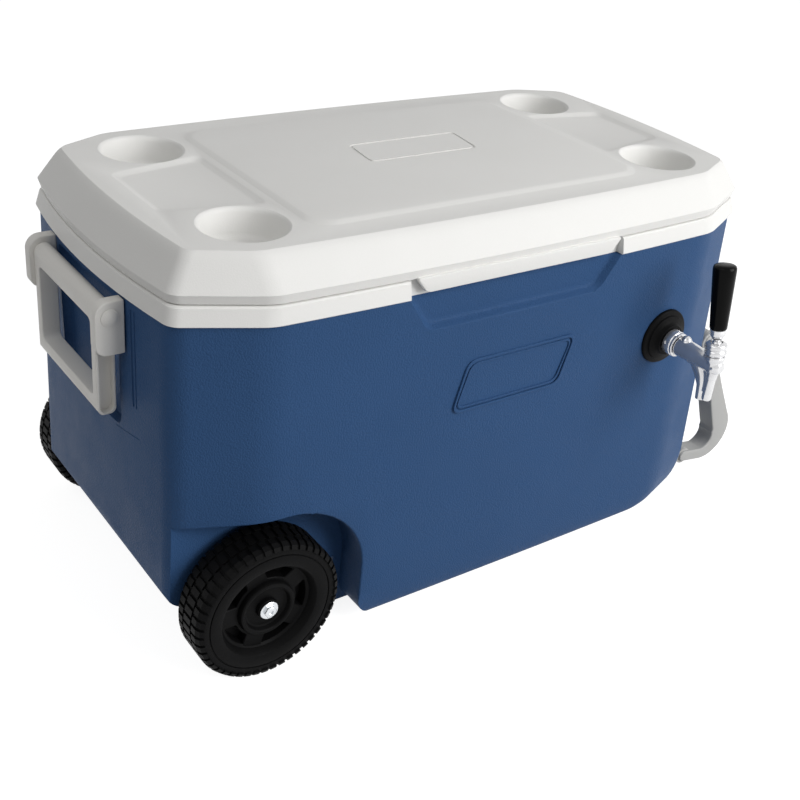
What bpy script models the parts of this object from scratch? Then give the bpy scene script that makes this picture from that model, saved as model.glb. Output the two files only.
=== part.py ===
"""Wheeled cooler with a draught beer tap, built as separate parts at real size (metres, +Z up).

The cooler lies along X with its wheels at -X, the tap faces -Y and the lid is hinged at +Y.
Everything is placed from the middle of the cooler's footprint, and one empty then moves the whole
object so that its origin lies under the middle of its bounding box.
"""

import math
from collections import namedtuple

import bmesh
import bpy
from mathutils import Matrix, Vector

OBJECT_NAME = "kegerator"

# Overall sizes drawn on the picture: 17.5 in high, 19 in deep, 30 in long from bail to lid edge
HEIGHT = 0.4445
OVERALL_DEPTH = 0.4826
OVERALL_LENGTH = 0.762

# Shared clearances and cutter sizes
GAP = 0.0003
OVERRUN = 0.030
ROUND_STEPS = 24
SMALL_STEPS = 12
COARSE_STEPS = 16
NUT_SIDES = 6
CROWN_SHARE = 0.65
EDGE_SHARE = 0.8

# Rim: the widest outline of the cooler, under the lid
BAIL_REACH = 0.0220
TAP_AND_HUB_REACH = 0.0894
RIM_DOWN = 0.0630
SEAM_DOWN = 0.0455
RIM_TOP_INSET = 0.0034
END_BOW = 0.0143
FRONT_BOW = 0.0062
CORNER_CUT_X = 0.0940
CORNER_CUT_Y = 0.0425
CORNER_ROUND = 0.0200
CORNER_STEPS = 2
END_STEPS = 4
FRONT_STEPS = 4

# Blue outer shell of the body
SHELL_INSET = 0.0022
SKIN = 0.0030
BASE_Z = 0.0115
LOW_Z = 0.0600
LOW_TAPER_LEFT = 0.0070
LOW_FLARE_RIGHT = 0.0028
LOW_TAPER_DEPTH = 0.0040
LOW_END_BOW = 0.0040
LOW_FRONT_BOW = 0.0020
LOW_CUT_X = 0.0860
LOW_CUT_Y = 0.0310
FOOT_INSET_LEFT = 0.0100
FOOT_INSET_RIGHT = 0.0300
FOOT_INSET_DEPTH = 0.0085
FOOT_STEPS = 3

# White liner tub
MOUTH_INSET_X = 0.0525
MOUTH_INSET_Y = 0.0451
MOUTH_CUT = 0.0420
FLOOR_Z = 0.0580
TUB_TAPER = 0.0110
BENCH_CLEAR_X = 0.0380
BENCH_CLEAR_Z = 0.0410

# Pressed grip under the lid's front lip
GRIP_TOP_HALF = 0.1350
GRIP_LOW_HALF = 0.1100
GRIP_DOWN = 0.0365
GRIP_DEPTH = 0.0090
GRIP_SLOPE = 0.0100
LIP_HALF = 0.1220
LIP_DOWN = 0.0130
LIP_THICKNESS = 0.0060
LIP_BACK_CLEARANCE = 0.0030

# Finger recess behind the bail
BAIL_RECESS_HALF = 0.0600
BAIL_RECESS_BELOW = 0.0190
BAIL_RECESS_DOWN = 0.0095
BAIL_RECESS_DEPTH = 0.0100
BAIL_RECESS_SLOPE = 0.0080

# Bare raised frames on the front and on the lid
FRAME_PROUD = 0.0012
FRAME_LINE = 0.0030
FRAME_ROUND = 0.0090
FRONT_FRAME_X = 0.0100
FRONT_FRAME_DOWN = 0.1100
FRONT_FRAME_HALF_WIDTH = 0.0720
FRONT_FRAME_HALF_HEIGHT = 0.0295
FRONT_FRAME_SLANT = 0.0070
LID_FRAME_X = 0.0090
LID_FRAME_Y = 0.0130
LID_FRAME_HALF_WIDTH = 0.0700
LID_FRAME_HALF_HEIGHT = 0.0270
LID_FRAME_SLANT = 0.0030

# Lid
RIDGE_RISE = 0.0110
RIDGE_INSET_X = 0.0025
RIDGE_INSET_Y = 0.0027
LID_SEAM_INSET = 0.0030
LID_TOP_INSET = 0.0259
LID_TOP_END_BOW = 0.0093
LID_TOP_FRONT_BOW = 0.0051
LID_TOP_CUT_X = 0.0644
LID_TOP_CUT_Y = 0.0302
LID_CROWN_STEPS = 3
LID_SKIN = 0.0032
PANEL_RISE = 0.0025
PANEL_INSET_X = 0.1670
PANEL_INSET_Y = 0.0616
PANEL_CUT = 0.0110
PANEL_SLOPE = 0.0030
CUP_INSET_X = 0.1095
CUP_INSET_Y = 0.0914
CUP_RADIUS = 0.0400
CUP_LIP = 0.0030
CUP_TAPER = 0.0025
CUP_DEPTH = 0.0300
TRAY_BEFORE_CUP = 0.0430
TRAY_BEYOND_CUP = 0.0545
TRAY_INNER_SHARE = 0.6274
TRAY_OUTER_SHARE = 0.4658
TRAY_DEPTH = 0.0025
PLUG_DROP = 0.0110
PLUG_CLEARANCE = 0.0030
LID_PLATE = 0.0030

# Lid hinges
HINGE_INSET_X = 0.1800
HINGE_OUT = 0.0004
HINGE_RISE = 0.0025
KNUCKLE_RADIUS = 0.0036
HINGE_HALF_WIDTH = 0.0300
LEAF_OUT = 0.0020
LEAF_DROP = 0.0500
LEAF_RISE = 0.0145
LEAF_DEPTH = 0.0090
HINGE_PIN_RADIUS = 0.0016

# Bail handle at the wheel end
BAIL_HALF_WIDTH = 0.0725
BAIL_DEPTH = 0.0185
BAIL_ARM = 0.0105
BAIL_LENGTH = 0.1055
BAIL_GRIP_HEIGHT = 0.0180
BAIL_BAR_RADIUS = 0.0095
BAIL_AXIS_DOWN = 0.0170
BAIL_ROUND = 0.0090
BAIL_SLOT_WALL = 0.0022
BAIL_SLOT_DEPTH = 0.0060
BAIL_BRACKET_WIDTH = 0.0120
BAIL_BRACKET_ABOVE = 0.0150
BAIL_BRACKET_BELOW = 0.0375
BAIL_BRACKET_PROUD = 0.0045
BAIL_PIN_RADIUS = 0.0040
BAIL_PIN_HEAD = 0.0085
BAIL_PIN_DOME = 0.0028
BAIL_PIN_BITE = 0.0060

# Tow handle at the far end
TOW_AXIS_OUT = 0.0065
TOW_AXIS_RISE = 0.1450
TOW_INSET_Y = 0.0466
TOW_ARM_WIDTH = 0.0240
TOW_BEND_OUT = 0.0445
TOW_BEND_Z = 0.0600
TOW_BEND_RADIUS = 0.0400
TOW_ARM_THICK = 0.0300
TOW_ARM_THIN = 0.0150
TOW_BEND_START = 36.0
TOW_BEND_THIN = -20.0
TOW_BEND_END = -100.0
TOW_BEND_STEPS = 10
TOW_HUB_RADIUS = 0.0125
TOW_OUTER_KNEE_BACK = 0.0050
TOW_OUTER_KNEE_RISE = 0.0890
TOW_INNER_KNEE_BACK = 0.0135
TOW_INNER_KNEE_RISE = 0.0590
TOW_GRIP_BACK = 0.0370
TOW_GRIP_BELOW = 0.0270
TOW_GRIP_RADIUS = 0.0110
TOW_BRACKET_WIDTH = 0.0120
TOW_BRACKET_HALF_HEIGHT = 0.0240
TOW_PIN_RADIUS = 0.0045
TOW_PIN_HEAD = 0.0090
TOW_PIN_HEAD_THICK = 0.0030

# Wheels and axle
WHEEL_RADIUS = 0.0790
WHEEL_INSET_X = 0.0970
WHEEL_FACE_OUT = 0.0074
WHEEL_WIDTH = 0.0450
WHEEL_TYRE = 0.0300
WHEEL_SHOULDER = 0.0040
WHEEL_DISH = 0.0100
WHEEL_HUB_RADIUS = 0.0200
WHEEL_HUB_PROUD = 0.0055
WHEEL_RING = 0.0040
WHEEL_POCKETS = 5
WHEEL_POCKET_DEPTH = 0.0100
WHEEL_POCKET_INNER = 0.0240
WHEEL_POCKET_EDGE = 0.0050
WHEEL_RIB = 0.0060
AXLE_RADIUS = 0.0060
AXLE_CAP_RADIUS = 0.0100
AXLE_CAP_THICK = 0.0045
AXLE_PROUD = 0.0005
AXLE_WASHER_RADIUS = 0.0130
AXLE_WASHER_THICK = 0.0020
WELL_CLEAR_Z = 0.0160
WELL_ROUND = 0.0940
WELL_CLEAR_X = 0.1150
WELL_CLEAR_Y = 0.0070
WELL_ROUND_STEPS = 8
BAY_CLEAR_X = 0.1050
BAY_ROUND = 0.0240
STRAP_HALF_LENGTH = 0.0260
STRAP_HALF_WIDTH = 0.0120
STRAP_THICK = 0.0025
STRAP_INSET_Y = 0.0370

# Feet under the far end, level with the wheels
FOOT_INSET_X = 0.0800
FOOT_INSET_Y = 0.0666
FOOT_RADIUS = 0.0190
FOOT_LOW_RADIUS = 0.0170

# Beer tap
TAP_INSET_X = 0.1377
TAP_DOWN = 0.1800
FLANGE_RADIUS = 0.0325
FLANGE_THICK = 0.0130
FLANGE_RIM = 0.0045
FLANGE_STEP = 0.0063
FLANGE_STEP_RADIUS = 0.0265
FLANGE_NECK_RADIUS = 0.0180
SHANK_RADIUS = 0.0110
SHANK_INSIDE = 0.0280
COLLAR_RADIUS = 0.0125
COLLAR_LENGTH = 0.0135
COLLAR_BEVEL = 0.0012
WASHER_RADIUS = 0.0220
WASHER_THICK = 0.0030
NUT_RADIUS = 0.0170
NUT_THICK = 0.0090
TAIL_NUT_RADIUS = 0.0140
TAIL_NUT_LENGTH = 0.0140
BARREL_RADIUS = 0.0112
BARREL_NOSE_RADIUS = 0.0092
LUG_RADIUS = 0.0062
LUG_BACK = 0.0013
LUG_SINK = 0.0021
HOUSING_RADIUS = 0.0090
HOUSING_COLLAR_RADIUS = 0.0110
HOUSING_COLLAR_RISE = 0.0070
BONNET_RADIUS = 0.0120
BONNET_HEIGHT = 0.0154
BONNET_GROOVE = 0.0016
BONNET_OPENING = 0.0084
BARREL_LENGTH = 0.0510
LEVER_LEAN = 9.0
BONNET_LOW_RISE = 0.0116
BALL_BELOW_TOP = 0.0040
LEVER_BALL_RADIUS = 0.0066
LEVER_NECK_RADIUS = 0.0034
LEVER_TIP_RADIUS = 0.0020
LEVER_TIP_RISE = 0.0006
LEVER_RANGE = 25.0
FERRULE_RISE = 0.0034
FERRULE_LOW_RADIUS = 0.0050
FERRULE_RADIUS = 0.0086
FERRULE_HEIGHT = 0.0112
HANDLE_LENGTH = 0.0715
HANDLE_LOW_RADIUS = 0.0094
HANDLE_TOP_RADIUS = 0.0126
HANDLE_ROUND = 0.0015
BOSS_RADIUS = 0.0064
SPOUT_RADIUS = 0.0058
SPOUT_DROP = 0.0450
SPOUT_BACK = 0.0085
SPOUT_START_SHARE = 0.62
SPOUT_CURVE_SHARE = 0.7
NOZZLE_RADIUS = 0.0054
NOZZLE_DROP = 0.0420
NOZZLE_BORE = 0.0036
MOUTH_DEPTH = 0.0035
PLUNGER_RADIUS = 0.0040
PLUNGER_LENGTH = 0.0360
PLUNGER_CLEARANCE = 0.0004
NOTCH_HALF = 0.0038
SEAT_THICK = 0.0020
BOSS_WALL = 0.0030

# Stainless coil in the ice space
COIL_INSET_X = 0.2300
COIL_RADIUS = 0.0850
COIL_TUBE = 0.00475
COIL_PITCH = 0.0125
COIL_TURNS = 9
COIL_POINTS = 20
COIL_KNEE_OUT = 0.0250
COIL_KNEE_BESIDE = 0.0100
COIL_KNEE_Z = 0.1700
COIL_TAIL_REACH = 0.0450
TAIL_POINTS = 8
GAP_STEPS = 4
COIL_DROP_SHARE = 0.8
NEIGHBOUR_REACH = 0.057

# Beer inlet on the far end
INLET_INSET_Y = 0.1366
INLET_DOWN = 0.1445
INLET_FLANGE_RADIUS = 0.0240
INLET_FLANGE_THICK = 0.0060
INLET_OUT = 0.0280
INLET_BARB_RADIUS = 0.0060

# Drain low on the far end
DRAIN_RISE = 0.0190
DRAIN_RADIUS = 0.0090
DRAIN_FLANGE_RADIUS = 0.0190
DRAIN_FLANGE_THICK = 0.0040
DRAIN_OUT = 0.0190
DRAIN_CAP_RADIUS = 0.0170
DRAIN_CAP_END = 0.0030
DRAIN_GASKET_THICK = 0.0020
DRAIN_NUT_THICK = 0.0070
DRAIN_WINGS = 0.0030

# Places worked out from the sizes above
RIM_HALF_LENGTH = (OVERALL_LENGTH - BAIL_REACH) / 2
RIM_HALF_DEPTH = (OVERALL_DEPTH - TAP_AND_HUB_REACH) / 2
RIM_LOW_Z = HEIGHT - RIM_DOWN
SEAM_Z = HEIGHT - SEAM_DOWN
RIDGE_Z = SEAM_Z + RIDGE_RISE
RIDGE_HALF_LENGTH = RIM_HALF_LENGTH - RIDGE_INSET_X
RIDGE_HALF_DEPTH = RIM_HALF_DEPTH - RIDGE_INSET_Y
MOUTH_HALF_LENGTH = RIM_HALF_LENGTH - MOUTH_INSET_X
MOUTH_HALF_DEPTH = RIM_HALF_DEPTH - MOUTH_INSET_Y
WHEEL_X = -(RIM_HALF_LENGTH - WHEEL_INSET_X)
WHEEL_FACE_Y = RIM_HALF_DEPTH + WHEEL_FACE_OUT
WHEEL_SIDEWALL = WHEEL_RADIUS - WHEEL_TYRE
WHEEL_POCKET_OUTER = WHEEL_SIDEWALL - WHEEL_POCKET_EDGE
WELL_RIGHT_X = WHEEL_X + WELL_CLEAR_X
WELL_TOP_Z = 2 * WHEEL_RADIUS + WELL_CLEAR_Z
WELL_INNER_Y = WHEEL_FACE_Y - WHEEL_WIDTH - WELL_CLEAR_Y
BAY_RIGHT_X = WHEEL_X + BAY_CLEAR_X
BAY_Z = WHEEL_RADIUS - AXLE_RADIUS - GAP
STRAP_Y = WELL_INNER_Y - STRAP_INSET_Y
BENCH_X = WELL_RIGHT_X + BENCH_CLEAR_X
BENCH_Z = WELL_TOP_Z + BENCH_CLEAR_Z
GRIP_LOW_Z = RIM_LOW_Z - GRIP_DOWN
LIP_LOW_Z = SEAM_Z - LIP_DOWN
FRONT_FRAME_Z = RIM_LOW_Z - FRONT_FRAME_DOWN
PANEL_HALF_LENGTH = RIM_HALF_LENGTH - PANEL_INSET_X
PANEL_HALF_DEPTH = RIM_HALF_DEPTH - PANEL_INSET_Y
CUP_X = RIM_HALF_LENGTH - CUP_INSET_X
CUP_Y = RIM_HALF_DEPTH - CUP_INSET_Y
TRAY_INNER_X = CUP_X - TRAY_BEFORE_CUP
TRAY_OUTER_X = CUP_X + TRAY_BEYOND_CUP
TRAY_INNER_HALF = TRAY_INNER_SHARE * CUP_Y
TRAY_OUTER_HALF = TRAY_OUTER_SHARE * CUP_Y
HINGE_X = RIM_HALF_LENGTH - HINGE_INSET_X
HINGE_AXIS_Y = RIM_HALF_DEPTH + HINGE_OUT
HINGE_AXIS_Z = SEAM_Z + HINGE_RISE
LEAF_OUTER_Y = HINGE_AXIS_Y + LEAF_OUT
BAIL_AXIS_X = -(OVERALL_LENGTH - RIM_HALF_LENGTH) + BAIL_BRACKET_PROUD + BAIL_DEPTH / 2
BAIL_AXIS_Z = RIM_LOW_Z - BAIL_AXIS_DOWN
BAIL_LOW_Z = BAIL_AXIS_Z - BAIL_LENGTH
BAIL_BRACKET_TOP_Z = BAIL_AXIS_Z + BAIL_BRACKET_ABOVE
BAIL_BRACKET_LOW_Z = BAIL_AXIS_Z - BAIL_BRACKET_BELOW
BAIL_RECESS_LOW_Z = BAIL_LOW_Z - BAIL_RECESS_BELOW
BAIL_RECESS_TOP_Z = RIM_LOW_Z - BAIL_RECESS_DOWN
TOW_AXIS_X = RIM_HALF_LENGTH + TOW_AXIS_OUT
TOW_AXIS_Z = TOW_BEND_Z + TOW_AXIS_RISE
TOW_OUTER_Y = RIM_HALF_DEPTH - TOW_INSET_Y
TOW_BEND_X = TOW_AXIS_X + TOW_BEND_OUT
TOW_OUTER_KNEE = (TOW_BEND_X - TOW_OUTER_KNEE_BACK, TOW_BEND_Z + TOW_OUTER_KNEE_RISE)
TOW_INNER_KNEE = (TOW_BEND_X - TOW_INNER_KNEE_BACK, TOW_BEND_Z + TOW_INNER_KNEE_RISE)
TOW_GRIP_X = TOW_BEND_X - TOW_GRIP_BACK
TOW_GRIP_Z = TOW_BEND_Z - TOW_GRIP_BELOW
FOOT_X = RIM_HALF_LENGTH - FOOT_INSET_X
FOOT_Y = RIM_HALF_DEPTH - FOOT_INSET_Y
TAP_X = RIM_HALF_LENGTH - TAP_INSET_X
TAP_Z = HEIGHT - TAP_DOWN
COIL_X = RIM_HALF_LENGTH - COIL_INSET_X
COIL_KNEE_Y = COIL_RADIUS + COIL_KNEE_BESIDE
INLET_Y = RIM_HALF_DEPTH - INLET_INSET_Y
INLET_Z = HEIGHT - INLET_DOWN
DRAIN_Z = FLOOR_Z + DRAIN_RISE
HUB_FACE_Y = WHEEL_FACE_Y - WHEEL_DISH + WHEEL_HUB_PROUD
BACK_MOST_Y = HUB_FACE_Y + AXLE_PROUD + GAP + AXLE_CAP_THICK
FRONT_MOST_Y = BACK_MOST_Y - OVERALL_DEPTH
LEFT_MOST_X = RIM_HALF_LENGTH - OVERALL_LENGTH
RIGHT_MOST_X = TOW_BEND_X + TOW_BEND_RADIUS
LID_TOP_Z = HEIGHT - PANEL_RISE

Section = namedtuple("Section", "z left right depth bow_x bow_y cut_x cut_y")


def clear_scene():
    for obj in list(bpy.data.objects):
        bpy.data.objects.remove(obj, do_unlink=True)


def new_collection(name):
    collection = bpy.data.collections.new(name)
    bpy.context.scene.collection.children.link(collection)
    return collection


def material(name, colour, roughness, metallic=0.0):
    made = bpy.data.materials.new(name)
    made.use_nodes = True
    shader = made.node_tree.nodes["Principled BSDF"]
    shader.inputs["Base Color"].default_value = (*colour, 1.0)
    shader.inputs["Roughness"].default_value = roughness
    shader.inputs["Metallic"].default_value = metallic
    made.diffuse_color = (*colour, 1.0)
    return made


clear_scene()
PARTS = new_collection(OBJECT_NAME)
CUTTERS = new_collection("cutters")
BLUE = material("blue_shell", (0.051, 0.120, 0.300), 0.55)
WHITE = material("white_plastic", (0.850, 0.850, 0.840), 0.50)
GREY = material("light_grey_plastic", (0.500, 0.500, 0.485), 0.50)
BLACK = material("black_plastic", (0.012, 0.012, 0.013), 0.45)
CHROME = material("chrome", (0.800, 0.800, 0.810), 0.12, 1.0)
STEEL = material("stainless_steel", (0.620, 0.620, 0.610), 0.28, 1.0)
RUBBER = material("black_rubber", (0.015, 0.015, 0.015), 0.80)
FOAM = material("insulating_foam", (0.780, 0.680, 0.420), 0.95)

ROOT = bpy.data.objects.new(OBJECT_NAME + "_origin", None)
ROOT.location = (-(LEFT_MOST_X + RIGHT_MOST_X) / 2, -(FRONT_MOST_Y + BACK_MOST_Y) / 2, 0.0)
PARTS.objects.link(ROOT)


def add_object(name, data, finish=None):
    """A part when it has a finish, otherwise a hidden cutter; both hang on the root empty."""
    obj = bpy.data.objects.new(name, data)
    if finish is None:
        CUTTERS.objects.link(obj)
        obj.hide_render = True
        obj.display_type = "WIRE"
    else:
        PARTS.objects.link(obj)
        data.materials.append(finish)
    obj.parent = ROOT
    return obj


def mesh_from(bm, name):
    bmesh.ops.recalc_face_normals(bm, faces=bm.faces)
    mesh = bpy.data.meshes.new(name)
    bm.to_mesh(mesh)
    bm.free()
    return mesh


def loft(name, rings, finish=None):
    """A closed solid through rings of equally many points."""
    bm = bmesh.new()
    rows = [[bm.verts.new(point) for point in ring] for ring in rings]
    count = len(rows[0])
    for low, high in zip(rows, rows[1:]):
        for i in range(count):
            j = (i + 1) % count
            bm.faces.new((low[i], low[j], high[j]))
            bm.faces.new((low[i], high[j], high[i]))
    bm.faces.new(reversed(rows[0]))
    bm.faces.new(rows[-1])
    return add_object(name, mesh_from(bm, name), finish)


def box(name, low, high, finish=None):
    size = [b - a for a, b in zip(low, high)]
    middle = [(a + b) / 2 for a, b in zip(low, high)]
    bm = bmesh.new()
    bmesh.ops.create_cube(bm, size=1.0)
    bmesh.ops.transform(bm, matrix=Matrix.Diagonal((*size, 1.0)), verts=bm.verts)
    bmesh.ops.translate(bm, vec=middle, verts=bm.verts)
    return add_object(name, mesh_from(bm, name), finish)


TURN_TO = {
    "+X": Matrix.Rotation(math.radians(90), 3, "Y"),
    "-X": Matrix.Rotation(math.radians(-90), 3, "Y"),
    "+Y": Matrix.Rotation(math.radians(-90), 3, "X"),
    "-Y": Matrix.Rotation(math.radians(90), 3, "X"),
    "+Z": Matrix.Identity(3),
}


def cylinder(name, radius, start, end, finish=None, steps=ROUND_STEPS, end_radius=None):
    """A cylinder or cone from start to end."""
    start, end = Vector(start), Vector(end)
    along = end - start
    turn = Vector((0, 0, 1)).rotation_difference(along).to_matrix().to_4x4()
    bm = bmesh.new()
    bmesh.ops.create_cone(
        bm, cap_ends=True, segments=steps, radius1=radius,
        radius2=radius if end_radius is None else end_radius, depth=along.length,
    )
    bmesh.ops.transform(bm, matrix=Matrix.Translation((start + end) / 2) @ turn, verts=bm.verts)
    return add_object(name, mesh_from(bm, name), finish)


def sphere(name, radius, centre, steps=COARSE_STEPS):
    bm = bmesh.new()
    bmesh.ops.create_uvsphere(bm, u_segments=steps, v_segments=steps // 2, radius=radius)
    bmesh.ops.translate(bm, vec=centre, verts=bm.verts)
    return add_object(name, mesh_from(bm, name))


def turned(name, profile, place, towards, finish=None, steps=ROUND_STEPS):
    """A solid of revolution: profile holds (radius, height) from top to bottom, turned about
    an axis through place that points towards a named direction or along a vector."""
    mesh = bpy.data.meshes.new(name)
    points = [(radius, 0.0, height) for radius, height in profile]
    closed = profile[0][0] > 0 and profile[-1][0] > 0
    edges = [(i, i + 1) for i in range(len(points) - 1)]
    if closed:
        edges.append((len(points) - 1, 0))
    mesh.from_pydata(points, edges, [])
    obj = add_object(name, mesh, finish)
    screw = obj.modifiers.new("Turn", "SCREW")
    screw.steps = steps
    screw.render_steps = steps
    screw.use_merge_vertices = True
    screw.merge_threshold = 0.00001
    obj.location = place
    if isinstance(towards, str):
        turn = TURN_TO[towards]
    else:
        turn = Vector((0, 0, 1)).rotation_difference(towards).to_matrix()
    obj.rotation_euler = turn.to_euler()
    return as_mesh(obj, name, finish)


def as_mesh(obj, name, finish=None):
    """Replace a curve or a modified object by its evaluated mesh, with its caps welded."""
    bpy.context.view_layer.update()
    depsgraph = bpy.context.evaluated_depsgraph_get()
    mesh = bpy.data.meshes.new_from_object(obj.evaluated_get(depsgraph))
    mesh.name = name
    matrix = obj.matrix_basis.copy()
    mesh.materials.clear()
    bpy.data.objects.remove(obj, do_unlink=True)
    bm = bmesh.new()
    bm.from_mesh(mesh)
    bmesh.ops.remove_doubles(bm, verts=bm.verts, dist=0.00001)
    bmesh.ops.recalc_face_normals(bm, faces=bm.faces)
    bm.to_mesh(mesh)
    bm.free()
    made = add_object(name, mesh, finish)
    made.matrix_basis = matrix
    return made


def outline_plate(name, points, near, far, axis, finish=None):
    """A flat outline given in the plane square to axis, filled and extruded from near to far."""
    curve = bpy.data.curves.new(name, "CURVE")
    curve.dimensions = "2D"
    curve.fill_mode = "BOTH"
    curve.extrude = abs(far - near) / 2
    spline = curve.splines.new("POLY")
    spline.points.add(len(points) - 1)
    for point, (u, v) in zip(spline.points, points):
        point.co = (u, v, 0.0, 1.0)
    spline.use_cyclic_u = True
    flat = add_object(name + "_flat", curve)
    middle = (near + far) / 2
    if axis == "Y":
        flat.matrix_basis = Matrix.Translation((0, middle, 0)) @ Matrix.Rotation(math.radians(90), 4, "X")
    elif axis == "X":
        turn = Matrix(((0, 0, 1, 0), (1, 0, 0, 0), (0, 1, 0, 0), (0, 0, 0, 1)))
        flat.matrix_basis = Matrix.Translation((middle, 0, 0)) @ turn
    else:
        flat.matrix_basis = Matrix.Translation((0, 0, middle))
    made = as_mesh(flat, name, finish)
    made.data.transform(made.matrix_basis)
    made.matrix_basis = Matrix.Identity(4)
    return made


def tube(name, points, radius, finish=None, resolution=2):
    """A round tube with filled caps along a list of points."""
    curve = bpy.data.curves.new(name, "CURVE")
    curve.dimensions = "3D"
    curve.bevel_depth = radius
    curve.bevel_resolution = resolution
    curve.use_fill_caps = True
    spline = curve.splines.new("POLY")
    spline.points.add(len(points) - 1)
    for point, place in zip(spline.points, points):
        point.co = (*place, 1.0)
    return add_object(name, curve, finish)


def boolean(target, cutter, operation):
    modifier = target.modifiers.new(cutter.name, "BOOLEAN")
    modifier.operation = operation
    modifier.object = cutter


def cut(target, *cutters):
    for cutter in cutters:
        boolean(target, cutter, "DIFFERENCE")


def join(target, *pieces):
    for piece in pieces:
        boolean(target, piece, "UNION")


def bevel(obj, width, segments=2):
    modifier = obj.modifiers.new("Rounded edges", "BEVEL")
    modifier.width = width
    modifier.segments = segments
    modifier.limit_method = "ANGLE"


def set_origin(obj, point):
    """Move an object's origin to a point without moving its mesh."""
    point = Vector(point)
    obj.data.transform(Matrix.Translation(obj.location - point))
    obj.location = point


def rounded_outline(corners, radius, steps=CORNER_STEPS):
    """A closed outline whose corners are softened by short curves that start radius away."""
    points = []
    count = len(corners)
    for i, corner in enumerate(corners):
        corner = Vector(corner)
        before = (Vector(corners[i - 1]) - corner).normalized() * radius + corner
        after = (Vector(corners[(i + 1) % count]) - corner).normalized() * radius + corner
        for k in range(steps + 1):
            t = k / steps
            points.append(tuple(before * (1 - t) ** 2 + corner * 2 * t * (1 - t) + after * t ** 2))
    return points


def arc_points(centre, radius, start, end, steps):
    """Points on an arc, with angles in degrees."""
    points = []
    for k in range(steps + 1):
        angle = math.radians(start + (end - start) * k / steps)
        points.append((centre[0] + radius * math.cos(angle), centre[1] + radius * math.sin(angle)))
    return points


def section_ring(section):
    """The cooler's outline at one height: four bowed sides joined by softened corner cuts."""
    inner_x = {-1: section.left - section.bow_x, 1: section.right - section.bow_x}
    reach_y = section.depth - section.bow_y
    stop_y = section.depth - section.cut_y
    ring = []
    for side_x, side_y in ((1, 1), (-1, 1), (-1, -1), (1, -1)):
        full = section.left if side_x < 0 else section.right
        end_corner = Vector((side_x * inner_x[side_x], side_y * stop_y))
        long_corner = Vector((side_x * (full - section.cut_x), side_y * reach_y))
        first, last = (end_corner, long_corner) if side_x == side_y else (long_corner, end_corner)
        ring.append((first, last))
    corners = [point for pair in ring for point in pair]
    soft = rounded_outline(corners, CORNER_ROUND)
    per_corner = CORNER_STEPS + 1
    outline = []
    for i in range(len(corners)):
        outline += soft[i * per_corner:(i + 1) * per_corner]
        if i % 2:
            after = soft[((i + 1) * per_corner) % len(soft)]
            steps = FRONT_STEPS if i % 4 == 1 else END_STEPS
            for k in range(1, steps):
                outline.append(tuple(Vector(outline_end(soft, i, per_corner)).lerp(Vector(after),
                                                                                   k / steps)))
    return [bowed(x, y, section, stop_y) for x, y in outline]


def outline_end(soft, i, per_corner):
    return soft[(i + 1) * per_corner - 1]


def bowed(x, y, section, stop_y):
    """Push a point of the outline outwards by the bow of the side that it lies on."""
    full = section.left if x < 0 else section.right
    stop_x = full - section.cut_x
    if abs(x) < stop_x:
        y += math.copysign(section.bow_y * (1 - (x / stop_x) ** 2), y)
    if abs(y) < stop_y:
        x += math.copysign(section.bow_x * (1 - (y / stop_y) ** 2), x)
    return (x, y, section.z)


def blend(low, high, share):
    return Section(*(a + (b - a) * share for a, b in zip(low, high)))


def grown(section, amount, z=None):
    """The same outline moved outwards by an amount, or inwards when it is negative."""
    return section._replace(
        z=section.z if z is None else z, left=section.left + amount,
        right=section.right + amount, depth=section.depth + amount,
    )


def rim_section(z):
    share = (z - RIM_LOW_Z) / (SEAM_Z - RIM_LOW_Z)
    low = Section(RIM_LOW_Z, RIM_HALF_LENGTH, RIM_HALF_LENGTH, RIM_HALF_DEPTH, END_BOW, FRONT_BOW,
                  CORNER_CUT_X, CORNER_CUT_Y)
    return blend(low, grown(low, -RIM_TOP_INSET, SEAM_Z), share)


def body_section(z):
    """The blue shell's outline at a height above the foot's rounding."""
    top = grown(rim_section(RIM_LOW_Z), -SHELL_INSET, RIM_LOW_Z - GAP)
    low = Section(LOW_Z, top.left - LOW_TAPER_LEFT, top.right + LOW_FLARE_RIGHT,
                  top.depth - LOW_TAPER_DEPTH, LOW_END_BOW, LOW_FRONT_BOW, LOW_CUT_X, LOW_CUT_Y)
    return blend(low, top, (z - LOW_Z) / (top.z - LOW_Z))._replace(z=z)


def foot_sections(growth):
    """Outlines that round the bottom edge in a quarter ellipse, from the base upwards."""
    sections = []
    for k in range(FOOT_STEPS):
        angle = math.radians(90) * k / FOOT_STEPS
        inset = 1 - math.sin(angle)
        low = body_section(LOW_Z)
        sections.append(grown(low._replace(
            z=BASE_Z - growth + (LOW_Z - BASE_Z) * (1 - math.cos(angle)),
            left=low.left - FOOT_INSET_LEFT * inset, right=low.right - FOOT_INSET_RIGHT * inset,
            depth=low.depth - FOOT_INSET_DEPTH * inset ** 2,
        ), growth))
    return sections


def body_solid(name, growth, top_z, finish=None):
    """The outer form of the blue shell, grown or shrunk all over, up to a height."""
    sections = foot_sections(growth)
    sections += [grown(body_section(z), growth) for z in (LOW_Z, RIM_LOW_Z - GAP)]
    if top_z > RIM_LOW_Z:
        sections.append(grown(body_section(RIM_LOW_Z - GAP), growth, top_z))
    return loft(name, [section_ring(section) for section in sections], finish)


def wall_y(x, z):
    """Where the front wall's outer face is, as a negative Y."""
    section = body_section(z)
    stop_x = section.right - section.cut_x
    return -(section.depth - section.bow_y + section.bow_y * max(0.0, 1 - (x / stop_x) ** 2))


def wall_x(y, z):
    """Where the outer face of the far end wall is."""
    section = body_section(z)
    stop_y = section.depth - section.cut_y
    return section.right - section.bow_x + section.bow_x * max(0.0, 1 - (y / stop_y) ** 2)


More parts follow.
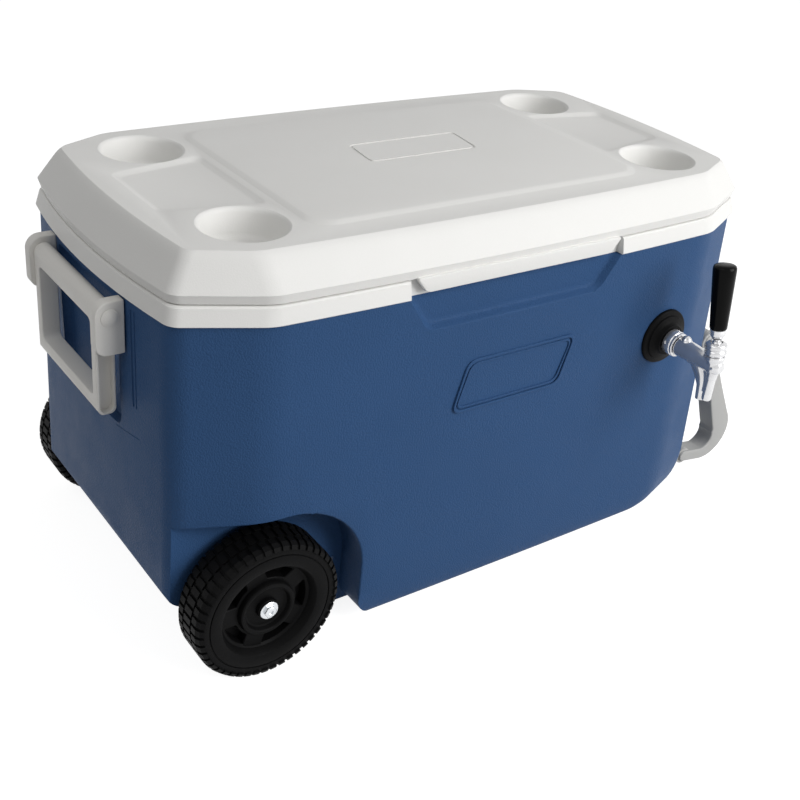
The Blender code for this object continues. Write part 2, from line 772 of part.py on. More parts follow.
def mouth_section(z, growth=0.0):
    """The inside of the liner at a height, narrowing towards the floor."""
    taper = TUB_TAPER * (SEAM_Z - z) / (SEAM_Z - FLOOR_Z)
    size = growth - taper
    return Section(z, MOUTH_HALF_LENGTH + size, MOUTH_HALF_LENGTH + size, MOUTH_HALF_DEPTH + size,
                   END_BOW / 2, FRONT_BOW / 2, MOUTH_CUT, MOUTH_CUT)


def lid_section(z):
    """The lid's outline: a small undercut up to the ridge, then a rounded crown."""
    ridge = Section(RIDGE_Z, RIDGE_HALF_LENGTH, RIDGE_HALF_LENGTH, RIDGE_HALF_DEPTH, END_BOW,
                    FRONT_BOW, CORNER_CUT_X, CORNER_CUT_Y)
    if z <= RIDGE_Z:
        seam = SEAM_Z + GAP
        return grown(ridge, -LID_SEAM_INSET * (RIDGE_Z - z) / (RIDGE_Z - seam), z)
    top = grown(ridge, -LID_TOP_INSET, LID_TOP_Z)._replace(
        bow_x=LID_TOP_END_BOW, bow_y=LID_TOP_FRONT_BOW, cut_x=LID_TOP_CUT_X, cut_y=LID_TOP_CUT_Y)
    rise = min(1.0, (z - RIDGE_Z) / (LID_TOP_Z - RIDGE_Z))
    return blend(ridge, top, 1 - math.cos(math.asin(rise)))._replace(z=z)


def lid_heights():
    """Heights of the lid's outlines, closer together where the crown turns in."""
    turn = math.radians(90) / LID_CROWN_STEPS
    crown = [RIDGE_Z + (LID_TOP_Z - RIDGE_Z) * math.sin(turn * k) for k in range(LID_CROWN_STEPS + 1)]
    return [SEAM_Z + GAP] + crown


def lid_solid(name, growth, low_z, top_z, finish=None):
    """The lid's outer form grown or shrunk, closed at a lower and an upper height."""
    heights = lid_heights()
    squash = (top_z - RIDGE_Z) / (LID_TOP_Z - RIDGE_Z)
    sections = [grown(lid_section(heights[0]), growth, low_z)]
    sections += [grown(lid_section(z), growth, RIDGE_Z + (z - RIDGE_Z) * squash) for z in heights[1:]]
    return loft(name, [section_ring(section) for section in sections], finish)


def arch_outline(growth):
    """The wheel arch in XZ: open to the wheel end and below, round above the wheel."""
    centre = (WELL_RIGHT_X - WELL_ROUND, WELL_TOP_Z - WELL_ROUND)
    right = arc_points(centre, WELL_ROUND + growth, 0, 90, WELL_ROUND_STEPS)
    far_left = -RIM_HALF_LENGTH - OVERRUN
    return [(far_left, -OVERRUN), (WELL_RIGHT_X + growth, -OVERRUN)] + right + [(far_left,
                                                                                 WELL_TOP_Z + growth)]


def well_cutters(label, growth):
    """Both wheel wells, the raised underside between them and the channel for the axle."""
    reach = RIM_HALF_DEPTH + OVERRUN
    inner = WELL_INNER_Y - growth
    front = outline_plate(label + "_well_front", arch_outline(growth), -reach, -inner, "Y")
    back = outline_plate(label + "_well_back", arch_outline(growth), inner, reach, "Y")
    bay = outline_plate(label + "_bay", bay_outline(growth), -reach, reach, "Y")
    half = AXLE_RADIUS + 2 * GAP + growth
    channel = box(label + "_channel", (WHEEL_X - half, -reach, BAY_Z - OVERRUN),
                  (WHEEL_X + half, reach, WHEEL_RADIUS + half))
    return [front, back, bay, channel]


def bay_outline(growth):
    """The raised underside between the wheels in XZ, rounded up to the end wall."""
    end = -body_section(BAY_Z).left
    turn = BAY_ROUND - growth
    far_left = -RIM_HALF_LENGTH - OVERRUN
    right, ceiling = BAY_RIGHT_X + growth, BAY_Z + growth
    outline = [(far_left, -OVERRUN), (right, -OVERRUN), (right, ceiling)]
    outline += arc_points((end + growth + turn, ceiling + turn), turn, 270, 180, CORNER_STEPS + 1)
    return outline + [(far_left, ceiling + turn)]


def front_grip_cutter(label, growth):
    """The pressed grip under the lid's lip: a trapezoid that narrows as it goes in."""
    top = RIM_LOW_Z + OVERRUN
    top_half = GRIP_TOP_HALF + (GRIP_TOP_HALF - GRIP_LOW_HALF) * OVERRUN / (RIM_LOW_Z - GRIP_LOW_Z)
    face = wall_y(0.0, GRIP_LOW_Z)
    rings = []
    for y, inset in ((face - GRIP_DEPTH, -GRIP_SLOPE), (face + GRIP_DEPTH + growth, GRIP_SLOPE)):
        side = growth - inset
        low = GRIP_LOW_Z - side
        rings.append([(-GRIP_LOW_HALF - side, y, low), (GRIP_LOW_HALF + side, y, low),
                      (top_half + side, y, top), (-top_half - side, y, top)])
    return loft(label + "_front_grip", rings)


def bail_recess_cutter(label, growth):
    """The hollow in the wheel end behind the bail."""
    face = -body_section(BAIL_RECESS_LOW_Z).left
    rings = []
    for x, inset in ((face - BAIL_RECESS_DEPTH, -BAIL_RECESS_SLOPE),
                     (face + BAIL_RECESS_DEPTH + growth, BAIL_RECESS_SLOPE)):
        half = BAIL_RECESS_HALF + growth - inset
        low, top = BAIL_RECESS_LOW_Z - growth + inset, BAIL_RECESS_TOP_Z + growth - inset
        rings.append([(x, -half, low), (x, half, low), (x, half, top), (x, -half, top)])
    return loft(label + "_bail_recess", rings)


def frame_outline(x, v, half_width, half_height, slant, inset, grow_round):
    corners = [
        (x - half_width - slant + inset, v - half_height + inset),
        (x + half_width - slant - inset, v - half_height + inset),
        (x + half_width + slant - inset, v + half_height - inset),
        (x - half_width + slant + inset, v + half_height - inset),
    ]
    return rounded_outline(corners, FRAME_ROUND - grow_round)


def front_frame():
    """The bare raised frame on the front wall, as a ring that reaches into the wall."""
    sizes = (FRONT_FRAME_X, FRONT_FRAME_Z, FRONT_FRAME_HALF_WIDTH, FRONT_FRAME_HALF_HEIGHT,
             FRONT_FRAME_SLANT)
    near = wall_y(FRONT_FRAME_X, FRONT_FRAME_Z) - FRAME_PROUD
    outer = outline_plate("front_frame", frame_outline(*sizes, 0, 0), near, near + SKIN, "Y")
    inner = outline_plate("front_frame_hole", frame_outline(*sizes, FRAME_LINE, FRAME_LINE),
                          near - OVERRUN, near + OVERRUN, "Y")
    cut(outer, inner)
    return outer


def lid_frame():
    sizes = (LID_FRAME_X, LID_FRAME_Y, LID_FRAME_HALF_WIDTH, LID_FRAME_HALF_HEIGHT, LID_FRAME_SLANT)
    groove = outline_plate("lid_frame", frame_outline(*sizes, 0, 0), HEIGHT - FRAME_PROUD,
                           HEIGHT + OVERRUN, "Z")
    inner = outline_plate("lid_frame_hole", frame_outline(*sizes, FRAME_LINE, FRAME_LINE),
                          HEIGHT - OVERRUN, HEIGHT + 2 * OVERRUN, "Z")
    cut(groove, inner)
    return groove


def bore(label, radius, towards):
    """A round hole through a wall of the cooler at the tap, the inlet or the drain."""
    steps = ROUND_STEPS
    if towards == "front":
        return cylinder(label, radius, (TAP_X, -RIM_HALF_DEPTH - OVERRUN, TAP_Z), (TAP_X, 0, TAP_Z),
                        steps=steps)
    y, z = (INLET_Y, INLET_Z) if towards == "inlet" else (0.0, DRAIN_Z)
    middle = (MOUTH_HALF_LENGTH - WASHER_RADIUS - OVERRUN, y, z)
    return cylinder(label, radius, middle, (RIM_HALF_LENGTH + OVERRUN, y, z), steps=steps)


def make_body():
    """Blue shell, foam and white liner tub."""
    bores = [bore("tap_bore", SHANK_RADIUS + GAP, "front"), bore("inlet_bore", SHANK_RADIUS + GAP, "inlet"),
             bore("drain_bore", DRAIN_RADIUS + GAP, "drain")]
    hollow = body_solid("shell_hollow", -SKIN, RIM_LOW_Z + OVERRUN)
    cut(hollow, *well_cutters("hollow", SKIN), front_grip_cutter("hollow", SKIN),
        bail_recess_cutter("hollow", SKIN))
    shell = body_solid("body_shell", 0.0, RIM_LOW_Z - GAP, BLUE)
    cut(shell, *well_cutters("shell", 0.0), front_grip_cutter("shell", 0.0),
        bail_recess_cutter("shell", 0.0))
    cut(shell, hollow)
    join(shell, front_frame())
    cut(shell, *bores)

    foam = body_solid("body_foam", -SKIN - GAP, RIM_LOW_Z - GAP, FOAM)
    cut(foam, *well_cutters("foam", SKIN + GAP), front_grip_cutter("foam", SKIN + GAP),
        bail_recess_cutter("foam", SKIN + GAP))
    cut(foam, tub_solid("foam_tub", SKIN + GAP), *bores)

    liner = rim_solid("body_liner", 0.0, RIM_LOW_Z, SEAM_Z, WHITE)
    pocket = rim_solid("rim_pocket", -SKIN, RIM_LOW_Z - OVERRUN, SEAM_Z - SKIN)
    notch = box("rim_notch", (-GRIP_TOP_HALF, -RIM_HALF_DEPTH - OVERRUN, RIM_LOW_Z - OVERRUN),
                (GRIP_TOP_HALF, -lip_front() + LIP_THICKNESS + LIP_BACK_CLEARANCE, SEAM_Z + OVERRUN))
    keep = box("pocket_stop", (-GRIP_TOP_HALF - SKIN, -RIM_HALF_DEPTH - OVERRUN, RIM_LOW_Z - 2 * OVERRUN),
               (GRIP_TOP_HALF + SKIN, -lip_front() + LIP_THICKNESS + LIP_BACK_CLEARANCE + SKIN,
                SEAM_Z + OVERRUN))
    cut(pocket, keep)
    cut(liner, pocket, notch)
    join(liner, tub_solid("tub_outside", SKIN))
    cut(liner, tub_solid("tub_inside", 0.0), *bores)


def lip_front():
    """Half depth of the lid at the outer face of its front lip."""
    return RIM_HALF_DEPTH - SHELL_INSET


def rim_solid(name, growth, low_z, top_z, finish=None):
    rings = [section_ring(grown(rim_section(RIM_LOW_Z), growth, low_z)),
             section_ring(grown(rim_section(SEAM_Z), growth, top_z))]
    return loft(name, rings, finish)


def tub_solid(name, growth):
    """The liner's tub with its raised bench over the wheels; growth 0 is the space inside."""
    top = SEAM_Z + OVERRUN if growth == 0 else SEAM_Z - SKIN / 2
    heights = (FLOOR_Z - growth, top)
    tub = loft(name, [section_ring(mouth_section(z, growth)) for z in heights])
    bench = box(name + "_bench", (-RIM_HALF_LENGTH, -RIM_HALF_DEPTH, 0.0),
                (BENCH_X - growth, RIM_HALF_DEPTH, BENCH_Z - growth))
    cut(tub, bench)
    return tub


def make_lid():
    """White lid with cup holders, its foam and its inner plate, all turning on the hinge axis."""
    hinge = (0.0, HINGE_AXIS_Y, HINGE_AXIS_Z)
    shell = lid_solid("lid_shell", 0.0, SEAM_Z + GAP, LID_TOP_Z, WHITE)
    inside = lid_solid("lid_hollow", -LID_SKIN, SEAM_Z - OVERRUN, LID_TOP_Z - LID_SKIN)
    foam = lid_solid("lid_foam", -LID_SKIN - GAP, SEAM_Z + LID_PLATE + 3 * GAP, LID_TOP_Z - LID_SKIN - GAP,
                     FOAM)
    lip = box("lid_lip", (-LIP_HALF, -lip_front(), LIP_LOW_Z),
              (LIP_HALF, -lip_front() + LIP_THICKNESS, SEAM_Z + LID_PLATE))
    cups = []
    for side_x in (-1, 1):
        for side_y in (-1, 1):
            centre = (side_x * CUP_X, side_y * CUP_Y)
            label = f"cup_{side_x}_{side_y}"
            cups.append(cup_cutter(label, centre))
            cut(inside, cup_core(label + "_skin", centre, LID_SKIN))
            cut(foam, cup_core(label + "_foam", centre, LID_SKIN + GAP))
    join(shell, lid_panel(), lip)
    cut(shell, inside, *cups, *tray_cutters(), lid_frame())
    plate = make_lid_liner()
    for piece in (shell, foam, plate):
        set_origin(piece, hinge)


def make_lid_liner():
    """The plate that closes the lid below, with a hollow plug that drops into the mouth."""
    low, top = SEAM_Z + 2 * GAP, SEAM_Z + LID_PLATE + 2 * GAP
    flat = grown(lid_section(SEAM_Z + GAP), -LID_SKIN - GAP)
    plate = loft("lid_liner", [section_ring(grown(flat, 0.0, z)) for z in (low, top)], WHITE)
    mouth = grown(mouth_section(SEAM_Z), -PLUG_CLEARANCE)
    plug = [grown(mouth, 0.0, z) for z in (SEAM_Z - PLUG_DROP, SEAM_Z + LID_PLATE)]
    pocket = [grown(mouth, -LID_PLATE, z) for z in (SEAM_Z - PLUG_DROP + LID_PLATE, SEAM_Z + OVERRUN)]
    join(plate, loft("lid_plug", [section_ring(section) for section in plug]))
    cut(plate, loft("plug_pocket", [section_ring(section) for section in pocket]))
    return plate


def lid_panel():
    """The raised middle of the lid's top."""
    rings = []
    for z, inset in ((LID_TOP_Z - PANEL_RISE, -PANEL_SLOPE), (HEIGHT, PANEL_SLOPE)):
        half_x, half_y = PANEL_HALF_LENGTH - inset / 2, PANEL_HALF_DEPTH - inset / 2
        corners = [(half_x, half_y - PANEL_CUT), (half_x - PANEL_CUT, half_y),
                   (-half_x + PANEL_CUT, half_y), (-half_x, half_y - PANEL_CUT),
                   (-half_x, -half_y + PANEL_CUT), (-half_x + PANEL_CUT, -half_y),
                   (half_x - PANEL_CUT, -half_y), (half_x, -half_y + PANEL_CUT)]
        rings.append([(x, y, z) for x, y in corners])
    return loft("lid_panel", rings)


def cup_cutter(label, centre):
    """A cup holder with a softened lip and slightly drawn-in sides."""
    top = LID_TOP_Z + CUP_LIP
    profile = [(0.0, top), (CUP_RADIUS + CUP_LIP + CUP_LIP, top), (CUP_RADIUS + CUP_LIP, LID_TOP_Z),
               (CUP_RADIUS, LID_TOP_Z - CUP_LIP), (CUP_RADIUS - CUP_TAPER, LID_TOP_Z - CUP_DEPTH),
               (0.0, LID_TOP_Z - CUP_DEPTH)]
    return turned(label, profile, (*centre, 0.0), "+Z")


def cup_core(label, centre, growth):
    """The room that a cup holder takes inside the lid, with its wall."""
    return cylinder(label, CUP_RADIUS + CUP_LIP + growth, (*centre, LID_TOP_Z - CUP_DEPTH - growth),
                    (*centre, HEIGHT + OVERRUN), steps=SMALL_STEPS)


def tray_cutters():
    """The shallow tray between the two cup holders at each end."""
    trays = []
    for side in (-1, 1):
        corners = [(side * TRAY_INNER_X, -TRAY_INNER_HALF), (side * TRAY_OUTER_X, -TRAY_OUTER_HALF),
                   (side * TRAY_OUTER_X, TRAY_OUTER_HALF), (side * TRAY_INNER_X, TRAY_INNER_HALF)]
        if side < 0:
            corners.reverse()
        trays.append(outline_plate(f"tray_{side}", rounded_outline(corners, FRAME_ROUND),
                                   LID_TOP_Z - TRAY_DEPTH, HEIGHT + OVERRUN, "Z"))
    return trays


def make_hinges(seats, lid_seat):
    """Two hinges, each with a leaf on the body, a leaf on the lid and a pin."""
    knuckle = HINGE_HALF_WIDTH / 3
    for label, x in (("left", -HINGE_X), ("right", HINGE_X)):
        body_leaf = box(f"hinge_body_leaf_{label}",
                        (x - HINGE_HALF_WIDTH, LEAF_OUTER_Y - LEAF_DEPTH, HINGE_AXIS_Z - LEAF_DROP),
                        (x + HINGE_HALF_WIDTH, LEAF_OUTER_Y, HINGE_AXIS_Z - GAP), GREY)
        cut(body_leaf, *seats)
        lid_leaf = box(f"hinge_lid_leaf_{label}",
                       (x - HINGE_HALF_WIDTH, LEAF_OUTER_Y - LEAF_DEPTH, HINGE_AXIS_Z),
                       (x + HINGE_HALF_WIDTH, LEAF_OUTER_Y, HINGE_AXIS_Z + LEAF_RISE), GREY)
        cut(lid_leaf, lid_seat)
        clear = KNUCKLE_RADIUS + GAP
        for side in (-1, 1):
            start, end = x + side * (knuckle + GAP / 2), x + side * HINGE_HALF_WIDTH
            join(body_leaf, knuckle_piece(f"knuckle_{label}_{side}", start, end, KNUCKLE_RADIUS))
            gap_end = end + side * OVERRUN
            cut(lid_leaf, knuckle_room(f"lid_leaf_room_{label}_{side}", start - side * GAP, gap_end, clear))
        cut(body_leaf, knuckle_room(f"body_leaf_room_{label}", x - knuckle - GAP / 2,
                                    x + knuckle + GAP / 2, clear))
        join(lid_leaf, knuckle_piece(f"lid_knuckle_{label}", x - knuckle + GAP / 2, x + knuckle - GAP / 2,
                                     KNUCKLE_RADIUS))
        reach = HINGE_HALF_WIDTH + OVERRUN
        hole = knuckle_piece(f"hinge_bore_{label}", x - reach, x + reach, HINGE_PIN_RADIUS + GAP)
        cut(body_leaf, hole)
        cut(lid_leaf, hole)
        knuckle_piece(f"hinge_pin_{label}", x - HINGE_HALF_WIDTH, x + HINGE_HALF_WIDTH, HINGE_PIN_RADIUS,
                      STEEL)
        set_origin(lid_leaf, (0.0, HINGE_AXIS_Y, HINGE_AXIS_Z))


def knuckle_piece(name, start, end, radius, finish=None):
    """A cylinder on the lid's hinge axis between two places along it."""
    return cylinder(name, radius, (start, HINGE_AXIS_Y, HINGE_AXIS_Z), (end, HINGE_AXIS_Y, HINGE_AXIS_Z),
                    finish, SMALL_STEPS)


def knuckle_room(name, start, end, clear):
    """The space round the other leaf's knuckle."""
    return box(name, (min(start, end), HINGE_AXIS_Y - clear, HINGE_AXIS_Z - clear),
               (max(start, end), HINGE_AXIS_Y + clear, HINGE_AXIS_Z + clear))


def make_bail(body_seat):
    """The closed bail at the wheel end, its two brackets and its two pins."""
    low, top = BAIL_LOW_Z, BAIL_AXIS_Z + BAIL_BAR_RADIUS
    half = BAIL_HALF_WIDTH
    near, far = BAIL_AXIS_X - BAIL_DEPTH / 2, BAIL_AXIS_X + BAIL_DEPTH / 2
    corners = [(-half, low), (half, low), (half, top), (-half, top)]
    inner_half = half - BAIL_ARM
    inner = [(-inner_half, low + BAIL_GRIP_HEIGHT), (inner_half, low + BAIL_GRIP_HEIGHT),
             (inner_half, BAIL_AXIS_Z - BAIL_BAR_RADIUS), (-inner_half, BAIL_AXIS_Z - BAIL_BAR_RADIUS)]
    handle = outline_plate("bail_handle", rounded_outline(corners, BAIL_ROUND), near, far, "X", GREY)
    opening = outline_plate("bail_opening", rounded_outline(inner, BAIL_ROUND / 2), near - OVERRUN,
                            far + OVERRUN, "X")
    bevel(handle, BAIL_ROUND / 3, 2)
    cut(handle, opening)
    for side, label in ((-1, "front"), (1, "back")):
        bottom = BAIL_LOW_Z + BAIL_ROUND
        slot_half = BAIL_DEPTH / 2 - BAIL_SLOT_WALL
        slot = [(BAIL_AXIS_X - slot_half, bottom), (BAIL_AXIS_X + slot_half, bottom),
                (BAIL_AXIS_X + slot_half, BAIL_BRACKET_LOW_Z + BAIL_ARM),
                (BAIL_AXIS_X - slot_half, BAIL_BRACKET_LOW_Z + BAIL_ARM)]
        start, end = sorted((side * (half - BAIL_SLOT_DEPTH), side * (half + OVERRUN)))
        cut(handle, outline_plate(f"bail_slot_{label}", rounded_outline(slot, slot_half - GAP), start, end,
                                  "Y"))
        hole = cylinder(f"bail_pin_hole_{label}", BAIL_PIN_RADIUS + GAP,
                        (BAIL_AXIS_X, side * (half - BAIL_PIN_BITE - GAP), BAIL_AXIS_Z),
                        (BAIL_AXIS_X, side * (half + BAIL_BRACKET_WIDTH + OVERRUN), BAIL_AXIS_Z),
                        steps=COARSE_STEPS)
        cut(handle, hole)
        bracket = bail_bracket(label, side, near)
        cut(bracket, hole, body_seat)
        bail_pin(label, side)
    set_origin(handle, (BAIL_AXIS_X, 0.0, BAIL_AXIS_Z))


def bail_bracket(label, side, near):
    """A cheek between the bail and the end wall, round at its top and lower outer corners."""
    left = near - BAIL_BRACKET_PROUD
    right = -body_section(BAIL_AXIS_Z).left + SKIN
    turn = BAIL_BRACKET_PROUD + BAIL_BAR_RADIUS
    outline = [(right, BAIL_BRACKET_LOW_Z), (right, BAIL_BRACKET_TOP_Z)]
    outline += arc_points((left + turn, BAIL_BRACKET_TOP_Z - turn), turn, 90, 180, CORNER_STEPS + 1)
    outline += arc_points((left + turn / 2, BAIL_BRACKET_LOW_Z + turn / 2), turn / 2, 180, 270,
                          CORNER_STEPS)
    outer = side * (BAIL_HALF_WIDTH + GAP + BAIL_BRACKET_WIDTH)
    inner = side * (BAIL_HALF_WIDTH + GAP)
    return outline_plate(f"bail_bracket_{label}", outline, min(outer, inner), max(outer, inner), "Y", GREY)


def bail_pin(label, side):
    """A pin through the bracket into the end of the bail's top bar, with a domed head."""
    start = BAIL_HALF_WIDTH + GAP + BAIL_BRACKET_WIDTH + GAP
    profile = [(0.0, start + BAIL_PIN_DOME),
               (BAIL_PIN_HEAD * EDGE_SHARE, start + BAIL_PIN_DOME * CROWN_SHARE),
               (BAIL_PIN_HEAD, start), (BAIL_PIN_RADIUS, start),
               (BAIL_PIN_RADIUS, BAIL_HALF_WIDTH - BAIL_PIN_BITE), (0.0, BAIL_HALF_WIDTH - BAIL_PIN_BITE)]
    turned(f"bail_pin_{label}", profile, (BAIL_AXIS_X, 0.0, BAIL_AXIS_Z), "-Y" if side < 0 else "+Y", GREY,
           COARSE_STEPS)


def tow_outline():
    """The side view of a tow arm: straight from its hub, then hooked back to the grip."""
    bend = (TOW_BEND_X, TOW_BEND_Z)
    hub = Vector((TOW_AXIS_X, TOW_AXIS_Z))
    outer, inner = [], []
    for k in range(TOW_BEND_STEPS + 1):
        angle = TOW_BEND_START + (TOW_BEND_END - TOW_BEND_START) * k / TOW_BEND_STEPS
        thin = max(0.0, min(1.0, (TOW_BEND_THIN - angle) / (TOW_BEND_THIN - TOW_BEND_END)))
        thick = TOW_ARM_THICK + (TOW_ARM_THIN - TOW_ARM_THICK) * thin
        outer += arc_points(bend, TOW_BEND_RADIUS, angle, angle, 1)[:1]
        inner += arc_points(bend, TOW_BEND_RADIUS - thick, angle, angle, 1)[:1]
    along = (Vector(TOW_OUTER_KNEE) - hub).normalized()
    across = Vector((along.y, -along.x))
    hub_arc = math.degrees(math.atan2(-across.y, -across.x))
    round_hub = arc_points(hub, TOW_HUB_RADIUS, hub_arc, hub_arc + 180, COARSE_STEPS // 2)
    half = TOW_ARM_THIN / 2
    under, over = (TOW_GRIP_X, TOW_GRIP_Z - half), (TOW_GRIP_X, TOW_GRIP_Z + half)
    return [under] + outer[::-1] + [TOW_OUTER_KNEE] + round_hub + [TOW_INNER_KNEE] + inner + [over]


def make_tow_handle(body_seat):
    """The tow handle's two hooked arms and its grip, with brackets and pins."""
    handle = None
    for side, label in ((-1, "front"), (1, "back")):
        outer, inner = side * TOW_OUTER_Y, side * (TOW_OUTER_Y - TOW_ARM_WIDTH)
        arm = outline_plate(f"tow_arm_{label}" if handle else "tow_handle", tow_outline(),
                            min(outer, inner),
                            max(outer, inner), "Y", None if handle else GREY)
        handle = join_arm(handle, arm)
    grip = cylinder("tow_grip", TOW_GRIP_RADIUS, (TOW_GRIP_X, -TOW_OUTER_Y + GAP, TOW_GRIP_Z),
                    (TOW_GRIP_X, TOW_OUTER_Y - GAP, TOW_GRIP_Z), steps=COARSE_STEPS)
    join(handle, grip)
    axis = (TOW_AXIS_X, 0.0, TOW_AXIS_Z)
    for side, label in ((-1, "front"), (1, "back")):
        bracket_outer = TOW_OUTER_Y - TOW_ARM_WIDTH - GAP
        bracket_inner = bracket_outer - TOW_BRACKET_WIDTH
        hole = cylinder(f"tow_hole_{label}", TOW_PIN_RADIUS + GAP,
                        (TOW_AXIS_X, side * (bracket_inner - OVERRUN), TOW_AXIS_Z),
                        (TOW_AXIS_X, side * (TOW_OUTER_Y + OVERRUN), TOW_AXIS_Z), steps=COARSE_STEPS)
        cut(handle, hole)
        bracket = tow_bracket(label, side, bracket_inner, bracket_outer)
        cut(bracket, hole, body_seat)
        head = TOW_OUTER_Y + GAP
        profile = [(0.0, head + TOW_PIN_HEAD_THICK),
                   (TOW_PIN_HEAD * EDGE_SHARE, head + TOW_PIN_HEAD_THICK * CROWN_SHARE),
                   (TOW_PIN_HEAD, head), (TOW_PIN_RADIUS, head), (TOW_PIN_RADIUS, bracket_inner),
                   (0.0, bracket_inner)]
        turned(f"tow_pin_{label}", profile, axis, "-Y" if side < 0 else "+Y", GREY, COARSE_STEPS)
    set_origin(handle, axis)


def join_arm(handle, arm):
    if handle is None:
        return arm
    join(handle, arm)
    return handle


def tow_bracket(label, side, inner, outer):
    """A lug on the end wall that carries the tow handle's pin."""
    wall = wall_x(inner, TOW_AXIS_Z) - SKIN
    half = TOW_BRACKET_HALF_HEIGHT
    outline = [(wall, TOW_AXIS_Z - half)]
    outline += arc_points((TOW_AXIS_X, TOW_AXIS_Z), TOW_HUB_RADIUS, -90, 90, COARSE_STEPS // 2)
    outline += [(wall, TOW_AXIS_Z + half)]
    start, end = sorted((side * inner, side * outer))
    return outline_plate(f"tow_bracket_{label}", outline, start, end, "Y", GREY)


def make_wheels():
    """Two moulded wheels on one axle, with caps, washers and the straps that hold the axle."""
    inner = WHEEL_FACE_Y - WHEEL_WIDTH
    end = HUB_FACE_Y + AXLE_PROUD
    cylinder("axle", AXLE_RADIUS, (WHEEL_X, -end, WHEEL_RADIUS), (WHEEL_X, end, WHEEL_RADIUS), STEEL,
             COARSE_STEPS)
    for side, label, towards in ((-1, "front", "-Y"), (1, "back", "+Y")):
        place = (WHEEL_X, 0.0, WHEEL_RADIUS)
        wheel = turned(f"wheel_{label}", wheel_profile(inner), place, towards, BLACK)
        set_wheel_origin(wheel, side, inner)
        cut(wheel, *pocket_cutters(label, side))
        washer = [(AXLE_WASHER_RADIUS, inner - GAP), (AXLE_WASHER_RADIUS, inner - GAP - AXLE_WASHER_THICK),
                  (AXLE_RADIUS + GAP, inner - GAP - AXLE_WASHER_THICK), (AXLE_RADIUS + GAP, inner - GAP)]
        turned(f"axle_washer_{label}", washer, place, towards, STEEL, COARSE_STEPS)
        start = end + GAP
        cap = [(0.0, start + AXLE_CAP_THICK), (AXLE_CAP_RADIUS * CROWN_SHARE, start + AXLE_CAP_THICK),
               (AXLE_CAP_RADIUS, start), (0.0, start)]
        turned(f"axle_cap_{label}", cap, place, towards, STEEL, COARSE_STEPS)
        box(f"axle_strap_{label}", (WHEEL_X - STRAP_HALF_LENGTH, side * STRAP_Y - STRAP_HALF_WIDTH,
                                    BAY_Z - GAP - STRAP_THICK),
            (WHEEL_X + STRAP_HALF_LENGTH, side * STRAP_Y + STRAP_HALF_WIDTH, BAY_Z - GAP), STEEL)


def make_feet():
    """Two rubber feet under the far end, so that the cooler stands level on them and its wheels."""
    for side, label in ((-1, "front"), (1, "back")):
        cylinder(f"foot_{label}", FOOT_LOW_RADIUS, (FOOT_X, side * FOOT_Y, 0.0),
                 (FOOT_X, side * FOOT_Y, BASE_Z - GAP), RUBBER, COARSE_STEPS, FOOT_RADIUS)


def set_wheel_origin(wheel, side, inner):
    """Put the origin at the wheel's middle, still on the axle's line."""
    middle = (inner + WHEEL_FACE_Y) / 2
    wheel.data.transform(Matrix.Translation((0.0, 0.0, -middle)))
    wheel.location = (WHEEL_X, side * middle, WHEEL_RADIUS)


def wheel_profile(inner):
    """Half section of a wheel, from its outer face round the tread and back along the bore."""
    face = WHEEL_FACE_Y
    hub_face = HUB_FACE_Y
    ring = WHEEL_SIDEWALL
    return [
        (AXLE_RADIUS + GAP, hub_face), (WHEEL_HUB_RADIUS - WHEEL_RING, hub_face),
        (WHEEL_HUB_RADIUS, hub_face - WHEEL_RING / 2),
        (WHEEL_HUB_RADIUS, face - WHEEL_DISH), (ring - WHEEL_RING, face - WHEEL_DISH),
        (ring, face - WHEEL_RING / 4),
        (WHEEL_RADIUS - 2 * WHEEL_SHOULDER, face),
        (WHEEL_RADIUS - WHEEL_SHOULDER / 2, face - WHEEL_SHOULDER),
        (WHEEL_RADIUS, face - 2 * WHEEL_SHOULDER), (WHEEL_RADIUS, inner + 2 * WHEEL_SHOULDER),
        (WHEEL_RADIUS - WHEEL_SHOULDER, inner), (ring, inner), (ring - WHEEL_RING, inner + WHEEL_DISH),
        (WHEEL_HUB_RADIUS, inner + WHEEL_DISH), (WHEEL_HUB_RADIUS, inner), (AXLE_RADIUS + GAP, inner),
    ]


def pocket_cutters(label, side):
    """The pockets between the ribs of a wheel's face."""
    cutters = []
    top, bottom = WHEEL_FACE_Y, WHEEL_FACE_Y - WHEEL_DISH - WHEEL_POCKET_DEPTH
    start, end = sorted((side * bottom, side * top))
    for k in range(WHEEL_POCKETS):
        turn = Matrix.Rotation(math.radians(360) * k / WHEEL_POCKETS, 2)
        half = math.degrees(math.pi / WHEEL_POCKETS)
        inner_half = half - math.degrees(WHEEL_RIB / 2 / WHEEL_POCKET_INNER)
        outer_half = half - math.degrees(WHEEL_RIB / 2 / WHEEL_POCKET_OUTER)
        outline = arc_points((0, 0), WHEEL_POCKET_OUTER, -outer_half, outer_half, CORNER_STEPS)
        outline += arc_points((0, 0), WHEEL_POCKET_INNER, inner_half, -inner_half, 1)
        outline = [turn @ Vector(point) + Vector((WHEEL_X, WHEEL_RADIUS)) for point in outline]
        cutters.append(outline_plate(f"pocket_{label}_{k}", outline, start, end, "Y"))
    return cutters


def along_y(profile, name, finish, steps=ROUND_STEPS):
    """Turn a profile whose heights are distances in front of the cooler's middle, on the tap's axis."""
    return turned(name, profile, (TAP_X, 0.0, TAP_Z), "-Y", finish, steps)


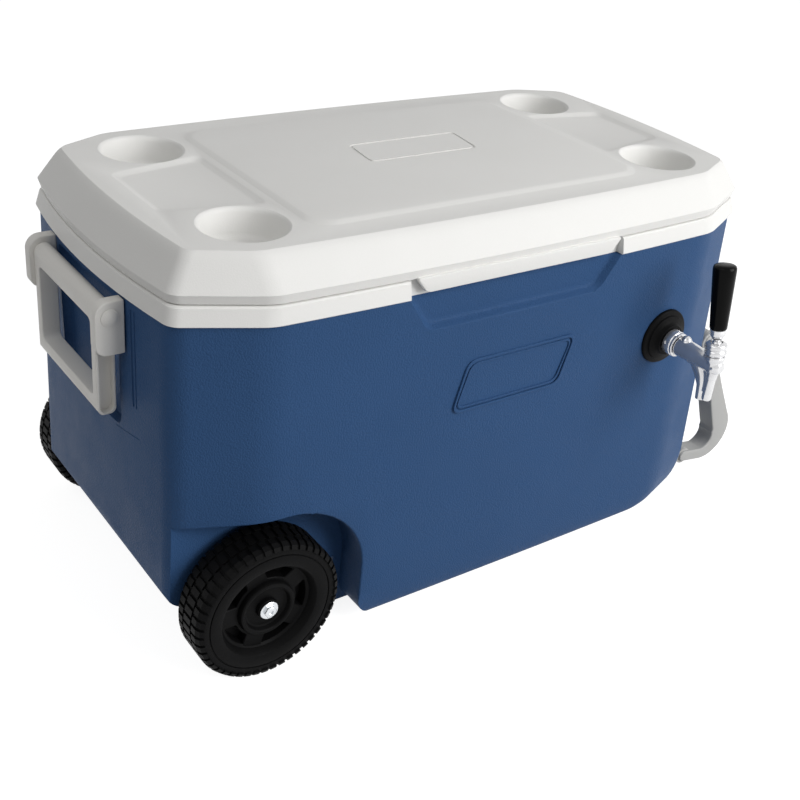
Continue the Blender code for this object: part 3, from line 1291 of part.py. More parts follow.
def make_tap(body_seat):
    """Flange, shank, nuts, faucet body, bonnet, lever, handle and plunger."""
    wall = -wall_y(TAP_X, TAP_Z)
    front = wall + FLANGE_THICK
    flange = [(SHANK_RADIUS + GAP, front), (FLANGE_NECK_RADIUS, front),
              (FLANGE_NECK_RADIUS + FLANGE_RIM / 2, front - FLANGE_RIM),
              (FLANGE_STEP_RADIUS, front - FLANGE_STEP), (FLANGE_STEP_RADIUS, wall + FLANGE_RIM),
              (FLANGE_RADIUS - FLANGE_RIM / 3, wall + FLANGE_RIM), (FLANGE_RADIUS, wall + FLANGE_RIM / 2),
              (FLANGE_RADIUS, wall - SKIN), (SHANK_RADIUS + GAP, wall - SKIN)]
    cut(along_y(flange, "tap_flange", BLACK), body_seat)
    inside = MOUTH_HALF_DEPTH - TUB_TAPER
    collar_end = front + GAP + COLLAR_LENGTH
    shank = [(0.0, collar_end - COLLAR_BEVEL), (SHANK_RADIUS, collar_end - COLLAR_BEVEL),
             (SHANK_RADIUS, inside - SHANK_INSIDE), (0.0, inside - SHANK_INSIDE)]
    along_y(shank, "tap_shank", STEEL)
    collar = [(SHANK_RADIUS + GAP, collar_end), (COLLAR_RADIUS - COLLAR_BEVEL, collar_end),
              (COLLAR_RADIUS, collar_end - COLLAR_BEVEL),
              (COLLAR_RADIUS, front + GAP + COLLAR_BEVEL), (COLLAR_RADIUS - COLLAR_BEVEL, front + GAP),
              (SHANK_RADIUS + GAP, front + GAP)]
    along_y(collar, "coupling_nut", CHROME)
    liner_wall = inner_wall()
    washer(along_y, "tap_inner_washer", liner_wall - GAP, BLACK)
    nut_start = liner_wall - WASHER_THICK - 2 * GAP
    nut("tap_lock_nut", (TAP_X, -nut_start, TAP_Z), (TAP_X, NUT_THICK - nut_start, TAP_Z), NUT_RADIUS,
        SHANK_RADIUS + GAP, STEEL)
    tail_nut = inside - SHANK_INSIDE - GAP
    profile = [(0.0, tail_nut), (TAIL_NUT_RADIUS, tail_nut), (TAIL_NUT_RADIUS, tail_nut - TAIL_NUT_LENGTH),
               (0.0, tail_nut - TAIL_NUT_LENGTH)]
    along_y(profile, "tap_tail_nut", STEEL, SMALL_STEPS // 2)
    make_faucet(collar_end + GAP)
    return tail_nut - TAIL_NUT_LENGTH - GAP


def inner_wall():
    """Half depth of the liner's inner face at the tap's height and place."""
    section = mouth_section(TAP_Z - NUT_RADIUS)
    return section.depth - section.bow_y


def washer(turn, name, start, finish):
    profile = [(WASHER_RADIUS, start), (WASHER_RADIUS, start - WASHER_THICK),
               (SHANK_RADIUS + GAP, start - WASHER_THICK), (SHANK_RADIUS + GAP, start)]
    turn(profile, name, finish, COARSE_STEPS)


def nut(name, start, end, radius, bored, finish):
    """A six-sided nut between two points on its axis, with a round bore."""
    made = cylinder(name, radius, start, end, finish, NUT_SIDES)
    beyond = (Vector(end) - Vector(start)).normalized() * OVERRUN
    cut(made, cylinder(name + "_bore", bored, Vector(start) - beyond, Vector(end) + beyond,
                       steps=ROUND_STEPS))
    return made


def lever_axis():
    """Direction of the lever's axis at rest, leaning back towards the cooler."""
    lean = math.radians(LEVER_LEAN)
    return Vector((0.0, math.sin(lean), math.cos(lean)))


def bonnet_top_rise():
    return BONNET_LOW_RISE + GAP + BONNET_HEIGHT


def tip_length():
    """Length of the lever below the centre of its ball."""
    return bonnet_top_rise() - BALL_BELOW_TOP - LEVER_TIP_RISE


def tip_swing():
    """How far the lever's tip moves along the barrel over the lever's whole range."""
    lean, reach = math.radians(LEVER_LEAN), math.radians(LEVER_RANGE)
    return tip_length() * (math.sin(lean) + math.sin(reach - lean))


def make_faucet(start):
    """The faucet from the coupling nut forwards; start is its distance in front of the middle."""
    base = Vector((TAP_X, -(start + BARREL_LENGTH), TAP_Z))
    front = -FRONT_MOST_Y
    make_faucet_body(start, base, front)
    make_bonnet(base)
    ball = make_lever(base)
    make_plunger(base, front)
    for name in ("lever_ferrule", "tap_handle"):
        follow(bpy.data.objects[name], ball)
    print(f"lever ball at {tuple(round(v, 5) for v in ball + ROOT.location)}, tip swing {tip_swing():.5f}")


def follow(obj, point):
    """Give a turned piece the lever's origin while it stays where it is."""
    obj.data.transform(obj.matrix_basis)
    obj.matrix_basis = Matrix.Identity(4)
    set_origin(obj, point)


def make_faucet_body(start, base, front):
    axis = lever_axis()
    barrel_start = Vector((TAP_X, -start, TAP_Z))
    body = cylinder("faucet_body", BARREL_RADIUS, barrel_start, base, CHROME, ROUND_STEPS,
                    BARREL_NOSE_RADIUS)
    lug = sphere("faucet_lug", LUG_RADIUS, barrel_start + Vector((0, -LUG_RADIUS - LUG_BACK,
                                                                  BARREL_RADIUS - LUG_SINK)))
    top = base + axis * BONNET_LOW_RISE
    housing = cylinder("faucet_housing", HOUSING_RADIUS, base - axis * BARREL_NOSE_RADIUS / 2, top)
    collar = cylinder("faucet_collar", HOUSING_COLLAR_RADIUS, base + axis * HOUSING_COLLAR_RISE, top)
    boss = cylinder("faucet_boss", BOSS_RADIUS, base, (TAP_X, -front, TAP_Z), steps=COARSE_STEPS)
    nozzle_y = base.y - GAP
    nozzle_low = TAP_Z - NOZZLE_DROP
    nozzle = cylinder("faucet_nozzle", NOZZLE_RADIUS, (TAP_X, nozzle_y, nozzle_low),
                      (TAP_X, nozzle_y, TAP_Z), steps=COARSE_STEPS)
    spout = as_mesh(tube("faucet_spout_path", spout_points(base), SPOUT_RADIUS), "faucet_spout")
    join(body, lug, housing, collar, boss, nozzle, spout)
    mouths = [mouth("nozzle_mouth", nozzle_y, nozzle_low),
              mouth("spout_mouth", base.y + SPOUT_BACK, TAP_Z - SPOUT_DROP)]
    bore_front = front - BOSS_WALL
    bore_back = bore_front - 3 * GAP - PLUNGER_LENGTH - SEAT_THICK - tip_swing()
    bore_hole = cylinder("plunger_bore", PLUNGER_RADIUS + PLUNGER_CLEARANCE, (TAP_X, -bore_front, TAP_Z),
                         (TAP_X, -bore_back, TAP_Z), steps=COARSE_STEPS)
    cut(body, *mouths, bore_hole, lever_slot(base))


def mouth(name, y, low):
    """The open end of one of the faucet's two downward tubes."""
    return cylinder(name, NOZZLE_BORE, (TAP_X, y, low - OVERRUN), (TAP_X, y, low + MOUTH_DEPTH),
                    steps=SMALL_STEPS)


def spout_points(base):
    """The spout's middle line: out of the barrel and down in a quarter ellipse."""
    back = base.y + BARREL_LENGTH * SPOUT_START_SHARE
    low = TAP_Z - SPOUT_DROP
    end_y = base.y + SPOUT_BACK
    points = []
    for k in range(TAIL_POINTS + 1):
        angle = math.radians(90) * k / TAIL_POINTS
        points.append((TAP_X, back + (end_y - back) * math.sin(angle),
                       TAP_Z - SPOUT_DROP * SPOUT_CURVE_SHARE * (1 - math.cos(angle))))
    points.append((TAP_X, end_y, low))
    return points


def lever_slot(base):
    """The room in which the lever's lower end swings, narrower at the top."""
    half = LEVER_TIP_RADIUS + 2 * PLUNGER_CLEARANCE
    top = base + lever_axis() * (BONNET_LOW_RISE + OVERRUN / 2)
    swing = tip_swing()
    low_front, low_back = base.y - NOTCH_HALF, base.y + swing + NOTCH_HALF
    ball_y = (base + lever_axis() * (bonnet_top_rise() - BALL_BELOW_TOP)).y
    rings = []
    for z, front_y, back_y in ((TAP_Z - LEVER_TIP_RADIUS, low_front, low_back),
                               (top.z, ball_y - NOTCH_HALF, ball_y + NOTCH_HALF)):
        rings.append([(TAP_X - half, front_y, z), (TAP_X + half, front_y, z), (TAP_X + half, back_y, z),
                      (TAP_X - half, back_y, z)])
    return loft("lever_slot", rings)


def make_bonnet(base):
    """The bonnet over the housing, grooved outside, with a bore for the lever's ball that opens
    downwards so that the lever's lower end can swing."""
    radius, height, groove = BONNET_RADIUS, BONNET_HEIGHT, BONNET_GROOVE
    bored = LEVER_BALL_RADIUS + GAP
    profile = [(bored, height), (radius - 2 * groove, height), (radius - groove, height - groove),
               (radius, height - 2 * groove),
               (radius, height - 3 * groove), (radius - groove, height - 4 * groove),
               (radius, height - 5 * groove),
               (radius, height - 7 * groove), (radius - groove, height - 8 * groove),
               (radius - groove, 0.0), (BONNET_OPENING, 0.0), (bored, height / 2)]
    turned("faucet_bonnet", profile, base + lever_axis() * (BONNET_LOW_RISE + GAP), lever_axis(), CHROME)


def make_lever(base):
    """The lever with its ball, the ferrule and the black handle; returns the ball's centre."""
    axis = lever_axis()
    top_rise = bonnet_top_rise()
    ball = base + axis * (top_rise - BALL_BELOW_TOP)
    ferrule_start = top_rise + FERRULE_RISE
    handle_start = ferrule_start + FERRULE_HEIGHT + GAP
    stud_end = handle_start + FERRULE_HEIGHT
    lever = cylinder("faucet_lever", LEVER_NECK_RADIUS, ball, base + axis * stud_end, CHROME, SMALL_STEPS)
    rod = cylinder("lever_rod", LEVER_TIP_RADIUS, base + axis * LEVER_TIP_RISE, ball, steps=SMALL_STEPS)
    join(lever, sphere("lever_ball", LEVER_BALL_RADIUS, ball), rod)
    set_origin(lever, ball)
    hole = LEVER_NECK_RADIUS + GAP
    ferrule = [(hole, FERRULE_HEIGHT), (FERRULE_RADIUS, FERRULE_HEIGHT),
               (FERRULE_RADIUS, FERRULE_HEIGHT / 2),
               (FERRULE_LOW_RADIUS, 0.0), (hole, 0.0)]
    turned("lever_ferrule", ferrule, base + axis * ferrule_start, axis, CHROME)
    depth = FERRULE_HEIGHT + GAP
    handle = [(0.0, HANDLE_LENGTH), (HANDLE_TOP_RADIUS - HANDLE_ROUND, HANDLE_LENGTH),
              (HANDLE_TOP_RADIUS, HANDLE_LENGTH - HANDLE_ROUND),
              (HANDLE_LOW_RADIUS, HANDLE_ROUND), (HANDLE_LOW_RADIUS - HANDLE_ROUND / 2, 0.0), (hole, 0.0),
              (hole, depth), (0.0, depth)]
    turned("tap_handle", handle, base + axis * handle_start, axis, BLACK)
    return ball


def make_plunger(base, front):
    """The plunger that the lever's tip slides, and the washer on its end."""
    start = front - BOSS_WALL - GAP
    end = start - PLUNGER_LENGTH
    plunger = cylinder("faucet_plunger", PLUNGER_RADIUS, (TAP_X, -start, TAP_Z), (TAP_X, -end, TAP_Z),
                       STEEL, COARSE_STEPS)
    notch = box("plunger_notch", (TAP_X - PLUNGER_RADIUS - GAP, base.y - NOTCH_HALF,
                                  TAP_Z - LEVER_TIP_RADIUS),
                (TAP_X + PLUNGER_RADIUS + GAP, base.y + NOTCH_HALF, TAP_Z + OVERRUN))
    cut(plunger, notch)
    cylinder("seat_washer", PLUNGER_RADIUS, (TAP_X, -end + GAP, TAP_Z),
             (TAP_X, -end + GAP + SEAT_THICK, TAP_Z), RUBBER, COARSE_STEPS)


def bezier(points, steps):
    """Points on a cubic curve, without its first one."""
    p0, p1, p2, p3 = (Vector(point) for point in points)
    made = []
    for k in range(1, steps + 1):
        t = k / steps
        made.append(p0 * (1 - t) ** 3 + 3 * p1 * t * (1 - t) ** 2 + 3 * p2 * t ** 2 * (1 - t) + p3 * t ** 3)
    return made


def coil_points(inlet, outlet):
    """The beer line: from the inlet down to the floor, round the coil and up to the tap."""
    low = FLOOR_Z + GAP + COIL_TUBE
    straight = 2 * COIL_TUBE
    first = Vector(inlet)
    turned_in = first - Vector((straight, 0, 0))
    knee = Vector((inlet[0] - COIL_KNEE_OUT, COIL_KNEE_Y, COIL_KNEE_Z))
    foot = Vector((COIL_X + COIL_RADIUS, 0, low))
    drop, reach = (COIL_KNEE_Z - low) * COIL_DROP_SHARE, COIL_TAIL_REACH
    points = [first, turned_in]
    points += bezier((turned_in, turned_in - Vector((COIL_KNEE_OUT, 0, 0)), knee + Vector((0, 0, drop)),
                      knee), TAIL_POINTS)
    points += bezier((knee, knee - Vector((0, 0, drop)), foot + Vector((0, COIL_KNEE_Y, 0)), foot),
                     TAIL_POINTS)
    total = COIL_TURNS * COIL_POINTS
    for k in range(1, total + 1):
        angle = -math.radians(360) * k / COIL_POINTS
        points.append(Vector((COIL_X + COIL_RADIUS * math.cos(angle), COIL_RADIUS * math.sin(angle),
                              low + COIL_PITCH * k / COIL_POINTS)))
    top, last = points[-1], Vector(outlet)
    before = last + Vector((0, straight, 0))
    points += bezier((top, top - Vector((0, reach, 0)), before + Vector((0, reach, 0)), before),
                     TAIL_POINTS)
    points.append(last)
    return points


def least_gap(points, radius):
    """Smallest distance between two stretches of a tube that aren't neighbours along it, less
    its thickness."""
    fine, run = [], []
    length = 0.0
    for a, b in zip(points, points[1:]):
        for k in range(GAP_STEPS):
            fine.append(a.lerp(b, k / GAP_STEPS))
            run.append(length + (b - a).length * k / GAP_STEPS)
        length += (b - a).length
    closest = min(
        (fine[i] - fine[j]).length
        for i in range(len(fine)) for j in range(i + 1, len(fine)) if run[j] - run[i] > NEIGHBOUR_REACH
    )
    return closest - 2 * radius


def along_x(profile, name, finish, steps=ROUND_STEPS, place=(0.0, INLET_Y, INLET_Z)):
    """Turn a profile whose heights are distances along +X, on the inlet's axis or another one."""
    return turned(name, profile, place, "+X", finish, steps)


def make_inlet(body_seat):
    """The beer inlet through the far end: flange, shank with barb, washer and nuts."""
    wall = wall_x(INLET_Y, INLET_Z)
    front = wall + INLET_FLANGE_THICK
    flange = [(SHANK_RADIUS + GAP, front), (FLANGE_NECK_RADIUS, front),
              (INLET_FLANGE_RADIUS, front - INLET_FLANGE_THICK / 2),
              (INLET_FLANGE_RADIUS, wall - 2 * SKIN), (SHANK_RADIUS + GAP, wall - 2 * SKIN)]
    cut(along_x(flange, "inlet_flange", BLACK), body_seat)
    section = mouth_section(INLET_Z - WASHER_RADIUS)
    inside = section.right - section.bow_x
    inner_end = inside - SHANK_INSIDE
    shank = [(0.0, wall + INLET_OUT), (INLET_BARB_RADIUS, wall + INLET_OUT),
             (INLET_BARB_RADIUS, front + INLET_FLANGE_THICK),
             (SHANK_RADIUS, front + INLET_FLANGE_THICK), (SHANK_RADIUS, inner_end), (0.0, inner_end)]
    along_x(shank, "inlet_shank", STEEL)
    washer(along_x, "inlet_inner_washer", inside - GAP, BLACK)
    nut_start = inside - WASHER_THICK - 2 * GAP
    nut("inlet_lock_nut", (nut_start, INLET_Y, INLET_Z), (nut_start - NUT_THICK, INLET_Y, INLET_Z),
        NUT_RADIUS, SHANK_RADIUS + GAP, STEEL)
    tail = inner_end - GAP
    profile = [(0.0, tail), (TAIL_NUT_RADIUS, tail), (TAIL_NUT_RADIUS, tail - TAIL_NUT_LENGTH),
               (0.0, tail - TAIL_NUT_LENGTH)]
    along_x(profile, "inlet_tail_nut", STEEL, SMALL_STEPS // 2)
    return tail - TAIL_NUT_LENGTH - GAP


def make_drain():
    """The drain spout through the far end, its gasket and nut inside and its screw cap outside."""
    place = (0.0, 0.0, DRAIN_Z)
    wall = wall_x(0.0, DRAIN_Z)
    flange, end = wall + DRAIN_FLANGE_THICK, wall + DRAIN_OUT
    section = mouth_section(DRAIN_Z - DRAIN_CAP_RADIUS)
    inside = section.right
    inner_end = inside - DRAIN_GASKET_THICK - DRAIN_NUT_THICK - SKIN
    hole = DRAIN_RADIUS - SKIN
    spout = [(hole, end), (DRAIN_RADIUS, end), (DRAIN_RADIUS, flange), (DRAIN_FLANGE_RADIUS, flange),
             (DRAIN_FLANGE_RADIUS, wall - SKIN), (DRAIN_RADIUS, wall - SKIN), (DRAIN_RADIUS, inner_end),
             (hole, inner_end)]
    cut(turned("drain_spout", spout, place, "+X", WHITE, COARSE_STEPS), drain_seat())
    ring_radius, room = DRAIN_CAP_RADIUS - GAP, DRAIN_RADIUS + GAP
    gasket_end = inside - GAP - DRAIN_GASKET_THICK
    gasket = [(ring_radius, inside - GAP), (ring_radius, gasket_end), (room, gasket_end),
              (room, inside - GAP)]
    turned("drain_gasket", gasket, place, "+X", RUBBER, COARSE_STEPS)
    nut("drain_nut", (gasket_end - GAP, 0.0, DRAIN_Z), (gasket_end - GAP - DRAIN_NUT_THICK, 0.0, DRAIN_Z),
        ring_radius, room, WHITE)
    cap = [(0.0, end + GAP + DRAIN_CAP_END),
           (DRAIN_CAP_RADIUS - DRAIN_CAP_END / 2, end + GAP + DRAIN_CAP_END),
           (DRAIN_CAP_RADIUS, end), (DRAIN_CAP_RADIUS, flange + GAP), (room, flange + GAP),
           (room, end + GAP), (0.0, end + GAP)]
    made = turned("drain_cap", cap, place, "+X", WHITE, COARSE_STEPS)
    wing = box("drain_wing", (end, -DRAIN_WINGS / 2, DRAIN_Z - DRAIN_CAP_RADIUS + DRAIN_WINGS),
               (end + GAP + DRAIN_CAP_END + DRAIN_WINGS, DRAIN_WINGS / 2,
                DRAIN_Z + DRAIN_CAP_RADIUS - DRAIN_WINGS))
    join(made, wing)


def drain_seat():
    """The outer form of the body with the drain's bore left open, so that only the flange is cut."""
    seat = body_solid("drain_body_seat", GAP, RIM_LOW_Z - GAP)
    cut(seat, cylinder("drain_keep", DRAIN_RADIUS + GAP, (0.0, 0.0, DRAIN_Z),
                       (RIM_HALF_LENGTH + OVERRUN, 0.0, DRAIN_Z)))
    return seat


def main():
    make_body()
    make_lid()
    body_seat = body_solid("body_seat", GAP, RIM_LOW_Z - GAP)
    rim_seat = rim_solid("rim_seat", GAP, RIM_LOW_Z - GAP, SEAM_Z + GAP)
    lid_seat = lid_solid("lid_seat", GAP, SEAM_Z, LID_TOP_Z)
    make_hinges((body_seat, rim_seat), lid_seat)
    make_bail(body_seat)
    make_tow_handle(body_seat)
    make_wheels()
    make_feet()
    tap_tail = make_tap(body_seat)
    inlet_tail = make_inlet(body_seat)
    make_drain()
    points = coil_points((inlet_tail, INLET_Y, INLET_Z), (TAP_X, -tap_tail, TAP_Z))
    gap = least_gap(points, COIL_TUBE)
    print(f"least gap between the coil and itself: {gap * 1000:.2f} mm")
    as_mesh(tube("cooling_coil_path", points, COIL_TUBE, resolution=1), "cooling_coil", STEEL)
    bpy.context.view_layer.update()


if __name__ == "__main__":
    main()
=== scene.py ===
"""The looks of a wheeled cooler with a draught tap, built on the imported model's frame.

Lengths are in metres. Shapes are drawn from the middle of the cooler's footprint, with the wheels
at -X and the tap at -Y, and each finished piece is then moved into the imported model's frame.
"""

import logging
import math
from contextlib import contextmanager
from dataclasses import astuple, dataclass, replace
from enum import Enum
from typing import Callable, Iterator, Sequence

import bmesh
import bpy
from mathutils import Matrix, Vector


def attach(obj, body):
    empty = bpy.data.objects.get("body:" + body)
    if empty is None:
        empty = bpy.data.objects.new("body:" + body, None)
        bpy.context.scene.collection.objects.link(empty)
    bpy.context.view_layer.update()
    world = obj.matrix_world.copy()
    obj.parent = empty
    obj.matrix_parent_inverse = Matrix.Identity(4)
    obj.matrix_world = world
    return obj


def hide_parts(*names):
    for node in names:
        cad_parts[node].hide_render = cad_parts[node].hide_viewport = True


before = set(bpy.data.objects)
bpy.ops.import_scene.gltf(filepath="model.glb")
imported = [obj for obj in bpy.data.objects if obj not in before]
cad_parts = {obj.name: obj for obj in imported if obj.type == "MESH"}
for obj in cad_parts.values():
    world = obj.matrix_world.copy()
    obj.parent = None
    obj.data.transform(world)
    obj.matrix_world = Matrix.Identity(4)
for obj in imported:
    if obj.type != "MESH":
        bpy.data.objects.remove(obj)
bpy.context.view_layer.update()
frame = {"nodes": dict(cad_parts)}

LOG = logging.getLogger("cooler")

Flat = tuple[float, float]
Place = Sequence[float]
Point = tuple[float, float, float]
Profile = Sequence[Flat]
Ring = list[Point]
Obj = bpy.types.Object

FRAME_SHIFT = Vector((-0.0345, 0.0365, 0.0))
GAP = 0.0003
OVERRUN = 0.03
MERGE = 0.000005
TURN = math.tau
SIDES = ((-1, "front"), (1, "back"))
TAP: Flat = (0.2323, 0.2645)
INLET: Flat = (0.06, 0.3)
DRAIN: Flat = (0.0, 0.077)
SHANK_BORE = 0.0113
DRAIN_BORE = 0.0093
PIN_BORE = 0.0043


class Towards(Enum):
    """The way that the axis of a turned piece points."""

    RIGHT = Matrix.Rotation(math.radians(90), 3, "Y")
    BACK = Matrix.Rotation(math.radians(-90), 3, "X")
    FRONT = Matrix.Rotation(math.radians(90), 3, "X")
    UP = Matrix.Identity(3)

    @classmethod
    def side(cls, side: int) -> Matrix:
        """The turn for a piece that faces the front, at side -1, or the back."""
        return (cls.FRONT if side < 0 else cls.BACK).value


class Body(Enum):
    """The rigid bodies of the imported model."""

    COOLER = "cooler"
    LID = "lid"
    BAIL = "bail"
    TOW = "tow"
    FRONT_WHEEL = "front_wheel"
    BACK_WHEEL = "back_wheel"
    LEVER = "lever"
    CAP = "cap"


class Bench:
    """Modelling moves, made with Blender's operators as by hand."""

    @staticmethod
    def pick(obj: Obj) -> None:
        """Select one object alone and make it active.

        Args:
            obj: the object.
        """
        if bpy.context.object and bpy.context.object.mode != "OBJECT":
            bpy.ops.object.mode_set(mode="OBJECT")
        bpy.ops.object.select_all(action="DESELECT")
        obj.select_set(True)
        bpy.context.view_layer.objects.active = obj

    @staticmethod
    @contextmanager
    def editing(obj: Obj, action: str = "SELECT") -> Iterator[None]:
        """Work on an object in edit mode, with all of it selected unless told otherwise.

        Args:
            obj: the object.
            action: what is done to the selection first: SELECT or DESELECT.

        Returns:
            The block runs in edit mode.
        """
        Bench.pick(obj)
        bpy.ops.object.mode_set(mode="EDIT")
        bpy.ops.mesh.select_mode(type="FACE" if action == "DESELECT" else "VERT")
        bpy.ops.mesh.select_all(action=action)
        yield
        bpy.ops.object.mode_set(mode="OBJECT")

    @staticmethod
    def drawn(name: str, points: Sequence[Place], edges: Sequence = (), faces: Sequence = ()
              ) -> Obj:
        """A mesh object from points, edges and faces.

        Args:
            name: the object's name.
            points: the places of its points.
            edges: pairs of numbers of points.
            faces: the numbers of the points round each face.

        Returns:
            The new object.
        """
        mesh = bpy.data.meshes.new(name)
        mesh.from_pydata([tuple(point) for point in points], list(edges), list(faces))
        obj = bpy.data.objects.new(name, mesh)
        bpy.context.scene.collection.objects.link(obj)
        return obj

    @staticmethod
    def tidy(obj: Obj) -> Obj:
        """Weld doubled points and turn every face outwards.

        Args:
            obj: the object.

        Returns:
            The new object.
        """
        with Bench.editing(obj):
            bpy.ops.mesh.remove_doubles(threshold=MERGE)
            bpy.ops.mesh.normals_make_consistent(inside=False)
        return obj

    @staticmethod
    def apply(obj: Obj, kind: str, **settings: object) -> None:
        """Add a modifier with its settings and apply it.

        Args:
            obj: the object.
            kind: the modifier's type.
            settings: its settings by name.
        """
        modifier = obj.modifiers.new(kind.title(), kind)
        for key, value in settings.items():
            setattr(modifier, key, value)
        Bench.pick(obj)
        bpy.ops.object.modifier_apply(modifier=modifier.name)

    @staticmethod
    def loft(name: str, rings: Sequence[Ring]) -> Obj:
        """A closed solid through rings of equally many points.

        Args:
            name: the object's name.
            rings: the rings in order; the first and the last are closed by a face.

        Returns:
            The new object.
        """
        count = len(rings[0])
        points = [point for ring in rings for point in ring]
        faces: list[list[int]] = [list(range(count)), list(range(len(points) - count, len(points)))]
        for row in range(len(rings) - 1):
            for i in range(count):
                j = (i + 1) % count
                low, high = row * count, (row + 1) * count
                faces.append([low + i, low + j, high + j, high + i])
        return Bench.tidy(Bench.drawn(name, points, faces=faces))

    @staticmethod
    def block(name: str, low: Place, high: Place) -> Obj:
        """A box between two corners.

        Args:
            name: the object's name.
            low: the corner with the smallest coordinates.
            high: the corner with the largest ones.

        Returns:
            The new object.
        """
        bpy.ops.object.select_all(action="DESELECT")
        middle = (Vector(low) + Vector(high)) / 2
        bpy.ops.mesh.primitive_cube_add(size=1.0, location=middle)
        obj = bpy.context.object
        obj.name = name
        obj.scale = Vector(high) - Vector(low)
        bpy.ops.object.transform_apply(location=True, rotation=True, scale=True)
        return obj

    @staticmethod
    def turned(name: str, profile: Sequence[Flat], place: Place, towards: Matrix,
               steps: int = 72) -> Obj:
        """A solid of revolution.

        Args:
            name: the object's name.
            profile: (radius, height) pairs; a profile that leaves the axis free is closed.
            place: the point on the axis from which heights count.
            towards: rotation that takes +Z to the axis.
            steps: sides round it.

        Returns:
            The new object.
        """
        points = [(radius, 0.0, height) for radius, height in profile]
        edges = [(i, i + 1) for i in range(len(points) - 1)]
        if profile[0][0] > 0 and profile[-1][0] > 0:
            edges.append((len(points) - 1, 0))
        obj = Bench.drawn(name, points, edges)
        with Bench.editing(obj):
            bpy.ops.mesh.spin(steps=steps, angle=TURN, center=(0, 0, 0), axis=(0, 0, 1))
        Bench.tidy(obj)
        obj.data.transform(Matrix.Translation(Vector(place)) @ towards.to_4x4())
        return obj

    @staticmethod
    def rod(name: str, radius: float, start: Place, end: Place, end_radius: float | None = None,
            steps: int = 48) -> Obj:
        """A cylinder or cone from start to end.

        Args:
            name: the object's name.
            radius: its radius at the start.
            start: the middle of its first end.
            end: the middle of its other end.
            end_radius: its radius there, if it differs.
            steps: sides round it.

        Returns:
            The new object.
        """
        along = Vector(end) - Vector(start)
        last = radius if end_radius is None else end_radius
        profile = [(0.0, along.length), (last, along.length), (radius, 0.0), (0.0, 0.0)]
        turn = Vector((0, 0, 1)).rotation_difference(along).to_matrix()
        return Bench.turned(name, profile, start, turn, steps)

    @staticmethod
    def plate(name: str, outline: Profile, near: float, far: float, axis: str) -> Obj:
        """A flat outline, drawn in the plane square to an axis, extruded along that axis.

        Args:
            name: the object's name.
            outline: the corners of the outline.
            near: where it starts along the axis.
            far: where it ends along the axis.
            axis: the axis that it is extruded along.

        Returns:
            The new object.
        """
        points = [on_plane(axis, near, u, v) for u, v in outline]
        obj = Bench.drawn(name, points, faces=[list(range(len(outline)))])
        with Bench.editing(obj):
            bpy.ops.mesh.extrude_region_move(
                TRANSFORM_OT_translate={"value": on_plane(axis, far - near, 0, 0)})
        return Bench.tidy(obj)

    @staticmethod
    def tube(name: str, points: Sequence[Place], radii: float | Sequence[float], rounding: int = 6
             ) -> Obj:
        """A round tube with closed ends along points, of one radius or a radius at each point.

        Args:
            name: the object's name.
            points: the points of its middle line.
            radii: one radius, or one for each point.
            rounding: how finely it is rounded.

        Returns:
            The new object.
        """
        curve = bpy.data.curves.new(name, "CURVE")
        curve.dimensions = "3D"
        curve.bevel_depth = 1.0
        curve.bevel_resolution = rounding
        curve.use_fill_caps = True
        spline = curve.splines.new("POLY")
        spline.points.add(len(points) - 1)
        for i, place in enumerate(points):
            spline.points[i].co = (*place, 1.0)
            spline.points[i].radius = radii if isinstance(radii, float) else radii[i]
        obj = bpy.data.objects.new(name, curve)
        bpy.context.scene.collection.objects.link(obj)
        Bench.pick(obj)
        bpy.ops.object.convert(target="MESH")
        return Bench.tidy(bpy.context.object)

    @staticmethod
    def combine(target: Obj, operation: str, *others: Obj) -> None:
        """Join solids to a target or cut them from it, and remove them.

        Args:
            target: the solid that is kept.
            operation: UNION or DIFFERENCE.
            others: the solids that are joined or cut.
        """
        for other in others:
            Bench.apply(target, "BOOLEAN", operation=operation, object=other, solver="EXACT")
            bpy.data.objects.remove(other, do_unlink=True)

    @staticmethod
    def cut(target: Obj, *others: Obj) -> None:
        """Cut solids from a target."""
        Bench.combine(target, "DIFFERENCE", *others)

    @staticmethod
    def join(target: Obj, *others: Obj) -> None:
        """Join solids to a target."""
        Bench.combine(target, "UNION", *others)

    @staticmethod
    def copied(obj: Obj, name: str) -> Obj:
        """A copy of an object with a mesh of its own.

        Args:
            obj: the object.
            name: the copy's name.

        Returns:
            The new object.
        """
        twin = bpy.data.objects.new(name, obj.data.copy())
        bpy.context.scene.collection.objects.link(twin)
        return twin

    @staticmethod
    def ease(obj: Obj, width: float, segments: int = 3, angle: float = 35.0) -> None:
        """Round the edges that are sharper than an angle in degrees."""
        Bench.apply(obj, "BEVEL", width=width, segments=segments, limit_method="ANGLE",
                    angle_limit=math.radians(angle))

    @staticmethod
    def smooth(obj: Obj, angle: float = 32.0) -> None:
        """Shade smoothly across edges softer than an angle in degrees."""
        Bench.pick(obj)
        bpy.ops.object.shade_smooth_by_angle(angle=math.radians(angle))


def on_plane(axis: str, level: float, u: float, v: float) -> Point:
    """A point of a flat outline, put on the plane square to an axis at a level along it."""
    return {"X": (level, u, v), "Y": (u, level, v), "Z": (u, v, level)}[axis]


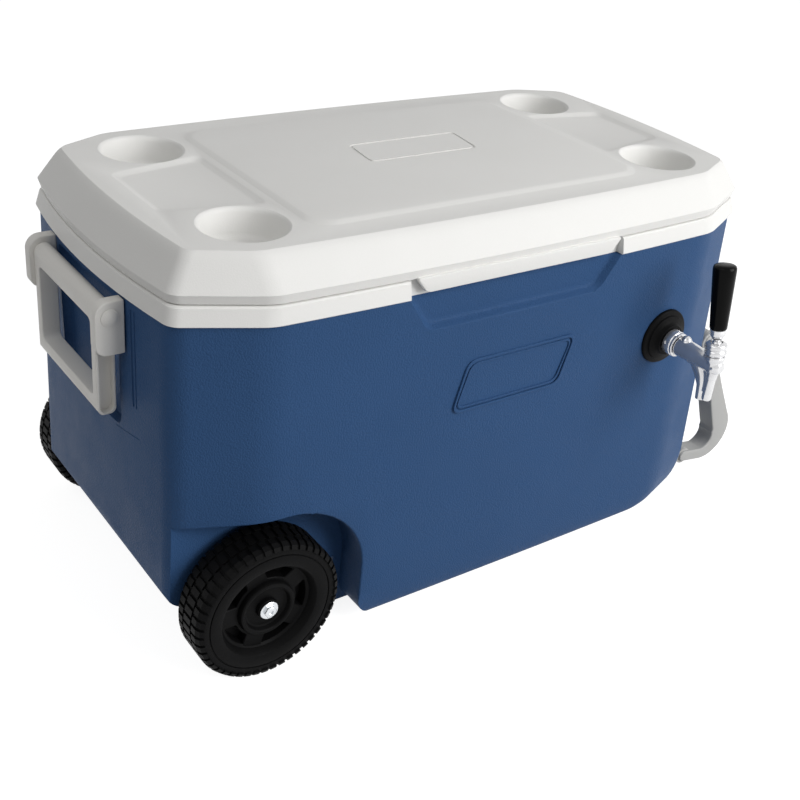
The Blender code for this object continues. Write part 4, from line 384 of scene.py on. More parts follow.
def softened(corners: Sequence[Flat], radius: float, steps: int = 6, closed: bool = True) -> list[Flat]:
    """An outline with its corners rounded by short curves, shorter where its sides are short.

    Args:
        corners: the outline's corners.
        radius: how far from a corner its curve starts.
        steps: pieces in each curve.
        closed: whether the last corner joins the first; if not, both ends stay sharp.

    Returns:
        The rounded outline.
    """
    made: list[Flat] = []
    count = len(corners)
    for i, corner in enumerate(corners):
        if not closed and i in (0, count - 1):
            made.append(tuple(corner))
            continue
        here = Vector(corner)
        to_before, to_after = Vector(corners[i - 1]) - here, Vector(corners[(i + 1) % count]) - here
        reach = min(radius, to_before.length * 0.45, to_after.length * 0.45)
        before, after = here + to_before.normalized() * reach, here + to_after.normalized() * reach
        for k in range(steps + 1):
            t = k / steps
            made.append(tuple(before * (1 - t) ** 2 + here * 2 * t * (1 - t) + after * t ** 2))
    return made


def arc(centre: Flat, radius: float, start: float, end: float, steps: int) -> list[Flat]:
    """Points on an arc, with angles in degrees."""
    angles = [math.radians(start + (end - start) * k / steps) for k in range(steps + 1)]
    return [(centre[0] + radius * math.cos(a), centre[1] + radius * math.sin(a)) for a in angles]


def raised(steps: Profile, level: float) -> list[Flat]:
    """A profile whose heights count from a level."""
    return [(radius, level + rise) for radius, rise in steps]


def stepped(name: str, axis: str, steps: Profile, outline: Callable[[float], Sequence[Flat]],
            turn: float, pieces: int = 6) -> Obj:
    """A solid through softened outlines along an axis.

    Args:
        name: the object's name.
        axis: the axis that the outlines are square to.
        steps: the level and the inset of each outline.
        outline: gives the corners of the outline for an inset.
        turn: how far from a corner its rounding starts.
        pieces: pieces in each rounding.

    Returns:
        The new object.
    """
    return Bench.loft(name, [
        [on_plane(axis, level, u, v) for u, v in softened(outline(inset), turn, pieces)]
        for level, inset in steps])


class Flow:
    """A shader value; sums and products of it add Math nodes."""

    def __init__(self, shader: "Shader", socket: bpy.types.NodeSocket) -> None:
        """Wrap a node's output socket."""
        self.shader = shader
        self.socket = socket

    def _math(self, operation: str, other: object) -> "Flow":
        """Add one Math node."""
        return self.shader.node("ShaderNodeMath", {"operation": operation}, {0: self, 1: other})

    def __add__(self, other: object) -> "Flow":
        """Sum."""
        return self._math("ADD", other)

    def __mul__(self, other: object) -> "Flow":
        """Product."""
        return self._math("MULTIPLY", other)


class Shader:
    """One material's node tree, with its Principled shader."""

    def __init__(self, slot: str) -> None:
        """Make a material with a Principled shader for one slot, named after the slot.

        Args:
            slot: the slot's name, which starts the material's name.
        """
        self.slot = slot
        self.material = bpy.data.materials.new(slot + "_finish")
        self.material.use_nodes = True
        self.tree = self.material.node_tree
        self.principled = self.tree.nodes["Principled BSDF"]

    def node(self, kind: str, settings: dict | None = None, inputs: dict | None = None,
             output: int | str = 0) -> Flow:
        """Add a node.

        Args:
            kind: the node's type.
            settings: its own settings, such as a Math node's operation.
            inputs: a value or a Flow for each named or numbered socket.
            output: the socket that is handed back.

        Returns:
            The wrapped output.
        """
        made = self.tree.nodes.new(kind)
        for key, value in (settings or {}).items():
            setattr(made, key, value)
        for key, value in (inputs or {}).items():
            self.feed(made.inputs[key], value)
        return Flow(self, made.outputs[output])

    def feed(self, socket: bpy.types.NodeSocket, value: object) -> None:
        """Link a Flow to a socket, or set the socket's value.

        Args:
            socket: the input.
            value: a Flow, or a plain value.
        """
        if isinstance(value, Flow):
            self.tree.links.new(value.socket, socket)
        else:
            socket.default_value = value

    def set(self, **values: object) -> None:
        """Set or link the Principled shader's sockets; underscores stand for spaces."""
        for key, value in values.items():
            self.feed(self.principled.inputs[key.replace("_", " ")], value)

    def coordinates(self, stretch: Place = (1, 1, 1)) -> Flow:
        """Object coordinates, scaled along each axis."""
        place = self.node("ShaderNodeTexCoord", output="Object")
        return self.node("ShaderNodeMapping", inputs={"Vector": place, "Scale": tuple(stretch)})

    def noise(self, size: float, detail: float = 2.0, stretch: Place = (1, 1, 1),
              roughness: float = 0.5) -> Flow:
        """Noise with features of a size in metres, as a number about 0.5.

        Args:
            size: the size of its features in metres.
            detail: its detail.
            stretch: the scale along each axis.
            roughness: the detail's roughness.

        Returns:
            The noise.
        """
        return self.node("ShaderNodeTexNoise", inputs={
            "Vector": self.coordinates(stretch), "Scale": 1.0 / size, "Detail": detail,
            "Roughness": roughness}, output=0)

    def bands(self, value: Flow, low: float, high: float) -> Flow:
        """Stretch a value so that low becomes 0 and high becomes 1."""
        return self.node("ShaderNodeMapRange", {"clamp": True},
                         {0: value, 1: low, 2: high, 3: 0.0, 4: 1.0})

    def tint(self, factor: Flow, first: Place, second: Place) -> Flow:
        """A colour between two, by a factor."""
        return self.node("ShaderNodeMix", {"data_type": "RGBA"},
                         {0: factor, 6: (*first, 1.0), 7: (*second, 1.0)}, output=2)

    def bump(self, height: Flow, depth: float) -> Flow:
        """A bump normal from a height of 0 to 1, deep in metres."""
        return self.node("ShaderNodeBump", inputs={"Height": height, "Distance": depth, "Strength": 1.0})


@dataclass(frozen=True)
class Finish:
    """A surface finish: its slot and the sizes of its texture."""

    slot: str
    colour: tuple[float, float, float]
    roughness: float = 0.5

    def shader(self) -> Shader:
        """The finish's shader, ready to be used.

        Returns:
            The dressed shader.
        """
        shader = Shader(self.slot)
        self.dress(shader)
        shader.material.diffuse_color = (*self.colour, 1.0)
        return shader

    def dress(self, shader: Shader) -> None:
        """Set the Principled shader."""
        raise NotImplementedError


@dataclass(frozen=True)
class Moulded(Finish):
    """Moulded plastic: a fine pebbled grain, slow mottling and worn patches."""

    grain: float = 0.0014
    grain_depth: float = 0.00006
    mottle: float = 0.06
    specular: float = 0.4

    def dress(self, shader: Shader) -> None:
        """Grain as bump, mottling in the colour, wear in the roughness.

        Args:
            shader: the shader to set.
        """
        slow = shader.noise(0.12, 3.0)
        dark = tuple(c * (1 - self.mottle) for c in self.colour)
        light = tuple(min(1.0, c * (1 + self.mottle)) for c in self.colour)
        speck = shader.bands(shader.noise(self.grain, 1.5), 0.3, 0.7)
        worn = shader.bands(shader.noise(0.035, 4.0, roughness=0.7), 0.35, 0.75)
        shader.set(Base_Color=shader.tint(slow * 0.6 + speck * 0.4, dark, light),
                   Roughness=worn * 0.1 + speck * 0.06 + (self.roughness - 0.08),
                   Normal=shader.bump(speck, self.grain_depth), Specular_IOR_Level=self.specular)


@dataclass(frozen=True)
class Plated(Finish):
    """Polished or drawn metal, with faint smudges and, where drawn, fine lines."""

    smudge: float = 0.06
    metal: float = 1.0
    lines: float = 0.0
    stretch: tuple[float, float, float] = (1, 1, 1)

    def dress(self, shader: Shader) -> None:
        """Smudges in the roughness, lines as bump.

        Args:
            shader: the shader to set.
        """
        haze = shader.bands(shader.noise(0.018, 4.0, roughness=0.65), 0.35, 0.75)
        dark = tuple(c * 0.9 for c in self.colour)
        shader.set(Base_Color=shader.tint(haze, self.colour, dark), Metallic=self.metal,
                   Roughness=haze * self.smudge + self.roughness)
        if self.lines:
            scratch = shader.bands(shader.noise(0.0009, 2.0, self.stretch), 0.35, 0.7)
            shader.set(Normal=shader.bump(scratch, self.lines))


@dataclass(frozen=True)
class Rubbery(Finish):
    """Black rubber or dull hard plastic, dusty and slightly pitted."""

    dust: float = 0.35
    pits: float = 0.00008
    specular: float = 0.05

    def dress(self, shader: Shader) -> None:
        """Dust in the colour, pits as bump.

        Args:
            shader: the shader to set.
        """
        patches = shader.bands(shader.noise(0.02, 5.0, roughness=0.7), 0.45, 0.8)
        pale = tuple(c + 0.02 * self.dust + c * self.dust for c in self.colour)
        pits = shader.bands(shader.noise(0.0012, 2.0), 0.35, 0.7)
        shader.set(Base_Color=shader.tint(patches, self.colour, pale),
                   Roughness=patches * 0.15 + self.roughness, Normal=shader.bump(pits, self.pits),
                   Specular_IOR_Level=self.specular)


@dataclass(frozen=True)
class Foamed(Finish):
    """Rigid insulating foam with open cells."""

    def dress(self, shader: Shader) -> None:
        """Cells as bump and as darker specks.

        Args:
            shader: the shader to set.
        """
        cells = shader.bands(shader.noise(0.0018, 3.0, roughness=0.6), 0.35, 0.65)
        dark = tuple(c * 0.8 for c in self.colour)
        shader.set(Base_Color=shader.tint(cells, dark, self.colour),
                   Roughness=cells * 0.05 + self.roughness, Normal=shader.bump(cells, 0.0004))


class Finishes:
    """Every finish of the cooler, made once."""

    def __init__(self) -> None:
        """Make the materials."""
        self.blue = Moulded("blue_shell", (0.034, 0.082, 0.19), 0.44, grain=0.0016,
                            grain_depth=0.00026, mottle=0.1, specular=0.04).shader()
        self.white = Moulded("white_plastic", (0.8, 0.795, 0.775), 0.48, grain=0.0012,
                             grain_depth=0.00004, mottle=0.015, specular=0.2).shader()
        # Two copies of one light grey plastic, with colours set for how light falls: the darker copy for
        # the tow handle, which stands in the key light, and for the hinges; the paler copy for the bail,
        # its cheeks and studs, painted lighter to stand in for light that the shaded wheel end doesn't
        # get.
        self.grey = Moulded("light_grey_plastic", (0.44, 0.44, 0.43), 0.46, grain=0.001,
                            grain_depth=0.00003, mottle=0.02, specular=0.25).shader()
        self.pale = Moulded("light_grey_plastic", (0.8, 0.785, 0.75), 0.46, grain=0.001,
                            grain_depth=0.00003, mottle=0.02, specular=0.2).shader()
        self.black = Rubbery("black_plastic", (0.0035, 0.0035, 0.0037), 0.46, 0.05, 0.00006).shader()
        self.gloss = Moulded("black_plastic", (0.003, 0.003, 0.003), 0.2, grain=0.004,
                             grain_depth=0.00001, mottle=0.05, specular=0.07).shader()
        self.rubber = Rubbery("black_rubber", (0.013, 0.013, 0.013), 0.62, 0.4).shader()
        self.chrome = Plated("chrome", (0.74, 0.74, 0.75), 0.13, 0.07, 0.72).shader()
        self.steel = Plated("stainless_steel", (0.62, 0.62, 0.61), 0.24, smudge=0.1, lines=0.00002,
                            stretch=(1, 1, 6)).shader()
        self.zinc = Plated("stainless_steel", (0.7, 0.72, 0.74), 0.22, 0.12).shader()
        self.foam = Foamed("insulating_foam", (0.78, 0.68, 0.42), 0.9).shader()


@dataclass
class Assembly:
    """A sub-assembly of the cooler, which hands its pieces to the frame."""

    finishes: Finishes

    @staticmethod
    def place(obj: Obj, name: str, shader: Shader, body: Body, *nodes: str,
              angle: float = 32.0, moved: bool = False) -> None:
        """Finish a piece and fix it to its body.

        Args:
            obj: the piece's object, with its place in its mesh.
            name: the piece's name.
            shader: its finish.
            body: the body that it rides on.
            nodes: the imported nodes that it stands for.
            angle: edges sharper than this stay sharp in the shading, in degrees.
            moved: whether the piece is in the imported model's frame already.
        """
        if not moved:
            obj.data.transform(Matrix.Translation(FRAME_SHIFT))
        Bench.smooth(obj, angle)
        obj.name = name
        obj.data.name = name
        obj.data.materials.clear()
        obj.data.materials.append(shader.material)
        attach(obj, body.value)
        if nodes:
            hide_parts(*nodes)
        LOG.info("%s rides on %s", name, body.value)

    @staticmethod
    def dress_node(node: str, shader: Shader) -> None:
        """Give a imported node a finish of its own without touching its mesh.

        Args:
            node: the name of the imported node.
            shader: its finish.
        """
        obj = frame["nodes"][node]
        for place in obj.material_slots:
            place.link = "OBJECT"
            place.material = shader.material
        LOG.info("%s keeps its packed mesh", node)

    def eased(self, node: str, shader: Shader, body: Body, width: float, segments: int = 3,
              name: str = "", angle: float = 32.0) -> None:
        """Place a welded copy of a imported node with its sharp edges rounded.

        Args:
            node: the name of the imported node.
            shader: its finish.
            body: the body that it rides on.
            width: the width of the rounding.
            segments: pieces in the rounding.
            name: the piece's name, where it isn't made from the node's.
            angle: edges sharper than this stay sharp in the shading, in degrees.
        """
        source = frame["nodes"][node]
        obj = bpy.data.objects.new(node + "_eased", source.data.copy())
        bpy.context.scene.collection.objects.link(obj)
        with Bench.editing(obj):
            bpy.ops.mesh.remove_doubles(threshold=MERGE)
            bpy.ops.mesh.dissolve_limited(angle_limit=math.radians(1.0))
        Bench.ease(obj, width, segments, 40.0)
        self.place(obj, name or f"eased_{node}", shader, body, node, angle=angle, moved=True)


@dataclass(frozen=True)
class Section:
    """The cooler's outline at one height: half lengths, half depth, bows and corner cuts."""

    z: float
    left: float
    right: float
    depth: float
    bow_x: float
    bow_y: float
    cut_x: float
    cut_y: float

    def grown(self, amount: float, z: float | None = None) -> "Section":
        """The same outline moved outwards, at its own height or another."""
        return replace(self, z=self.z if z is None else z, left=self.left + amount,
                       right=self.right + amount, depth=self.depth + amount)

    def toward(self, other: "Section", share: float) -> "Section":
        """A section between this one and another."""
        return Section(*(a + (b - a) * share for a, b in zip(astuple(self), astuple(other))))


@dataclass(frozen=True)
class Form:
    """The outer forms that the shell, the liner and the lid share."""

    height: float = 0.4445
    rim_half_length: float = 0.37
    rim_half_depth: float = 0.1966
    rim_low: float = 0.3815
    seam: float = 0.399
    rim_inset: float = 0.0034
    corner_round: float = 0.0095
    body_corner_round: float = 0.018
    lip_thick: float = 0.006
    lip_room: float = 0.003
    lid_skin: float = 0.0032
    lid_chamfer: float = 0.0014
    corner_steps: int = 7
    end_steps: int = 12
    front_steps: int = 16
    shell_inset: float = 0.0022
    skin: float = 0.003
    base: float = 0.0115
    low: float = 0.06
    foot_steps: int = 9
    mouth_half_length: float = 0.3175
    mouth_half_depth: float = 0.1515
    mouth_cut: float = 0.042
    floor: float = 0.058
    tub_taper: float = 0.011
    ridge: float = 0.41
    top: float = 0.442
    end_bow: float = 0.0143
    front_bow: float = 0.0062
    rim_cut: Flat = (0.094, 0.0425)
    body_taper: Point = (0.007, -0.0028, 0.004)
    low_bow: Flat = (0.004, 0.002)
    low_cut: Flat = (0.086, 0.031)
    levels: Flat = (0.17, 0.28)
    foot_insets: Point = (0.01, 0.03, 0.0085)
    lid_half_length: float = 0.3675
    lid_half_depth: float = 0.1939
    undercut: float = 0.003
    crown_inset: float = 0.0259
    crown_bow: Flat = (0.0093, 0.0051)
    crown_cut: Flat = (0.0644, 0.0302)
    crown_steps: int = 12

    def ring(self, section: Section) -> Ring:
        """Points round a section: four bowed sides joined by softened corner cuts.

        Args:
            section: the section.

        Returns:
            The ring's points in order.
        """
        inner_x = {-1: section.left - section.bow_x, 1: section.right - section.bow_x}
        reach_y, stop_y = section.depth - section.bow_y, section.depth - section.cut_y
        corners: list[Flat] = []
        for side_x, side_y in ((1, 1), (-1, 1), (-1, -1), (1, -1)):
            full = section.left if side_x < 0 else section.right
            end_corner = (side_x * inner_x[side_x], side_y * stop_y)
            long_corner = (side_x * (full - section.cut_x), side_y * reach_y)
            corners += [end_corner, long_corner] if side_x == side_y else [long_corner, end_corner]
        soft = softened(corners, self.corner_round, self.corner_steps)
        each = self.corner_steps + 1
        outline: list[Flat] = []
        for i in range(len(corners)):
            outline += soft[i * each:(i + 1) * each]
            if i % 2:
                last, after = Vector(soft[(i + 1) * each - 1]), Vector(soft[((i + 1) * each) % len(soft)])
                steps = self.front_steps if i % 4 == 1 else self.end_steps
                outline += [tuple(last.lerp(after, k / steps)) for k in range(1, steps)]
        return [self._bowed(x, y, section, stop_y) for x, y in outline]

    @staticmethod
    def _bowed(x: float, y: float, section: Section, stop_y: float) -> tuple[float, float, float]:
        """Push a point outwards by the bow of its side.

        Args:
            x: the point's X.
            y: the point's Y.
            section: the section.
            stop_y: how far along Y the bow of an end reaches.

        Returns:
            The pushed point.
        """
        full = section.left if x < 0 else section.right
        stop_x = full - section.cut_x
        if abs(x) < stop_x:
            y += math.copysign(section.bow_y * (1 - (x / stop_x) ** 2), y)
        if abs(y) < stop_y:
            x += math.copysign(section.bow_x * (1 - (y / stop_y) ** 2), x)
        return (x, y, section.z)

    def rim(self, z: float) -> Section:
        """The white rim's outline.

        Args:
            z: the height.

        Returns:
            The section.
        """
        low = Section(self.rim_low, self.rim_half_length, self.rim_half_length, self.rim_half_depth,
                      self.end_bow, self.front_bow, *self.rim_cut)
        share = (z - self.rim_low) / (self.seam - self.rim_low)
        return low.toward(low.grown(-self.rim_inset, self.seam), share)

    def body(self, z: float) -> Section:
        """The blue shell's outline above the rounding of its foot.

        Args:
            z: the height.

        Returns:
            The section.
        """
        top = self.rim(self.rim_low).grown(-self.shell_inset, self.rim_low - GAP)
        left, right, depth = self.body_taper
        low = Section(self.low, top.left - left, top.right - right, top.depth - depth, *self.low_bow,
                      *self.low_cut)
        return replace(low.toward(top, (z - self.low) / (top.z - self.low)), z=z)

    def foot(self, growth: float) -> list[Section]:
        """Outlines that round the bottom edge, from the base upwards.

        Args:
            growth: how far outwards the form is moved.

        Returns:
            The outlines.
        """
        made = []
        low = self.body(self.low)
        left, right, depth = self.foot_insets
        for k in range(self.foot_steps):
            angle = math.radians(90) * k / self.foot_steps
            inset = 1 - math.sin(angle)
            z = self.base - growth + (self.low - self.base) * (1 - math.cos(angle))
            made.append(replace(low, z=z, left=low.left - left * inset, right=low.right - right * inset,
                                depth=low.depth - depth * inset ** 2).grown(growth))
        return made

    def body_solid(self, name: str, growth: float, top: float) -> Obj:
        """The shell's outer form, grown or shrunk, up to a height.

        Args:
            name: the object's name.
            growth: how far outwards the form is moved.
            top: the upper height.

        Returns:
            The new object.
        """
        sections = self.foot(growth)
        sections += [self.body(z).grown(growth) for z in (self.low, *self.levels, self.rim_low - GAP)]
        if top > self.rim_low:
            sections.append(self.body(self.rim_low - GAP).grown(growth, top))
        rounder = replace(self, corner_round=self.body_corner_round)
        return rounder.loft(name, sections)

    def loft(self, name: str, sections: Sequence[Section]) -> Obj:
        """A solid through sections."""
        return Bench.loft(name, [self.ring(section) for section in sections])

    @staticmethod
    def _reach(half: float, bow: float, at: float, stop: float) -> float:
        """How far out a bowed side stands, some way along it from its middle."""
        return half - bow + bow * max(0.0, 1 - (at / stop) ** 2)

    def front_wall(self, x: float, z: float) -> float:
        """Where the front wall's outer face is, as a negative Y."""
        section = self.body(z)
        return -self._reach(section.depth, section.bow_y, x, section.right - section.cut_x)

    def far_wall(self, y: float, z: float) -> float:
        """Where the outer face of the far end wall is."""
        section = self.body(z)
        return self._reach(section.right, section.bow_x, y, section.depth - section.cut_y)

    def near_wall(self, y: float, z: float) -> float:
        """Where the outer face of the wheel end's wall is, as a negative X."""
        section = self.body(z)
        return -self._reach(section.left, section.bow_x, y, section.depth - section.cut_y)

    def mouth(self, z: float, growth: float = 0.0) -> Section:
        """The inside of the liner at a height.

        Args:
            z: the height.
            growth: how far outwards the form is moved.

        Returns:
            The section.
        """
        size = growth - self.tub_taper * (self.seam - z) / (self.seam - self.floor)
        return Section(z, self.mouth_half_length + size, self.mouth_half_length + size,
                       self.mouth_half_depth + size, self.end_bow / 2, self.front_bow / 2,
                       self.mouth_cut, self.mouth_cut)

    def lid(self, z: float) -> Section:
        """The lid's outline: a small undercut up to the ridge, then a rounded crown.

        Args:
            z: the height.

        Returns:
            The section.
        """
        ridge = Section(self.ridge, self.lid_half_length, self.lid_half_length, self.lid_half_depth,
                        self.end_bow, self.front_bow, *self.rim_cut)
        if z <= self.ridge:
            return ridge.grown(-self.undercut * (self.ridge - z) / (self.ridge - self.seam - GAP), z)
        (bow_x, bow_y), (cut_x, cut_y) = self.crown_bow, self.crown_cut
        top = replace(ridge.grown(-self.crown_inset, self.top), bow_x=bow_x, bow_y=bow_y, cut_x=cut_x,
                      cut_y=cut_y)
        rise = min(1.0, (z - self.ridge) / (self.top - self.ridge))
        return replace(ridge.toward(top, 0.9 * rise + 0.1 * rise ** 12), z=z)

    def lid_solid(self, name: str, growth: float, low: float, top: float) -> Obj:
        """The lid's outer form grown or shrunk, closed at a lower and an upper height.

        Args:
            name: the object's name.
            growth: how far outwards the form is moved.
            low: the lower height.
            top: the upper height.

        Returns:
            The new object.
        """
        squash = (top - self.ridge) / (self.top - self.ridge)
        sections = [self.lid(self.seam + GAP).grown(growth - self.lid_chamfer, low),
                    self.lid(self.seam + GAP + self.lid_chamfer).grown(growth)]
        for k in range(self.crown_steps + 1):
            turn = math.radians(90) * k / self.crown_steps
            z = self.ridge + (self.top - self.ridge) * math.sin(turn)
            sections.append(self.lid(z).grown(growth, self.ridge + (z - self.ridge) * squash))
        return self.loft(name, sections)


FORM = Form()


def bores() -> list[Obj]:
    """The tap's bore through the front wall, and the inlet's and the drain's through the far end.

    Returns:
        The new objects.
    """
    front, far = -FORM.rim_half_depth - OVERRUN, FORM.rim_half_length + OVERRUN
    front_stop, far_stop = -0.1, 0.26
    return [Bench.rod("tap_bore", SHANK_BORE, (TAP[0], front, TAP[1]), (TAP[0], front_stop, TAP[1])),
            Bench.rod("inlet_bore", SHANK_BORE, (far_stop, *INLET), (far, *INLET)),
            Bench.rod("drain_bore", DRAIN_BORE, (far_stop, *DRAIN), (far, *DRAIN))]


def seat() -> Obj:
    """The shell's form a gap larger, which is cut from what stands against its walls."""
    return FORM.body_solid("seat", GAP, FORM.rim_low - GAP)


@dataclass(frozen=True)
class RaisedFrame:
    """A bare frame with slanted ends and rounded corners, in the plane of a wall."""

    u: float
    v: float
    half_width: float
    half_height: float
    slant: float
    line: float = 0.003
    rounding: float = 0.009

    def outline(self, inset: float) -> list[Flat]:
        """The frame's outline moved inwards.

        Args:
            inset: how far inwards the outline is moved.

        Returns:
            The outline.
        """
        low, high = self.v - self.half_height + inset, self.v + self.half_height - inset
        corners = [(self.u - self.half_width - self.slant + inset, low),
                   (self.u + self.half_width - self.slant - inset, low),
                   (self.u + self.half_width + self.slant - inset, high),
                   (self.u - self.half_width + self.slant + inset, high)]
        return softened(corners, self.rounding - inset / 2, 8)

    def band(self, name: str, near: float, far: float, axis: str, inset: float = 0.0
             ) -> Obj:
        """The frame as a band between two depths.

        Args:
            name: the object's name.
            near: where it starts along the axis.
            far: where it ends along the axis.
            axis: the axis that it is square to.
            inset: how far inwards the outline is moved.

        Returns:
            The new object.
        """
        made = Bench.plate(name, self.outline(inset), near, far, axis)
        deep = (far - near) * 0.5
        Bench.cut(made, Bench.plate(name + "_hole", self.outline(inset + self.line), near - deep,
                                    far + deep, axis))
        return made


@dataclass
class BlueShell(Assembly):
    """The pebbled blue shell with its wheel wells, grip, hand recess and bare frame."""

    wheel_x: float = -0.273
    axle_z: float = 0.079
    axle_radius: float = 0.006
    well_top: float = 0.174
    well_round: float = 0.094
    well_right: float = -0.158
    well_inner: float = 0.152
    arch_turn: float = 0.026
    arch_bevel: float = 0.0022
    arch_left: float = -0.35
    bay_right: float = -0.168
    bay_z: float = 0.0727
    bay_turn: float = 0.032
    grip_low_half: float = 0.11
    grip_top_half: float = 0.135
    grip_low: float = 0.345
    grip_turn: float = 0.01
    grip_steps: Profile = ((-0.009, 0.009), (-0.001, 0.0036), (-0.0001, 0.0018), (0.0008, 0.0006),
                           (0.0022, -0.0004), (0.0066, -0.0024), (0.008, -0.0036),
                           (0.0088, -0.0056), (0.009, -0.008))
    recess_half: float = 0.068
    recess_low: float = 0.24
    recess_top: float = 0.372
    recess_turn: float = 0.012
    recess_steps: Profile = ((-0.01, 0.008), (-0.0008, 0.0026), (0.001, 0.0004),
                             (0.003, -0.0006), (0.0084, -0.003), (0.0097, -0.0048),
                             (0.01, -0.0075))
    lines: Sequence[tuple[Flat, Flat, float]] = (((0.093, 0.275), (0.093, 0.373), 0.0016),
                                                 ((0.0985, 0.275), (0.0985, 0.373), 0.0011),
                                                 ((0.056, 0.236), (0.102, 0.244), 0.0006))
    frame: RaisedFrame = RaisedFrame(0.01, 0.2715, 0.072, 0.0295, 0.007, rounding=0.0125)
    frame_bands: Sequence[Point] = ((0.003, 0.0018, 0.0), (0.0022, 0.0013, 0.0046))
    frame_ease: float = 0.0007

    def build(self) -> None:
        """Loft the shell, hollow it, press its recesses in and add its frame."""
        shell = FORM.body_solid("shell", 0.0, FORM.rim_low - GAP)
        hollow = FORM.body_solid("hollow", -FORM.skin, FORM.rim_low + OVERRUN)
        Bench.cut(hollow, *self.recesses(FORM.skin))
        Bench.cut(shell, *self._wells(0.0))
        self._round_arches(shell)
        Bench.cut(shell, self._grip(0.0), self._hand_recess(0.0), *self._side_lines())
        Bench.cut(shell, hollow)
        Bench.join(shell, self._front_frame())
        Bench.cut(shell, *bores())
        self.place(shell, "blue_shell", self.finishes.blue, Body.COOLER, "body_shell", angle=28.0)

    def recesses(self, growth: float) -> list[Obj]:
        """All that is pressed into the shell, grown by a skin or a gap."""
        return [*self._wells(growth), self._grip(growth), self._hand_recess(growth)]

    def _arch(self, growth: float) -> list[Flat]:
        """A wheel arch in XZ, open to the wheel end and below.

        Args:
            growth: how far outwards the form is moved.

        Returns:
            The outline.
        """
        centre = (self.well_right - self.well_round, self.well_top - self.well_round)
        far, turn = -FORM.rim_half_length - OVERRUN, self.arch_turn
        curve = arc(centre, self.well_round + growth, 0, 90, 24)
        foot = arc((self.well_right + turn, FORM.base + turn), turn - growth, 270, 180, 8)
        return [(far, -OVERRUN), (self.well_right + turn, -OVERRUN), *foot, *curve,
                (far, self.well_top + growth)]

    def _wells(self, growth: float) -> list[Obj]:
        """Both wheel wells, the raised underside between them and the axle's channel.

        Args:
            growth: how far outwards the form is moved.

        Returns:
            The new objects.
        """
        reach, inner = FORM.rim_half_depth + OVERRUN, self.well_inner - growth
        half = self.axle_radius + 2 * GAP + growth
        end = -FORM.body(self.bay_z).left
        turn, ceiling = self.bay_turn - growth, self.bay_z + growth
        far, right = -FORM.rim_half_length - OVERRUN, self.bay_right + growth
        bay = [(far, -OVERRUN), (right, -OVERRUN), (right, ceiling),
               *arc((end + growth + turn, ceiling + turn), turn, 270, 180, 10), (far, ceiling + turn)]
        return [Bench.plate("well_front", self._arch(growth), -reach, -inner, "Y"),
                Bench.plate("well_back", self._arch(growth), inner, reach, "Y"),
                Bench.plate("bay", bay, -reach, reach, "Y"),
                Bench.block("channel", (self.wheel_x - half, -reach, self.bay_z - OVERRUN),
                            (self.wheel_x + half, reach, self.axle_z + half))]

    def _round_arches(self, shell: Obj) -> None:
        """Round the edge between the outer wall and each arch.

        Args:
            shell: the shell with its wells cut.
        """
        centre = Vector((self.well_right - self.well_round, self.well_top - self.well_round))
        near, clear = 0.0001, 0.0005

        def on_arch(point: Vector) -> bool:
            """Whether a point is on an arch's rim, clear of its foot.

            Args:
                point: the point.

            Returns:
                True where it is.
            """
            if abs(point.y) < self.well_inner + 0.004 or point.z < FORM.base + 0.012:
                return False
            if point.x > centre.x and point.z > centre.y:
                return abs((Vector((point.x, point.z)) - centre).length - self.well_round) < 4 * near
            if point.z <= centre.y:
                return (abs(point.x - self.well_right) < near
                        and point.z > FORM.base + self.arch_turn + clear)
            return abs(point.z - self.well_top) < near and point.x > self.arch_left

        with Bench.editing(shell, "DESELECT"):
            bpy.ops.mesh.select_mode(type="EDGE")
            bm = bmesh.from_edit_mesh(shell.data)
            for edge in bm.edges:
                sharp = len(edge.link_faces) == 2 and edge.calc_face_angle(0.0) > math.radians(45)
                edge.select_set(sharp and all(on_arch(vert.co) for vert in edge.verts))
            bmesh.update_edit_mesh(shell.data)
            bpy.ops.mesh.bevel(offset=self.arch_bevel, segments=4, affect="EDGES",
                               clamp_overlap=False)

    @staticmethod
    def _grown(steps: Profile, face: float, growth: float) -> list[Flat]:
        """A recess's steps from a wall's face, made larger and deeper."""
        return [(face + depth + (growth if depth > 0 else 0.0), side + growth) for depth, side in steps]

    def _grip(self, growth: float) -> Obj:
        """The pressed grip under the lid's lip, with eased edges and a flat back.

        Args:
            growth: how far outwards the form is moved.

        Returns:
            The new object.
        """
        top = FORM.rim_low + OVERRUN
        flare = (self.grip_top_half - self.grip_low_half) / (FORM.rim_low - self.grip_low)

        def outline(side: float) -> list[Flat]:
            """The grip's outline in XZ, moved outwards.

            Args:
                side: how far outwards it is moved.

            Returns:
                The outline.
            """
            low, half = self.grip_low - side, self.grip_low_half + side
            top_half = self.grip_top_half + side + flare * OVERRUN
            return [(-half, low), (half, low), (top_half, top), (-top_half, top)]

        steps = self._grown(self.grip_steps, FORM.front_wall(0.0, self.grip_low), growth)
        return stepped("grip", "Y", steps, outline, self.grip_turn)

    def _hand_recess(self, growth: float) -> Obj:
        """The hollow in the wheel end behind the bail.

        Args:
            growth: how far outwards the form is moved.

        Returns:
            The new object.
        """
        def outline(side: float) -> list[Flat]:
            """The recess's outline in YZ, moved outwards."""
            half, low, top = self.recess_half + side, self.recess_low - side, self.recess_top + side
            return [(-half, low), (half, low), (half, top), (-half, top)]

        steps = self._grown(self.recess_steps, -FORM.body(self.recess_low).left, growth)
        return stepped("hand_recess", "X", steps, outline, self.recess_turn)

    def _side_lines(self) -> list[Obj]:
        """Shallow moulded lines beside and below the bail's brackets.

        Returns:
            The new objects.
        """
        return [Bench.tube("line", [(FORM.near_wall(y, z), side * y, z) for y, z in (low, high)],
                           radius, 3)
                for side, _ in SIDES for low, high, radius in self.lines]

